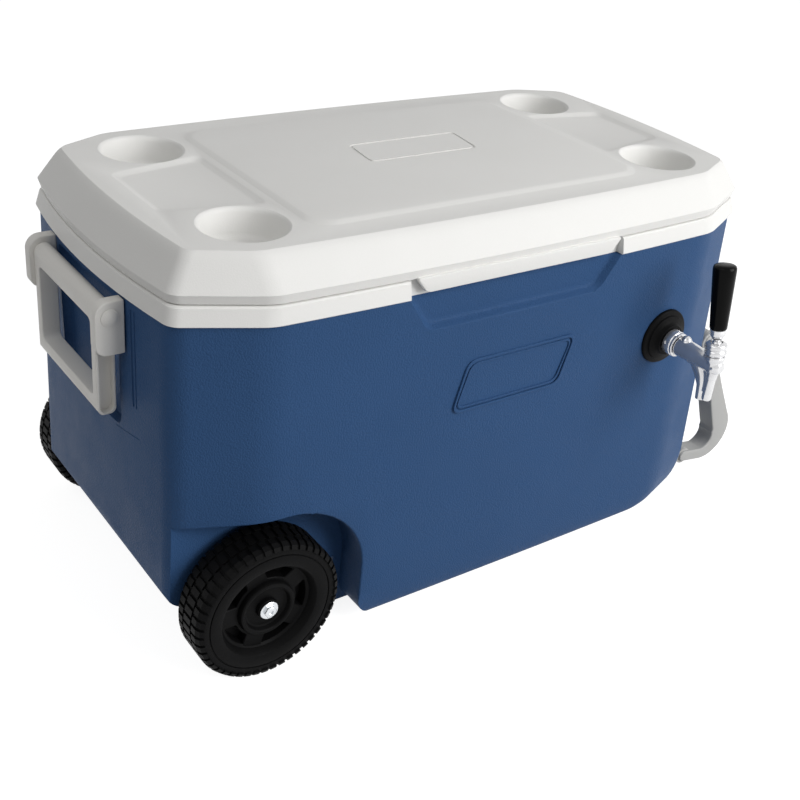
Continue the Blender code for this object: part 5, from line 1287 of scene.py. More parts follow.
    def _front_frame(self) -> Obj:
        """The bare double frame on the front wall.

        Returns:
            The new object.
        """
        near = FORM.front_wall(self.frame.u, self.frame.v)
        bands = [replace(self.frame, line=line).band("front_frame", near - rise,
                                                     near + FORM.skin * 0.8, "Y", inset)
                 for line, rise, inset in self.frame_bands]
        for band in bands:
            Bench.ease(band, self.frame_ease)
        Bench.join(*bands)
        return bands[0]


@dataclass
class WhiteLiner(Assembly):
    """The white tub with its bench and the rim that covers the shell's edge."""

    notch_half: float = 0.135
    notch_low: float = 0.35
    pocket_low: float = 0.32
    notch_top: float = 0.43
    bench_right: float = -0.12
    bench_z: float = 0.215
    chamfer: float = 0.0014
    lower_chamfer: float = 0.001
    floor_steps: Profile = ((0.0, 0.0095), (0.0015, 0.0045), (0.0045, 0.001), (0.01, 0.0))

    def build(self) -> None:
        """Loft the rim and the tub and cut the lip's notch and the bores."""
        liner = self._rim("liner", 0.0, FORM.rim_low, FORM.seam)
        pocket = self._rim("pocket", -FORM.skin, FORM.rim_low - OVERRUN, FORM.seam - FORM.skin)
        lip_back = -FORM.rim_half_depth + FORM.shell_inset + FORM.lip_thick + FORM.lip_room
        outside, half = -FORM.rim_half_depth - OVERRUN, self.notch_half
        Bench.cut(pocket, Bench.block("pocket_stop", (-half - FORM.skin, outside, self.pocket_low),
                                      (half + FORM.skin, lip_back + FORM.skin, self.notch_top)))
        Bench.cut(liner, pocket, Bench.block("notch", (-half, outside, self.notch_low),
                                             (half, lip_back, self.notch_top)))
        Bench.join(liner, self.tub("outside", FORM.skin))
        Bench.cut(liner, self.tub("inside", 0.0), *bores())
        self.place(liner, "white_liner", self.finishes.white, Body.COOLER, "body_liner", angle=28.0)

    def _rim(self, name: str, growth: float, low: float, top: float) -> Obj:
        """The rim's form between two heights.

        Args:
            name: the object's name.
            growth: how far outwards the form is moved.
            low: the lower height.
            top: the upper height.

        Returns:
            The new object.
        """
        first, last = FORM.rim(FORM.rim_low).grown(growth), FORM.rim(FORM.seam).grown(growth)
        return FORM.loft(name, [
            first.grown(-self.lower_chamfer, low), first.grown(0.0, low + self.lower_chamfer),
            last.grown(0.0, top - self.chamfer), last.grown(-self.chamfer, top)])

    def tub(self, name: str, growth: float) -> Obj:
        """The tub with its raised bench over the wheels; growth 0 is the space inside.

        Args:
            name: the object's name.
            growth: how far outside the tub's inner faces it stands.

        Returns:
            The new object.
        """
        top = FORM.seam + OVERRUN if growth == 0 else FORM.seam - FORM.skin / 2
        steps = [(FORM.floor - growth + rise, inset) for rise, inset in self.floor_steps] + [(top, 0.0)]
        tub = FORM.loft(name, [FORM.mouth(z, growth - inset if growth == 0 else growth)
                               for z, inset in steps])
        Bench.cut(tub, Bench.block(name + "_bench", (-FORM.rim_half_length, -FORM.rim_half_depth, 0.0),
                                   (self.bench_right - growth, FORM.rim_half_depth,
                                    self.bench_z - growth)))
        return tub


@dataclass
class WhiteLid(Assembly):
    """The white lid with its cup holders, trays, raised middle, bare frame and liner plate."""

    cup_x: float = 0.2605
    cup_y: float = 0.1052
    cup_radius: float = 0.04
    cup_depth: float = 0.03
    cup_wall: float = 0.0062
    cup_turn: float = 0.0022
    cup_lip: Profile = ((0.004, 0.006), (0.0034, 0.0003), (0.002, -0.0004), (0.0006, -0.0016),
                        (-0.0004, -0.004))
    cup_foot: Profile = ((-0.0026, 0.004), (-0.0064, 0.0))
    panel_half: Flat = (0.203, 0.135)
    panel_cut: float = 0.015
    panel_turn: float = 0.0095
    panel_foot: Profile = ((-0.0025, -0.0075), (-0.0001, -0.005), (0.0003, -0.0036))
    panel_top: Profile = ((-0.0004, 0.0012), (0.0, 0.0036))
    tray_inner: Flat = (0.2175, 0.066)
    tray_outer: Flat = (0.315, 0.049)
    tray_turn: float = 0.01
    tray_steps: Profile = ((-0.003, 0.0048), (-0.0026, 0.0028), (-0.0006, -0.0022),
                           (0.0002, -0.0042), (0.006, -0.006))
    lip_half: float = 0.122
    lip_low: float = 0.386
    lip_slant: Flat = (-0.005, 0.008)
    lip_turn: float = 0.005
    lip_ease: float = 0.0012
    frame: RaisedFrame = RaisedFrame(0.009, 0.013, 0.07, 0.027, 0.003)
    frame_depth: float = 0.0012
    plug_drop: float = 0.011
    plug_inset: float = 0.003
    plug_chamfer: float = 0.0008

    def build(self) -> None:
        """Loft the shell, add its raised middle and lip, and press in cups, trays and frame."""
        shell = FORM.lid_solid("lid", 0.0, FORM.seam + GAP, FORM.top)
        inside = FORM.lid_solid("lid_inside", -FORM.lid_skin, FORM.seam - OVERRUN,
                                FORM.top - FORM.lid_skin)
        cups = [self._cup(x, y) for x in (-self.cup_x, self.cup_x) for y in (-self.cup_y, self.cup_y)]
        Bench.cut(inside, *self.cup_rooms(FORM.lid_skin, 0.0))
        Bench.join(shell, self._panel(), self._lip())
        Bench.cut(shell, inside, *cups, self._tray(-1), self._tray(1))
        Bench.cut(shell, self.frame.band("lid_frame", FORM.height - self.frame_depth,
                                         FORM.height + OVERRUN, "Z"))
        self.place(shell, "white_lid", self.finishes.white, Body.LID, "lid_shell", angle=28.0)
        self._liner_plate()

    def cup_rooms(self, skin: float, growth: float) -> list[Obj]:
        """Rods round the cups with their walls and floors.

        Args:
            skin: how far below the floor of a cup they start.
            growth: how much wider they are than the walls.

        Returns:
            The new objects.
        """
        low = FORM.top - self.cup_depth - skin
        return [Bench.rod("cup_room", self.cup_radius + self.cup_wall + growth, (x, y, low),
                          (x, y, FORM.top + OVERRUN))
                for x in (-self.cup_x, self.cup_x) for y in (-self.cup_y, self.cup_y)]

    def _cup(self, x: float, y: float) -> Obj:
        """The room of a cup holder, with a soft lip and a rounded floor.

        Args:
            x: its middle's X.
            y: its middle's Y.

        Returns:
            The new object.
        """
        top, radius = FORM.top, self.cup_radius
        low = top - self.cup_depth
        profile = [(0.0, top + self.cup_lip[0][1])]
        profile += [(radius + out, top + rise) for out, rise in self.cup_lip]
        profile += [(radius + out, low + rise) for out, rise in self.cup_foot] + [(0.0, low)]
        soft = softened(profile, self.cup_turn, 4, closed=False)
        return Bench.turned("cup", soft, (x, y, 0.0), Towards.UP.value, 96)

    def _panel(self) -> Obj:
        """The raised middle of the lid's top, with sloped and eased edges.

        Returns:
            The new object.
        """
        def outline(inset: float) -> list[Flat]:
            """An oblong with cut corners.

            Args:
                inset: how far inwards the outline is moved.

            Returns:
                The outline.
            """
            x, y, cut = self.panel_half[0] - inset, self.panel_half[1] - inset, self.panel_cut
            return [(x, y - cut), (x - cut, y), (-x + cut, y), (-x, y - cut), (-x, -y + cut),
                    (-x + cut, -y), (x - cut, -y), (x, -y + cut)]

        steps = [(FORM.top + rise, inset) for rise, inset in self.panel_foot]
        steps += [(FORM.height + rise, inset) for rise, inset in self.panel_top]
        return stepped("panel", "Z", steps, outline, self.panel_turn)

    def _lip(self) -> Obj:
        """The front lip that hangs over the pressed grip.

        Returns:
            The new object.
        """
        front, top = -FORM.rim_half_depth + FORM.shell_inset, FORM.seam + 0.003
        low, high = self.lip_half + self.lip_slant[0], self.lip_half + self.lip_slant[1]
        outline = softened([(-low, self.lip_low), (low, self.lip_low), (high, top), (-high, top)],
                           self.lip_turn)
        lip = Bench.plate("lip", outline, front, front + FORM.lip_thick, "Y")
        Bench.ease(lip, self.lip_ease, 3, 50.0)
        return lip

    def _tray(self, side: int) -> Obj:
        """The shallow tray between the cups at one end, with sloped sides.

        Args:
            side: -1 for the wheel end, 1 for the far end.

        Returns:
            The new object.
        """
        def outline(inset: float) -> list[Flat]:
            """A trapezoid, wider towards the middle.

            Args:
                inset: how far inwards the outline is moved.

            Returns:
                The outline.
            """
            (inner, long), (outer, short) = self.tray_inner, self.tray_outer
            inner, outer = inner + inset, outer - inset
            return [(side * inner, -long + inset), (side * outer, -short + inset),
                    (side * outer, short - inset), (side * inner, long - inset)]

        steps = [(FORM.top + rise, inset) for rise, inset in self.tray_steps]
        return stepped("tray", "Z", steps, outline, self.tray_turn)

    def _liner_plate(self) -> None:
        """The plate that closes the lid below, with the hollow plug that drops into the mouth."""
        low, top = FORM.seam + 2 * GAP, FORM.seam + FORM.skin + 2 * GAP
        flat = FORM.lid(FORM.seam + GAP).grown(-FORM.lid_skin - GAP)
        plate = FORM.loft("plate", [flat.grown(0.0, z) for z in (low, top)])
        mouth = FORM.mouth(FORM.seam).grown(-self.plug_inset)
        drop = FORM.seam - self.plug_drop
        Bench.join(plate, FORM.loft("plug", [
            mouth.grown(-FORM.skin, drop), mouth.grown(-self.plug_chamfer, drop + self.plug_chamfer),
            mouth.grown(0.0, drop + FORM.skin), mouth.grown(0.0, FORM.seam + FORM.skin)]))
        Bench.cut(plate, FORM.loft("plug_pocket", [
            mouth.grown(-FORM.skin, z) for z in (drop + FORM.skin, FORM.seam + OVERRUN)]))
        self.place(plate, "lid_underside", self.finishes.white, Body.LID, "lid_liner", angle=28.0)


@dataclass
class HingeSet(Assembly):
    """The two hinges behind the lid, with crisp but eased leaves."""

    def build(self) -> None:
        """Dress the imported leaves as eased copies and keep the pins."""
        for label in ("left", "right"):
            for node, body in ((f"hinge_body_leaf_{label}", Body.COOLER),
                               (f"hinge_lid_leaf_{label}", Body.LID)):
                self.eased(node, self.finishes.grey, body, 0.0008)
            self.dress_node(f"hinge_pin_{label}", self.finishes.steel)


@dataclass
class Bail(Assembly):
    """The light grey bail at the wheel end with its cheeks and domed pins."""

    half: float = 0.0725
    arm: float = 0.0105
    depth: float = 0.0185
    low: float = 0.259
    grip_height: float = 0.018
    axis_z: float = 0.3645
    bar_radius: float = 0.0095
    bar_chamfer: float = 0.0016
    axis_x: float = -0.37825
    outer_turn: float = 0.0032
    inner_turn: float = 0.007
    ease: float = 0.0018
    slot_wall: float = 0.0022
    slot_depth: float = 0.0082
    slot_top: float = 0.017
    pin_seat: float = 0.0063
    pin_depth: float = 0.006
    bracket_width: float = 0.012
    cheek_out: float = 0.0045
    cheek_low: float = 0.327
    cheek_top: float = 0.3795
    cheek_turn: float = 0.014
    cheek_foot: float = 0.8
    cheek_ease: float = 0.0013
    dome: Profile = ((0.0, 0.0028), (0.0022, 0.0027), (0.0044, 0.0023), (0.0062, 0.0016),
                     (0.0071, 0.001), (0.0076, 0.0009), (0.0083, 0.0007), (0.0085, 0.0003),
                     (0.0085, 0.0), (0.004, 0.0))

    def build(self) -> None:
        """Make the loop, then each side's cheek and pin."""
        self._loop()
        for side, label in SIDES:
            self._cheek(side, label)
            self._pin(side, label)

    def _loop(self) -> None:
        """A rounded plate with an opening, a round top bar and channels in its arms."""
        near, far = self.axis_x - self.depth / 2, self.axis_x + self.depth / 2
        half, turn, cut = self.half, self.bar_radius, self.bar_chamfer
        inner_half, inner_top = half - self.arm, self.axis_z - self.bar_radius
        corners = [(-half, self.low), (half, self.low), (half, self.axis_z), (-half, self.axis_z)]
        loop = Bench.plate("loop", softened(corners, self.outer_turn), near, far, "X")
        inner = [(-inner_half, self.low + self.grip_height), (inner_half, self.low + self.grip_height),
                 (inner_half, inner_top), (-inner_half, inner_top)]
        Bench.cut(loop, Bench.plate("opening", softened(inner, self.inner_turn, 8), near - OVERRUN,
                                    far + OVERRUN, "X"))
        Bench.ease(loop, self.ease, 4)
        ends = [(0.0, half), (turn - cut, half), (turn, half - cut), (turn, -half + cut),
                (turn - cut, -half), (0.0, -half)]
        Bench.join(loop, Bench.turned("bar", ends, (self.axis_x, 0.0, self.axis_z),
                                      Towards.BACK.value, 64))
        Bench.cut(loop, self._below(near, far))
        slot_half = self.depth / 2 - self.slot_wall
        floor, inside = self.low + self.slot_wall, self.axis_z - self.bar_radius - self.slot_top
        room = arc((self.axis_x, floor + slot_half), slot_half, 180, 360, 16)
        room += arc((self.axis_x, inside - slot_half), slot_half, 0, 180, 16)
        for side, _ in SIDES:
            start, end = side * (half - self.slot_depth), side * (half + OVERRUN)
            Bench.cut(loop, Bench.plate("slot", room, start, end, "Y"))
            Bench.cut(loop, Bench.rod("pin_hole", PIN_BORE,
                                      (self.axis_x, side * (half - self.pin_seat), self.axis_z),
                                      (self.axis_x, end, self.axis_z)))
        # The bail takes the paler copy of the grey, painted lighter to stand in for light that its shaded
        # end doesn't get.
        self.place(loop, "bail_loop", self.finishes.pale, Body.BAIL, "bail_handle", angle=35.0)

    def _below(self, near: float, far: float) -> Obj:
        """What is cut away so that the loop's lower edge is a half round.

        Args:
            near: where it starts along the axis.
            far: where it ends along the axis.

        Returns:
            The new object.
        """
        radius, reach = self.depth / 2, self.half + OVERRUN
        under = Bench.block("under", (near - OVERRUN, -reach, self.low - OVERRUN),
                            (far + OVERRUN, reach, self.low + radius))
        Bench.cut(under, Bench.rod("keep", radius, (self.axis_x, -reach - OVERRUN, self.low + radius),
                                   (self.axis_x, reach + OVERRUN, self.low + radius), steps=64))
        return under

    def _cheek(self, side: int, label: str) -> None:
        """The cheek between bail and end wall, rounded towards the hand.

        Args:
            side: -1 for the front, 1 for the back.
            label: the side's name, for the names of the pieces.
        """
        left, low, top = self.axis_x - self.depth / 2 - self.cheek_out, self.cheek_low, self.cheek_top
        right = -FORM.body(self.axis_z).left + FORM.skin
        turn, small = self.cheek_turn, self.cheek_turn * self.cheek_foot
        outline = [(right, low), (right, top), *arc((left + turn, top - turn), turn, 90, 180, 14),
                   *arc((left + small, low + small), small, 180, 270, 12)]
        inner, outer = side * (self.half + GAP), side * (self.half + GAP + self.bracket_width)
        cheek = Bench.plate("cheek", outline, inner, outer, "Y")
        Bench.ease(cheek, self.cheek_ease, 4, 40.0)
        Bench.cut(cheek, Bench.rod("hole", PIN_BORE, (self.axis_x, inner - side * OVERRUN, self.axis_z),
                                   (self.axis_x, outer + side * OVERRUN, self.axis_z)))
        Bench.cut(cheek, seat())
        self.place(cheek, f"bail_cheek_{label}", self.finishes.pale, Body.COOLER,
                   f"bail_bracket_{label}", angle=35.0)

    def _pin(self, side: int, label: str) -> None:
        """A pin whose head is a shallow dome with a small rim.

        Args:
            side: -1 for the front, 1 for the back.
            label: the side's name, for the names of the pieces.
        """
        stop = self.half - self.pin_depth
        profile = raised(self.dome, self.half + self.bracket_width + 2 * GAP)
        profile += [(self.dome[-1][0], stop), (0.0, stop)]
        pin = Bench.turned("pin", profile, (self.axis_x, 0.0, self.axis_z), Towards.side(side), 64)
        self.place(pin, f"bail_stud_{label}", self.finishes.pale, Body.COOLER, f"bail_pin_{label}",
                   angle=40.0)


@dataclass
class TowHandle(Assembly):
    """The hooked tow handle at the tap end with its lugs and pins."""

    axis: Flat = (0.3765, 0.205)
    outer_y: float = 0.15
    arm_width: float = 0.024
    arm_ease: float = 0.0046
    bend: Flat = (0.421, 0.06)
    bend_radius: float = 0.04
    bend_angles: Point = (36.0, -20.0, -100.0)
    thick: float = 0.03
    thin: float = 0.015
    hub_radius: float = 0.0125
    outer_knee: Flat = (0.416, 0.149)
    outer_soft: float = 0.034
    inner_knee: Flat = (0.4075, 0.119)
    inner_soft: float = 0.03
    grip: Flat = (0.384, 0.033)
    grip_radius: float = 0.011
    grip_inset: float = 0.003
    pin_radius: float = 0.0045
    bracket_width: float = 0.012
    bracket_half: float = 0.024
    bracket_ease: float = 0.0012
    bend_steps: int = 40
    dome: Profile = ((0.0, 0.003), (0.003, 0.0028), (0.0056, 0.0021), (0.0074, 0.0012),
                     (0.0086, 0.0007), (0.009, 0.0003), (0.009, 0.0), (0.0045, 0.0))

    def build(self) -> None:
        """Make both hooked arms with the grip between them, then the lugs and pins."""
        arms = [self._arm(side) for side, _ in SIDES]
        reach = self.outer_y - self.grip_inset
        grip = Bench.rod("grip", self.grip_radius, (self.grip[0], -reach, self.grip[1]),
                         (self.grip[0], reach, self.grip[1]), steps=64)
        Bench.join(arms[0], arms[1], grip)
        for side, label in SIDES:
            start = self.outer_y - self.arm_width - GAP - self.bracket_width - OVERRUN
            (x, z), end = self.axis, self.outer_y + OVERRUN
            hole = Bench.rod("tow_hole", self.pin_radius + GAP, (x, side * start, z), (x, side * end, z))
            self._lug(side, label, Bench.copied(hole, "lug_hole"))
            self._pin(side, label)
            Bench.cut(arms[0], hole)
        self.place(arms[0], "tow_hoop", self.finishes.grey, Body.TOW, "tow_handle", angle=35.0)

    def _outline(self) -> list[Flat]:
        """The side view of an arm: straight from its hub, then hooked back to the grip.

        Returns:
            The outline.
        """
        outer: list[Flat] = []
        inner: list[Flat] = []
        start, narrow, stop = self.bend_angles
        for k in range(self.bend_steps + 1):
            angle = start + (stop - start) * k / self.bend_steps
            share = max(0.0, min(1.0, (narrow - angle) / (narrow - stop)))
            wide = self.thick + (self.thin - self.thick) * share
            outer += arc(self.bend, self.bend_radius, angle, angle, 1)[:1]
            inner += arc(self.bend, self.bend_radius - wide, angle, angle, 1)[:1]
        along = (Vector(self.outer_knee) - Vector(self.axis)).normalized()
        across = Vector((along.y, -along.x))
        first = math.degrees(math.atan2(-across.y, -across.x))
        hub = arc(self.axis, self.hub_radius, first, first + 180, 24)
        half = self.thin / 2
        under, over = (self.grip[0], self.grip[1] - half), (self.grip[0], self.grip[1] + half)
        end = arc(self.grip, half, 90, 270, 16)[1:-1]
        outside = softened([outer[0], self.outer_knee, hub[0]], self.outer_soft, 12, closed=False)
        inside = softened([hub[-1], self.inner_knee, inner[0]], self.inner_soft, 12, closed=False)
        return [under, *outer[::-1], *outside[1:-1], *hub, *inside[1:-1], *inner, over, *end]

    def _arm(self, side: int) -> Obj:
        """One arm with rounded edges.

        Args:
            side: -1 for the front, 1 for the back.

        Returns:
            The new object.
        """
        arm = Bench.plate("arm", self._outline(), side * (self.outer_y - self.arm_width),
                          side * self.outer_y, "Y")
        Bench.ease(arm, self.arm_ease, 6, 50.0)
        return arm

    def _lug(self, side: int, label: str, hole: Obj) -> None:
        """The lug on the end wall that carries the pin.

        Args:
            side: -1 for the front, 1 for the back.
            label: the side's name, for the names of the pieces.
            hole: a rod for the pin's hole, which is used up.
        """
        outer = self.outer_y - self.arm_width - GAP
        inner = outer - self.bracket_width
        wall = FORM.far_wall(inner, self.axis[1]) - FORM.skin
        outline = [(wall, self.axis[1] - self.bracket_half),
                   *arc(self.axis, self.hub_radius, -90, 90, 24),
                   (wall, self.axis[1] + self.bracket_half)]
        lug = Bench.plate("lug", outline, side * inner, side * outer, "Y")
        Bench.ease(lug, self.bracket_ease, 4, 50.0)
        Bench.cut(lug, hole, seat())
        self.place(lug, f"tow_lug_{label}", self.finishes.grey, Body.COOLER, f"tow_bracket_{label}",
                   angle=35.0)

    def _pin(self, side: int, label: str) -> None:
        """A pin with a shallow domed head outside the arm.

        Args:
            side: -1 for the front, 1 for the back.
            label: the side's name, for the names of the pieces.
        """
        stop = self.outer_y - self.arm_width - GAP - self.bracket_width
        profile = raised(self.dome, self.outer_y + GAP) + [(self.pin_radius, stop), (0.0, stop)]
        pin = Bench.turned("pin", profile, (self.axis[0], 0.0, self.axis[1]), Towards.side(side), 64)
        self.place(pin, f"tow_stud_{label}", self.finishes.grey, Body.COOLER, f"tow_pin_{label}",
                   angle=40.0)


@dataclass
class Wheels(Assembly):
    """The two moulded black wheels with staggered lugs, and the zinc axle between them."""

    radius: float = 0.079
    x: float = -0.273
    face: float = 0.204
    width: float = 0.045
    base_drop: float = 0.0021
    lug_rise: float = 0.002
    shoulder_depth: float = 0.0045
    spoke_half: float = 0.0105
    steps: int = 144
    pockets: int = 5
    hub_face: float = 0.1995
    bore: float = 0.0063
    hub: Profile = ((0.0063, 0.0), (0.0102, 0.0), (0.011, -0.0006), (0.0116, -0.005),
                    (0.0215, -0.0056), (0.0232, -0.0048), (0.025, -0.001), (0.0262, -0.0001),
                    (0.028, 0.0), (0.0294, -0.0006), (0.0303, -0.002))
    wall: Profile = ((0.031, -0.0104), (0.0465, -0.01), (0.0482, -0.009), (0.0512, -0.0024),
                     (0.0526, -0.0006), (0.0545, 0.0), (0.064, 0.0), (0.065, -0.0002),
                     (0.0654, -0.0012), (0.0661, -0.0012), (0.0665, -0.0002), (0.068, -0.0001))
    shoulder: Profile = ((-0.0052, 0.0004), (-0.0018, 0.002))
    bands: Profile = ((0.006, 0.0135), (0.016, 0.029), (0.0315, 0.039))
    inside: Profile = ((0.068, 0.0), (0.049, 0.0), (0.045, 0.01), (0.02, 0.01),
                       (0.02, 0.0), (0.0063, 0.0))
    pocket_radii: Flat = (0.0335, 0.0462)
    pocket_turn: float = 0.0016
    pocket_start: float = 0.01
    pocket_steps: Profile = ((0.005, -0.002), (0.0002, -0.0006), (-0.001, 0.0006))
    pocket_floor: Flat = (-0.0205, 0.002)
    washer: Profile = ((0.0, 0.0011), (0.0093, 0.0011), (0.0098, 0.0007), (0.0098, 0.0), (0.0, 0.0))
    washer_gap: float = 0.0005
    nut_height: float = 0.0045
    nut_ease: float = 0.0003
    nut: Profile = ((0.0, 0.0), (0.0052, 0.0), (0.0066, -0.0006))
    nut_radius: float = 0.0069
    dimple: Flat = (0.0026, 0.0012)

    def build(self) -> None:
        """Make one wheel, mirror a copy of it, then dress axle, washers, bolts and straps."""
        wheel = self._wheel()
        other = Bench.copied(wheel, "other_wheel")
        for (side, label), body, made in zip(SIDES, (Body.FRONT_WHEEL, Body.BACK_WHEEL),
                                             (wheel, other)):
            made.data.transform(Matrix.Translation((self.x, 0.0, self.radius))
                                @ Towards.side(side).to_4x4())
            self.place(made, f"lugged_wheel_{label}", self.finishes.black, body, f"wheel_{label}",
                       angle=24.0)
            self._bolt(side, label)
            self.dress_node(f"axle_washer_{label}", self.finishes.zinc)
            self.eased(f"axle_strap_{label}", self.finishes.steel, Body.COOLER, 0.0005, 2,
                       f"eased_strap_{label}")
        self.dress_node("axle", self.finishes.zinc)

    def _profile(self) -> list[Flat]:
        """Half section from the hub's face round the tread and back along the bore.

        The tread is laid out as three bands of lugs with two narrow grooves between them.

        Returns:
            The outline.
        """
        face, inner, base = self.face, self.face - self.width, self.radius - self.base_drop
        profile = raised(self.hub, self.hub_face) + raised(self.wall, face)
        profile += [(base + drop, face - at) for drop, at in self.shoulder]
        profile += [(base, face - at) for band in self.bands for at in band]
        profile += [(base + drop, inner + at) for drop, at in self.shoulder[::-1]]
        return profile + raised(self.inside, inner)

    def _wheel(self) -> Obj:
        """Turn the wheel, raise its lugs and press its pockets.

        Returns:
            The new object.
        """
        wheel = Bench.turned("wheel", self._profile(), (0.0, 0.0, 0.0), Towards.UP.value, self.steps)
        self._raise_lugs(wheel)
        Bench.cut(wheel, *[self._pocket(k) for k in range(self.pockets)])
        return wheel

    def _band(self, middle: Vector) -> int | None:
        """Which band of lugs a tread face belongs to, from the middle of the face.

        Args:
            middle: the middle of the face, in the wheel's own frame.

        Returns:
            The band's number, or None for a face that isn't on the tread.
        """
        depth, radius = self.face - middle.z, math.hypot(middle.x, middle.y)
        if radius < self.radius - self.base_drop - self.shoulder_depth:
            return None
        (_, first), second, (third, _) = self.bands
        for index, (low, high) in enumerate(((0.0, first), second, (third, self.width))):
            if low < depth < high:
                return index
        return None

    def _raise_lugs(self, wheel: Obj) -> None:
        """Push out two of every three steps of each band, each band offset from the last.

        Args:
            wheel: the turned wheel.
        """
        with Bench.editing(wheel, "DESELECT"):
            bm = bmesh.from_edit_mesh(wheel.data)
            for face in bm.faces:
                middle = face.calc_center_median()
                band = self._band(middle)
                if band is None:
                    continue
                step = int((math.atan2(middle.y, middle.x) % TURN) / TURN * self.steps)
                face.select_set((step + band) % 3 != 0)
            bmesh.update_edit_mesh(wheel.data)
            bpy.ops.mesh.extrude_region_shrink_fatten(
                TRANSFORM_OT_shrink_fatten={"value": self.lug_rise})

    def _pocket(self, index: int) -> Obj:
        """One dark pocket between two spokes, drawn in towards its floor.

        Args:
            index: its place round the wheel.

        Returns:
            The new object.
        """
        turn, half = math.degrees(TURN) * index / self.pockets, 180.0 / self.pockets

        def outline(inset: float) -> list[Flat]:
            """A piece of a ring with straight ends.

            Args:
                inset: how far inwards the outline is moved.

            Returns:
                The outline.
            """
            inner, outer = self.pocket_radii[0] + inset, self.pocket_radii[1] - inset
            far = half - math.degrees((self.spoke_half + inset) / outer)
            close = half - math.degrees((self.spoke_half + inset) / inner)
            return [*arc((0.0, 0.0), outer, turn - far, turn + far, 12),
                    *arc((0.0, 0.0), inner, turn + close, turn - close, 4)]

        near = self.face - self.pocket_start
        steps = [(near + rise, inset) for rise, inset in self.pocket_steps]
        steps.append((self.face + self.pocket_floor[0], self.pocket_floor[1]))
        return stepped("pocket", "Z", steps, outline, self.pocket_turn, 2)

    def _bolt(self, side: int, label: str) -> None:
        """The zinc washer and nut with the axle's stub in the hub's recess.

        Args:
            side: -1 for the front, 1 for the back.
            label: the side's name, for the names of the pieces.
        """
        start = self.hub_face + self.washer_gap + GAP
        towards, place = Towards.side(side), (self.x, 0.0, self.radius)
        bolt = Bench.turned("bolt", raised(self.washer, start), place, towards, 64)
        top = start + self.nut_height
        nut = raised(self.nut, top) + [(self.nut_radius, start), (0.0, start)]
        hexagon = Bench.turned("nut", nut, place, towards, 6)
        Bench.ease(hexagon, self.nut_ease, 2)
        Bench.join(bolt, hexagon)
        radius, deep = self.dimple
        Bench.cut(bolt, Bench.rod("dimple", radius, (self.x, side * (top - deep), self.radius),
                                  (self.x, side * (top + OVERRUN), self.radius), steps=32))
        self.place(bolt, f"axle_bolt_{label}", self.finishes.zinc, Body.COOLER, f"axle_cap_{label}",
                   angle=30.0)


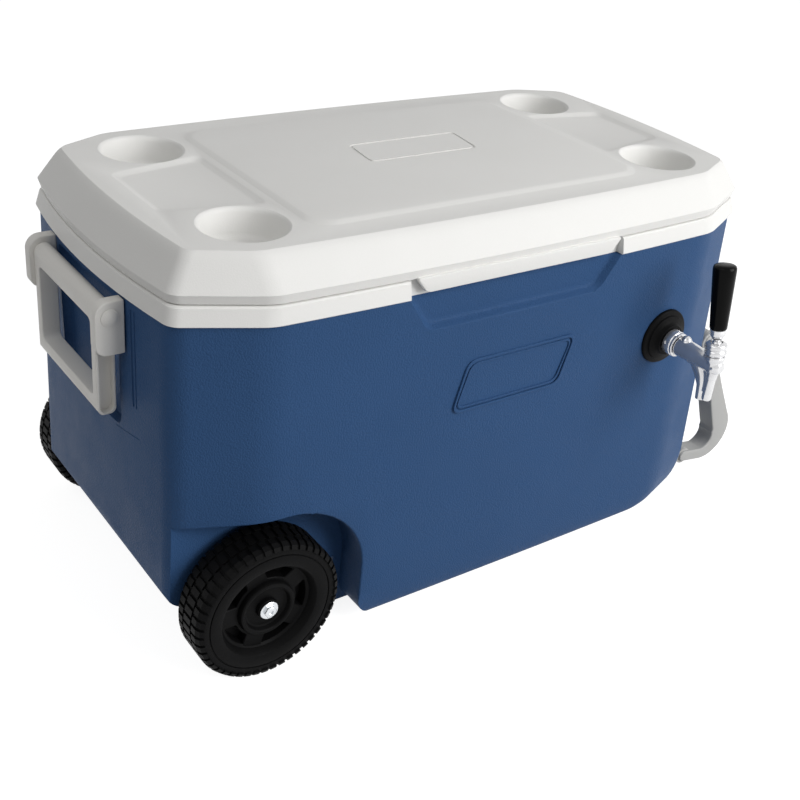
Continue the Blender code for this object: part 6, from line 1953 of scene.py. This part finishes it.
@dataclass
class BeerTap(Assembly):
    """The forged chrome tap with its black flange and handle."""

    x: float = TAP[0]
    z: float = TAP[1]
    shank_radius: float = 0.011
    thread_depth: float = 0.0007
    thread_pitch: float = 0.002
    threads: int = 22
    thread_start: float = 0.0022
    shank_short: float = 0.0012
    shank_reach: float = 0.028
    flange_thick: float = 0.013
    flange_front: Profile = ((0.0113, 0.0), (0.0178, 0.0), (0.018, -0.0004), (0.0196, -0.004),
                             (0.0204, -0.0046), (0.025, -0.0058), (0.0262, -0.0063),
                             (0.0265, -0.0072))
    flange_foot: Profile = ((0.0267, 0.005), (0.0273, 0.0045), (0.0304, 0.0043), (0.0316, 0.0038),
                            (0.0323, 0.0026), (0.0325, 0.0012), (0.0325, -0.003),
                            (0.0113, -0.003))
    collar_length: float = 0.0135
    collar_front: Profile = ((0.0113, 0.0), (0.0134, 0.0), (0.0138, -0.0005), (0.0138, -0.0021),
                             (0.0134, -0.0024), (0.0134, -0.0031), (0.0141, -0.0036),
                             (0.0144, -0.0044))
    collar_back: Profile = ((0.0144, 0.0014), (0.014, 0.0004), (0.0135, 0.0), (0.0113, 0.0))
    spanner_at: float = 0.0062
    spanner_radius: float = 0.0021
    spanner_reach: Flat = (0.013, 0.017)
    spanner_shifts: Sequence[float] = (-0.0008, 0.0, 0.0008)
    spanner_turns: Sequence[int] = (12, 102, 192, 282)
    barrel_length: float = 0.051
    barrel_root: Profile = ((0.0, 0.0), (0.0106, 0.0), (0.0112, 0.0006), (0.0112, 0.006),
                            (0.0108, 0.02), (0.01, 0.038))
    barrel_end: Profile = ((0.0094, 0.0), (0.0086, 0.005), (0.0068, 0.0085), (0.0, 0.0096))
    stud_at: Point = (0.0, -0.0075, 0.0091)
    stud_radius: float = 0.0063
    housing: Profile = ((0.0, 0.0), (0.0108, 0.0), (0.0112, -0.0006), (0.0112, -0.003),
                        (0.0106, -0.0042), (0.0098, -0.006))
    housing_foot: Profile = ((0.0093, 0.0), (0.0088, -0.006), (0.0, -0.0066))
    boss_front: Profile = ((0.0, 0.0), (0.0046, 0.0), (0.0058, -0.0006), (0.0064, -0.0018),
                           (0.0065, -0.005))
    boss_back: Profile = ((0.007, 0.004), (0.008, 0.0), (0.0, -0.002))
    web_half: float = 0.0046
    web_ease: float = 0.003
    web: Profile = ((0.036, -0.006), (0.029, -0.011), (0.022, -0.019), (0.016, -0.027),
                    (0.012, -0.035), (0.009, -0.038), (-0.001, -0.033), (-0.004, -0.02),
                    (-0.004, -0.002), (0.03, 0.0))
    root_radii: Flat = (0.0072, 0.0058)
    root_length: float = 0.016
    nozzle_length: float = 0.042
    nozzle: Profile = ((0.0, 0.008), (0.0039, 0.008), (0.0039, 0.0004), (0.0043, 0.0),
                       (0.0048, 0.0), (0.0051, 0.0004), (0.0054, 0.003), (0.0054, 0.027),
                       (0.0054, 0.042), (0.0, 0.042))
    spout_low: float = 0.045
    spout_back: float = 0.03
    spout_out: float = 0.0086
    spout_start: float = 0.002
    spout_turn: float = 0.03
    spout_lean: float = 0.0002
    spout_bend: int = 24
    spout_straight: int = 6
    spout_shrink: float = 1.6
    spout_radii: Flat = (0.0056, 0.0046)
    mouth_radius: float = 0.004
    mouth_out: float = 0.0074
    mouth_deep: float = 0.01
    voxel: float = 0.00042
    smoothing: int = 14
    lean: float = 9.0
    bonnet_low: float = 0.0116
    bonnet_height: float = 0.0154
    bonnet_top: Profile = ((0.0069, 0.0), (0.0084, 0.0), (0.0094, -0.0004), (0.0103, -0.0014))
    bonnet_rings: Flat = (0.0012, 0.008)
    bonnet_bore: float = 0.0069
    ring_drop: float = 0.0032
    ring_radius: float = 0.0104
    ring_bulge: Flat = (0.0016, 0.003)
    bonnet_foot: Profile = ((0.0104, 0.0008), (0.01, 0.0), (0.0084, 0.0))
    front: float = 0.2778
    ball_radius: float = 0.0066
    ball_drop: float = 0.004
    ball_turn: Flat = (-66.0, 54.0)
    lever_tip: Profile = ((0.0, 0.0006), (0.0015, 0.0007), (0.002, 0.0014))
    lever_rod: Flat = (0.002, 0.0062)
    lever_neck: Flat = (0.0034, 0.006)
    lever_waist: Flat = (0.0033, 0.002)
    ferrule_gap: float = 0.0034
    ferrule_length: float = 0.0112
    ferrule: Profile = ((0.0037, 0.0112), (0.008, 0.0112), (0.0086, 0.0106), (0.0086, 0.0066),
                        (0.0083, 0.0054), (0.007, 0.003), (0.0056, 0.0008), (0.005, 0.0),
                        (0.0037, 0.0))
    handle_length: float = 0.0715
    handle_top: Profile = ((0.0, 0.0), (0.007, -0.0002), (0.01, -0.0008), (0.0116, -0.0018),
                           (0.0124, -0.0036), (0.0126, -0.006))
    handle_shares: Profile = ((0.0116, 0.62), (0.0104, 0.28))
    handle_foot: Profile = ((0.0096, 0.006), (0.0094, 0.0014), (0.0088, 0.0003), (0.008, 0.0),
                            (0.0037, 0.0), (0.0037, 0.0115), (0.0, 0.0115))

    def build(self) -> None:
        """Make each piece from the wall forwards."""
        self.wall = -FORM.front_wall(self.x, self.z)
        self.start = self.wall + self.flange_thick + 2 * GAP + self.collar_length
        self.base = Vector((self.x, -(self.start + self.barrel_length), self.z))
        lean = math.radians(self.lean)
        self.along = Vector((0.0, math.sin(lean), math.cos(lean)))
        self.leaning = Vector((0, 0, 1)).rotation_difference(self.along).to_matrix()
        self._flange()
        self._coupling()
        self._faucet()
        self._bonnet()
        self._lever()
        self._handle()
        self._inside()

    def _out(self, name: str, profile: Profile, steps: int = 96) -> Obj:
        """Turn a profile on the tap's axis, with heights counted forwards from the middle."""
        return Bench.turned(name, profile, (self.x, 0.0, self.z), Towards.FRONT.value, steps)

    def _up(self, name: str, profile: Profile, height: float, steps: int = 96) -> Obj:
        """Turn a profile on the lever's leaning axis, from a height above the faucet's middle."""
        place = self.base + self.along * height
        return Bench.turned(name, profile, place, self.leaning, steps)

    def _flange(self) -> None:
        """The stepped black flange against the wall."""
        profile = raised(self.flange_front, self.wall + self.flange_thick)
        flange = self._out("flange", profile + raised(self.flange_foot, self.wall), 120)
        Bench.cut(flange, seat())
        self.place(flange, "tap_black_flange", self.finishes.black, Body.COOLER, "tap_flange",
                   angle=40.0)

    def _coupling(self) -> None:
        """The round coupling nut with its spanner holes and a lip at its front."""
        near = self.wall + self.flange_thick + GAP
        end = near + self.collar_length
        nut = self._out("coupling", raised(self.collar_front, end) + raised(self.collar_back, near), 120)
        inner, outer = self.spanner_reach
        middle = Vector((self.x, -(near + self.spanner_at), self.z))
        for turn in self.spanner_turns:
            angle = math.radians(turn)
            away = Vector((math.sin(angle), 0.0, math.cos(angle)))
            for shift in self.spanner_shifts:
                along = Vector((0, shift, 0))
                Bench.cut(nut, Bench.rod("spanner_hole", self.spanner_radius,
                                         middle + away * inner + along,
                                         middle + away * outer + along, steps=32))
        self.place(nut, "tap_coupling", self.finishes.chrome, Body.COOLER, "coupling_nut", angle=30.0)
        top = end - self.shank_short
        shank = [(0.0, top), (self.shank_radius, top)]
        for k in range(self.threads):
            height = end - self.thread_start - k * self.thread_pitch
            shank += [(self.shank_radius, height), (self.shank_radius - self.thread_depth,
                                                    height - self.thread_pitch / 2)]
        stop = FORM.mouth_half_depth - FORM.tub_taper - self.shank_reach
        shank += [(self.shank_radius, stop), (0.0, stop)]
        self.place(self._out("shank", shank, 48), "tap_threaded_shank", self.finishes.steel,
                   Body.COOLER, "tap_shank", angle=25.0)

    def _faucet(self) -> None:
        """The forged body: barrel, lug, spout with its web, nozzle, boss and housing in one."""
        profile = raised(self.barrel_root, self.start) + raised(self.barrel_end,
                                                                self.start + self.barrel_length)
        barrel = self._out("faucet", profile, 64)
        Bench.join(barrel, self._lug(), self._housing(), self._boss(), self._web(), self._spout(),
                   self._nozzle_root())
        Bench.apply(barrel, "REMESH", mode="VOXEL", voxel_size=self.voxel)
        Bench.apply(barrel, "SMOOTH", factor=0.5, iterations=self.smoothing)
        Bench.join(barrel, self._nozzle())
        Bench.cut(barrel, self._spout_mouth())
        self.place(barrel, "tap_forging", self.finishes.chrome, Body.COOLER, "faucet_body", angle=38.0)

    def _lug(self) -> Obj:
        """The round lug on top of the barrel.

        Returns:
            The new object.
        """
        middle = Vector((self.x, -self.start, self.z)) + Vector(self.stud_at)
        bpy.ops.object.select_all(action="DESELECT")
        bpy.ops.mesh.primitive_uv_sphere_add(segments=48, ring_count=24, radius=self.stud_radius,
                                             location=middle)
        bpy.ops.object.transform_apply(location=True, rotation=True, scale=True)
        return bpy.context.object

    def _housing(self) -> Obj:
        """The upright housing under the bonnet, flared into its seat ring."""
        return self._up("housing", [*raised(self.housing, self.bonnet_low), *self.housing_foot], 0.0, 64)

    def _boss(self) -> Obj:
        """The short round boss at the front, with a rounded end."""
        return self._out("boss", raised(self.boss_front, self.front)
                         + raised(self.boss_back, -self.base.y), 48)

    def _spout(self) -> Obj:
        """The rear spout: out of the barrel, down, and narrower towards its tip.

        Returns:
            The new object.
        """
        back, end_y = self.base.y + self.spout_back, self.base.y + self.spout_out
        knee, low = self.z - self.spout_start - self.spout_turn, self.z - self.spout_low
        line = []
        for k in range(self.spout_bend + 1):
            angle = math.radians(90) * k / self.spout_bend
            line.append((self.x, back + (end_y - back) * math.sin(angle),
                         self.z - self.spout_start - self.spout_turn * (1 - math.cos(angle))))
        line += [(self.x, end_y - self.spout_lean * k, knee - (knee - low) * k / self.spout_straight)
                 for k in range(1, self.spout_straight + 1)]
        last = len(line) - 1
        thin, more = self.spout_radii
        radii = [thin + more * (1 - k / last) ** self.spout_shrink for k in range(len(line))]
        return Bench.tube("spout", line, radii, 8)

    def _web(self) -> Obj:
        """The web that fills the angle between barrel, spout and nozzle.

        Returns:
            The new object.
        """
        outline = [(self.base.y + out, self.z + rise) for out, rise in self.web]
        web = Bench.plate("web", outline, self.x - self.web_half, self.x + self.web_half, "X")
        Bench.ease(web, self.web_ease, 4, 50.0)
        return web

    def _nozzle_root(self) -> Obj:
        """The thickening where the nozzle leaves the body.

        Returns:
            The new object.
        """
        y, (wide, narrow) = self.base.y - GAP, self.root_radii
        return Bench.rod("nozzle_root", wide, (self.x, y, self.z), (self.x, y, self.z - self.root_length),
                         narrow)

    def _nozzle(self) -> Obj:
        """The bright downward nozzle in front of the spout, open below."""
        place = (self.x, self.base.y - GAP, self.z - self.nozzle_length)
        return Bench.turned("nozzle", self.nozzle, place, Towards.UP.value, 64)

    def _spout_mouth(self) -> Obj:
        """The open end of the rear spout.

        Returns:
            The new object.
        """
        low, end_y = self.z - self.spout_low, self.base.y + self.mouth_out
        return Bench.rod("spout_mouth", self.mouth_radius, (self.x, end_y, low - self.mouth_deep),
                         (self.x, end_y, low + self.mouth_deep))

    def _bonnet(self) -> None:
        """The bonnet: two rounded rings with a groove between them, open for the lever's ball."""
        high, (out, rise) = self.bonnet_height, self.ring_bulge
        profile = raised(self.bonnet_top, high)
        for top in self.bonnet_rings:
            middle = high - top - self.ring_drop
            for angle in map(math.radians, range(75, -76, -15)):
                profile.append((self.ring_radius + out * math.cos(angle),
                                middle + rise * math.sin(angle)))
        profile += [*self.bonnet_foot, (self.bonnet_bore, high / 2)]
        bonnet = self._up("bonnet", profile, self.bonnet_low + GAP)
        self.place(bonnet, "tap_bonnet", self.finishes.chrome, Body.COOLER, "faucet_bonnet", angle=40.0)

    def _rise(self) -> float:
        """How high the bonnet's top is above the faucet's middle, along the lever."""
        return self.bonnet_low + GAP + self.bonnet_height

    def _lever(self) -> None:
        """The lever with its ball and tip, and the ferrule that the handle screws onto."""
        top, radius = self._rise(), self.ball_radius
        ball = top - self.ball_drop
        stud = top + self.ferrule_gap + self.ferrule_length + GAP + self.ferrule_length
        (thin, under), (neck, over), (waist, rise) = self.lever_rod, self.lever_neck, self.lever_waist
        profile = [*self.lever_tip, (thin, ball - under)]
        profile += arc((0.0, ball), radius, *self.ball_turn, 20)
        profile += [(neck, ball + over), (waist, top + rise), (neck, stud), (0.0, stud)]
        lever = self._up("lever", profile, 0.0, 64)
        self.place(lever, "tap_lever", self.finishes.chrome, Body.LEVER, "faucet_lever", angle=40.0)
        ferrule = self._up("ferrule", self.ferrule, top + self.ferrule_gap)
        self.place(ferrule, "tap_ferrule", self.finishes.chrome, Body.LEVER, "lever_ferrule",
                   angle=35.0)

    def _handle(self) -> None:
        """The tapered black handle with a softly domed top."""
        long = self.handle_length
        profile = raised(self.handle_top, long)
        profile += [(radius, long * share) for radius, share in self.handle_shares]
        handle = self._up("handle", [*profile, *self.handle_foot],
                          self._rise() + self.ferrule_gap + self.ferrule_length + GAP)
        self.place(handle, "tap_black_handle", self.finishes.gloss, Body.LEVER, "tap_handle", angle=35.0)

    def _inside(self) -> None:
        """Dress what sits behind the wall and inside the body of the tap."""
        for node in ("tap_lock_nut", "tap_tail_nut"):
            self.eased(node, self.finishes.steel, Body.COOLER, 0.0006)
        self.eased("tap_inner_washer", self.finishes.black, Body.COOLER, 0.0006,
                   name="eased_tap_washer")
        self.dress_node("faucet_plunger", self.finishes.steel)
        self.dress_node("seat_washer", self.finishes.rubber)


@dataclass
class FarEnd(Assembly):
    """The beer inlet and the drain at the far end, and the feet below it."""

    flange_thick: float = 0.006
    flange_front: Profile = ((0.0113, 0.0), (0.0174, 0.0), (0.0184, -0.0004), (0.0232, -0.0026),
                             (0.024, -0.0036))
    flange_foot: Profile = ((0.024, -0.006), (0.0113, -0.006))
    shank_out: float = 0.028
    shank_in: float = 0.028
    barb: Profile = ((0.006, -0.004), (0.006, -0.0044), (0.0046, -0.0045))
    barb_pitch: float = 0.0042
    barbs: int = 3
    shank_tip: Profile = ((0.0, 0.0), (0.0036, 0.0), (0.0042, -0.0004))
    wall_drop: float = 0.022
    collar: Profile = ((0.0046, 0.0064), (0.0104, 0.0062), (0.011, 0.0056))

    def build(self) -> None:
        """Dress each fitting."""
        self._inlet()
        self._drain()
        for _, label in SIDES:
            self.eased(f"foot_{label}", self.finishes.rubber, Body.COOLER, 0.0012, 4,
                       f"rubber_foot_{label}", 40.0)

    def _inlet(self) -> None:
        """The flange, the shank with its hose barb, the washer and the nuts."""
        wall = FORM.far_wall(*INLET)
        front, place = wall + self.flange_thick, (0.0, *INLET)
        profile = raised(self.flange_front, front) + raised(self.flange_foot, wall)
        flange = Bench.turned("flange", profile, place, Towards.RIGHT.value, 96)
        Bench.cut(flange, seat())
        self.place(flange, "inlet_black_flange", self.finishes.black, Body.COOLER, "inlet_flange",
                   angle=40.0)
        inside = FORM.mouth(INLET[1] - self.wall_drop).right - FORM.end_bow / 2 - self.shank_in
        end = wall + self.shank_out
        shank = raised(self.shank_tip, end)
        for k in range(self.barbs):
            shank += [(radius, end + rise - self.barb_pitch * k) for radius, rise in self.barb]
        shank += [*raised(self.collar, front), (self.collar[-1][0], inside), (0.0, inside)]
        self.place(Bench.turned("shank", shank, place, Towards.RIGHT.value, 48), "inlet_barbed_shank",
                   self.finishes.steel, Body.COOLER, "inlet_shank", angle=30.0)
        for node, shader in (("inlet_lock_nut", self.finishes.steel),
                             ("inlet_tail_nut", self.finishes.steel),
                             ("inlet_inner_washer", self.finishes.black)):
            self.eased(node, shader, Body.COOLER, 0.0006)

    def _drain(self) -> None:
        """The spout, the cap with its grip ribs, the gasket and the nut."""
        for node, body, width in (("drain_spout", Body.COOLER, 0.0006),
                                  ("drain_nut", Body.COOLER, 0.0006), ("drain_cap", Body.CAP, 0.0004)):
            self.eased(node, self.finishes.white, body, width)
        self.dress_node("drain_gasket", self.finishes.rubber)


@dataclass
class CoolingCoil(Assembly):
    """The stainless coil in the ice space, one tube from the inlet to the tap."""

    first: Point = (0.26385, 0.06, 0.3)
    last: Point = (0.2323, -0.0979, 0.2645)
    centre_x: float = 0.14
    radius: float = 0.085
    tube: float = 0.00475
    pitch: float = 0.0125
    turns: int = 9
    steps: int = 48
    knee: Place = (0.23885, 0.095, 0.17)
    knee_out: float = 0.025
    drop_share: float = 0.8
    reach: float = 0.045

    def build(self) -> None:
        """Lead the tube in, round the coil and up to the tap."""
        first, last = Vector(self.first), Vector(self.last)
        low = FORM.floor + GAP + self.tube
        straight = Vector((2 * self.tube, 0.0, 0.0))
        knee, foot = Vector(self.knee), Vector((self.centre_x + self.radius, 0.0, low))
        drop = Vector((0.0, 0.0, (knee.z - low) * self.drop_share))
        turned = first - straight
        points = [first, turned]
        points += self._curve(turned, turned - Vector((self.knee_out, 0, 0)), knee + drop, knee)
        points += self._curve(knee, knee - drop, foot + Vector((0, knee.y, 0)), foot)
        for k in range(1, self.turns * self.steps + 1):
            angle = -TURN * k / self.steps
            points.append(Vector((self.centre_x + self.radius * math.cos(angle),
                                  self.radius * math.sin(angle), low + self.pitch * k / self.steps)))
        before, pull = last + Vector((0, straight.x, 0)), Vector((0, self.reach, 0))
        points += self._curve(points[-1], points[-1] - pull, before + pull, before)
        points.append(last)
        coil = Bench.tube("coil", points, self.tube, 4)
        self.place(coil, "wound_coil", self.finishes.steel, Body.COOLER, "cooling_coil", angle=50.0)

    @staticmethod
    def _curve(start: Vector, leave: Vector, arrive: Vector, end: Vector) -> list[Vector]:
        """Points on a cubic curve, without its first one.

        Args:
            start: where it starts.
            leave: the handle of its start.
            arrive: the handle of its end.
            end: where it ends.

        Returns:
            The points.
        """
        made = []
        for k in range(1, 21):
            t = k / 20
            made.append(start * (1 - t) ** 3 + 3 * leave * t * (1 - t) ** 2
                        + 3 * arrive * t ** 2 * (1 - t) + end * t ** 3)
        return made


@dataclass
class Insulation(Assembly):
    """The rigid foam between the skins of the body and inside the lid."""

    def build(self) -> None:
        """Fill the room between the skins, a gap away from them."""
        inset = FORM.skin + GAP
        foam = FORM.body_solid("foam", -inset, FORM.rim_low - 2 * GAP)
        Bench.cut(foam, *BlueShell(self.finishes).recesses(inset),
                  WhiteLiner(self.finishes).tub("room", inset), *bores())
        self.place(foam, "body_insulation", self.finishes.foam, Body.COOLER, "body_foam")
        inset, low = FORM.lid_skin + GAP, FORM.seam + FORM.skin + 3 * GAP
        foam = FORM.lid_solid("lid_filling", -inset, low, FORM.top - inset)
        Bench.cut(foam, *WhiteLid(self.finishes).cup_rooms(inset, GAP))
        self.place(foam, "lid_insulation", self.finishes.foam, Body.LID, "lid_foam")


@dataclass
class Studio:
    """Camera, soft lights and a pale floor that fades into white."""

    azimuth: float = -38.27
    elevation: float = 29.95
    roll: float = 6.21
    pixels: float = 1179.0
    picture: float = 800.0
    sensor: float = 36.0
    clip: float = 0.05
    aim_x: float = 0.0063
    aim_y: float = -0.0715
    distance: float = 1.356
    half_height: float = 0.22225
    soft_world: float = 0.25
    lamp_aim: float = 0.22
    lamp_size: float = 2.0
    lamp_distance: float = 3.0
    lamps: Sequence[tuple[str, Point, float]] = (("key", (0.42, -0.76, 0.45), 78.0),
                                                 ("fill", (-0.74, -0.1, 0.7), 13.0))
    floor_size: float = 40.0
    floor_grey: float = 0.45
    floor_glow: float = 0.88

    def build(self) -> None:
        """Set the camera, the world, the lights and the floor."""
        self._camera()
        self._world()
        for name, direction, power in self.lamps:
            self._lamp(name, direction, power)
        self._floor()
        bpy.context.scene.view_settings.view_transform = "Standard"

    def _camera(self) -> None:
        """The calibrated camera."""
        a, e, r = (math.radians(v) for v in (self.azimuth, self.elevation, self.roll))
        back = Vector((math.sin(a) * math.cos(e), -math.cos(a) * math.cos(e), math.sin(e)))
        right = Vector((math.cos(a), math.sin(a), 0.0))
        up = back.cross(right)
        across = right * math.cos(r) + up * math.sin(r)
        upward = up * math.cos(r) - right * math.sin(r)
        target = Vector((0.0, 0.0, self.half_height)) + across * self.aim_x + upward * self.aim_y
        data = bpy.data.cameras.new("camera")
        data.sensor_width = self.sensor
        data.lens = self.pixels * data.sensor_width / self.picture
        data.clip_start = self.clip
        camera = bpy.data.objects.new("camera", data)
        matrix = Matrix((across, upward, back)).transposed().to_4x4()
        matrix.translation = target + back * self.distance + FRAME_SHIFT
        camera.matrix_world = matrix
        bpy.context.scene.collection.objects.link(camera)
        bpy.context.scene.camera = camera

    @staticmethod
    def _node(tree: bpy.types.NodeTree, kind: str, *links: bpy.types.NodeSocket | None,
              **values: object) -> bpy.types.Node:
        """Add a node, with values for its named inputs and links to its first ones, None for no link.

        Args:
            tree: the node tree.
            kind: the node's type.
            links: what feeds its first inputs, None for no link.
            values: values of its named inputs.

        Returns:
            The new node.
        """
        made = tree.nodes.new(kind)
        for key, value in values.items():
            made.inputs[key].default_value = value
        for socket, source in zip(made.inputs, links):
            if source:
                tree.links.new(source, socket)
        return made

    def _direct(self, tree: bpy.types.NodeTree) -> bpy.types.NodeSocket:
        """A socket that is 1 for rays that come straight or by reflection from the camera.

        Args:
            tree: the node tree.

        Returns:
            The output socket.
        """
        path = tree.nodes.new("ShaderNodeLightPath")
        total = path.outputs["Is Camera Ray"]
        for name in ("Is Glossy Ray", "Is Transmission Ray"):
            top = self._node(tree, "ShaderNodeMath", total, path.outputs[name])
            top.operation = "MAXIMUM"
            total = top.outputs[0]
        return total

    def _world(self) -> None:
        """White to the eye, softer as a light."""
        world = bpy.data.worlds.new("studio")
        bpy.context.scene.world = world
        world.use_nodes = True
        tree = world.node_tree
        tree.nodes.clear()
        soft, white = (self._node(tree, "ShaderNodeBackground", Color=(1.0, 1.0, 1.0, 1.0),
                                  Strength=strength) for strength in (self.soft_world, 1.0))
        mix = self._node(tree, "ShaderNodeMixShader", self._direct(tree), soft.outputs[0],
                         white.outputs[0])
        self._node(tree, "ShaderNodeOutputWorld", mix.outputs[0])

    def _lamp(self, name: str, direction: Place, power: float) -> None:
        """A square area light that looks at the cooler's middle.

        Args:
            name: the lamp's name.
            direction: the way to it from the cooler.
            power: its power in watts.
        """
        data = bpy.data.lights.new(name, "AREA")
        data.shape = "SQUARE"
        data.size = self.lamp_size
        data.energy = power
        lamp = bpy.data.objects.new(name, data)
        away = Vector(direction).normalized()
        lamp.location = Vector((0.0, 0.0, self.lamp_aim)) + FRAME_SHIFT + away * self.lamp_distance
        lamp.rotation_euler = away.to_track_quat("Z", "Y").to_euler()
        bpy.context.scene.collection.objects.link(lamp)

    def _floor(self) -> Obj:
        """A plain pale floor that keeps the shadow and fades into white.

        Returns:
            The floor's object.
        """
        bpy.ops.object.select_all(action="DESELECT")
        bpy.ops.mesh.primitive_plane_add(size=self.floor_size, location=(0, 0, -GAP))
        floor = bpy.context.object
        floor.name = "floor"
        made = bpy.data.materials.new("floor")
        made.use_nodes = True
        tree = made.node_tree
        tree.nodes.clear()
        diffuse = self._node(tree, "ShaderNodeBsdfDiffuse", Color=(*[self.floor_grey] * 3, 1.0))
        lift = self._node(tree, "ShaderNodeMath", self._direct(tree))
        lift.operation = "MULTIPLY"
        lift.inputs[1].default_value = self.floor_glow
        glow = self._node(tree, "ShaderNodeEmission", None, lift.outputs[0])
        total = self._node(tree, "ShaderNodeAddShader", diffuse.outputs[0], glow.outputs[0])
        self._node(tree, "ShaderNodeOutputMaterial", total.outputs[0])
        floor.data.materials.append(made)
        return floor


def main() -> None:
    """Build every sub-assembly and set the studio."""
    logging.basicConfig(level=logging.INFO, format="%(name)s: %(message)s")
    finishes = Finishes()
    for assembly in (BlueShell, WhiteLiner, WhiteLid, HingeSet, Bail, TowHandle, Wheels, BeerTap,
                     FarEnd, CoolingCoil, Insulation):
        assembly(finishes).build()
    Studio().build()


if __name__ == "__main__":
    main()
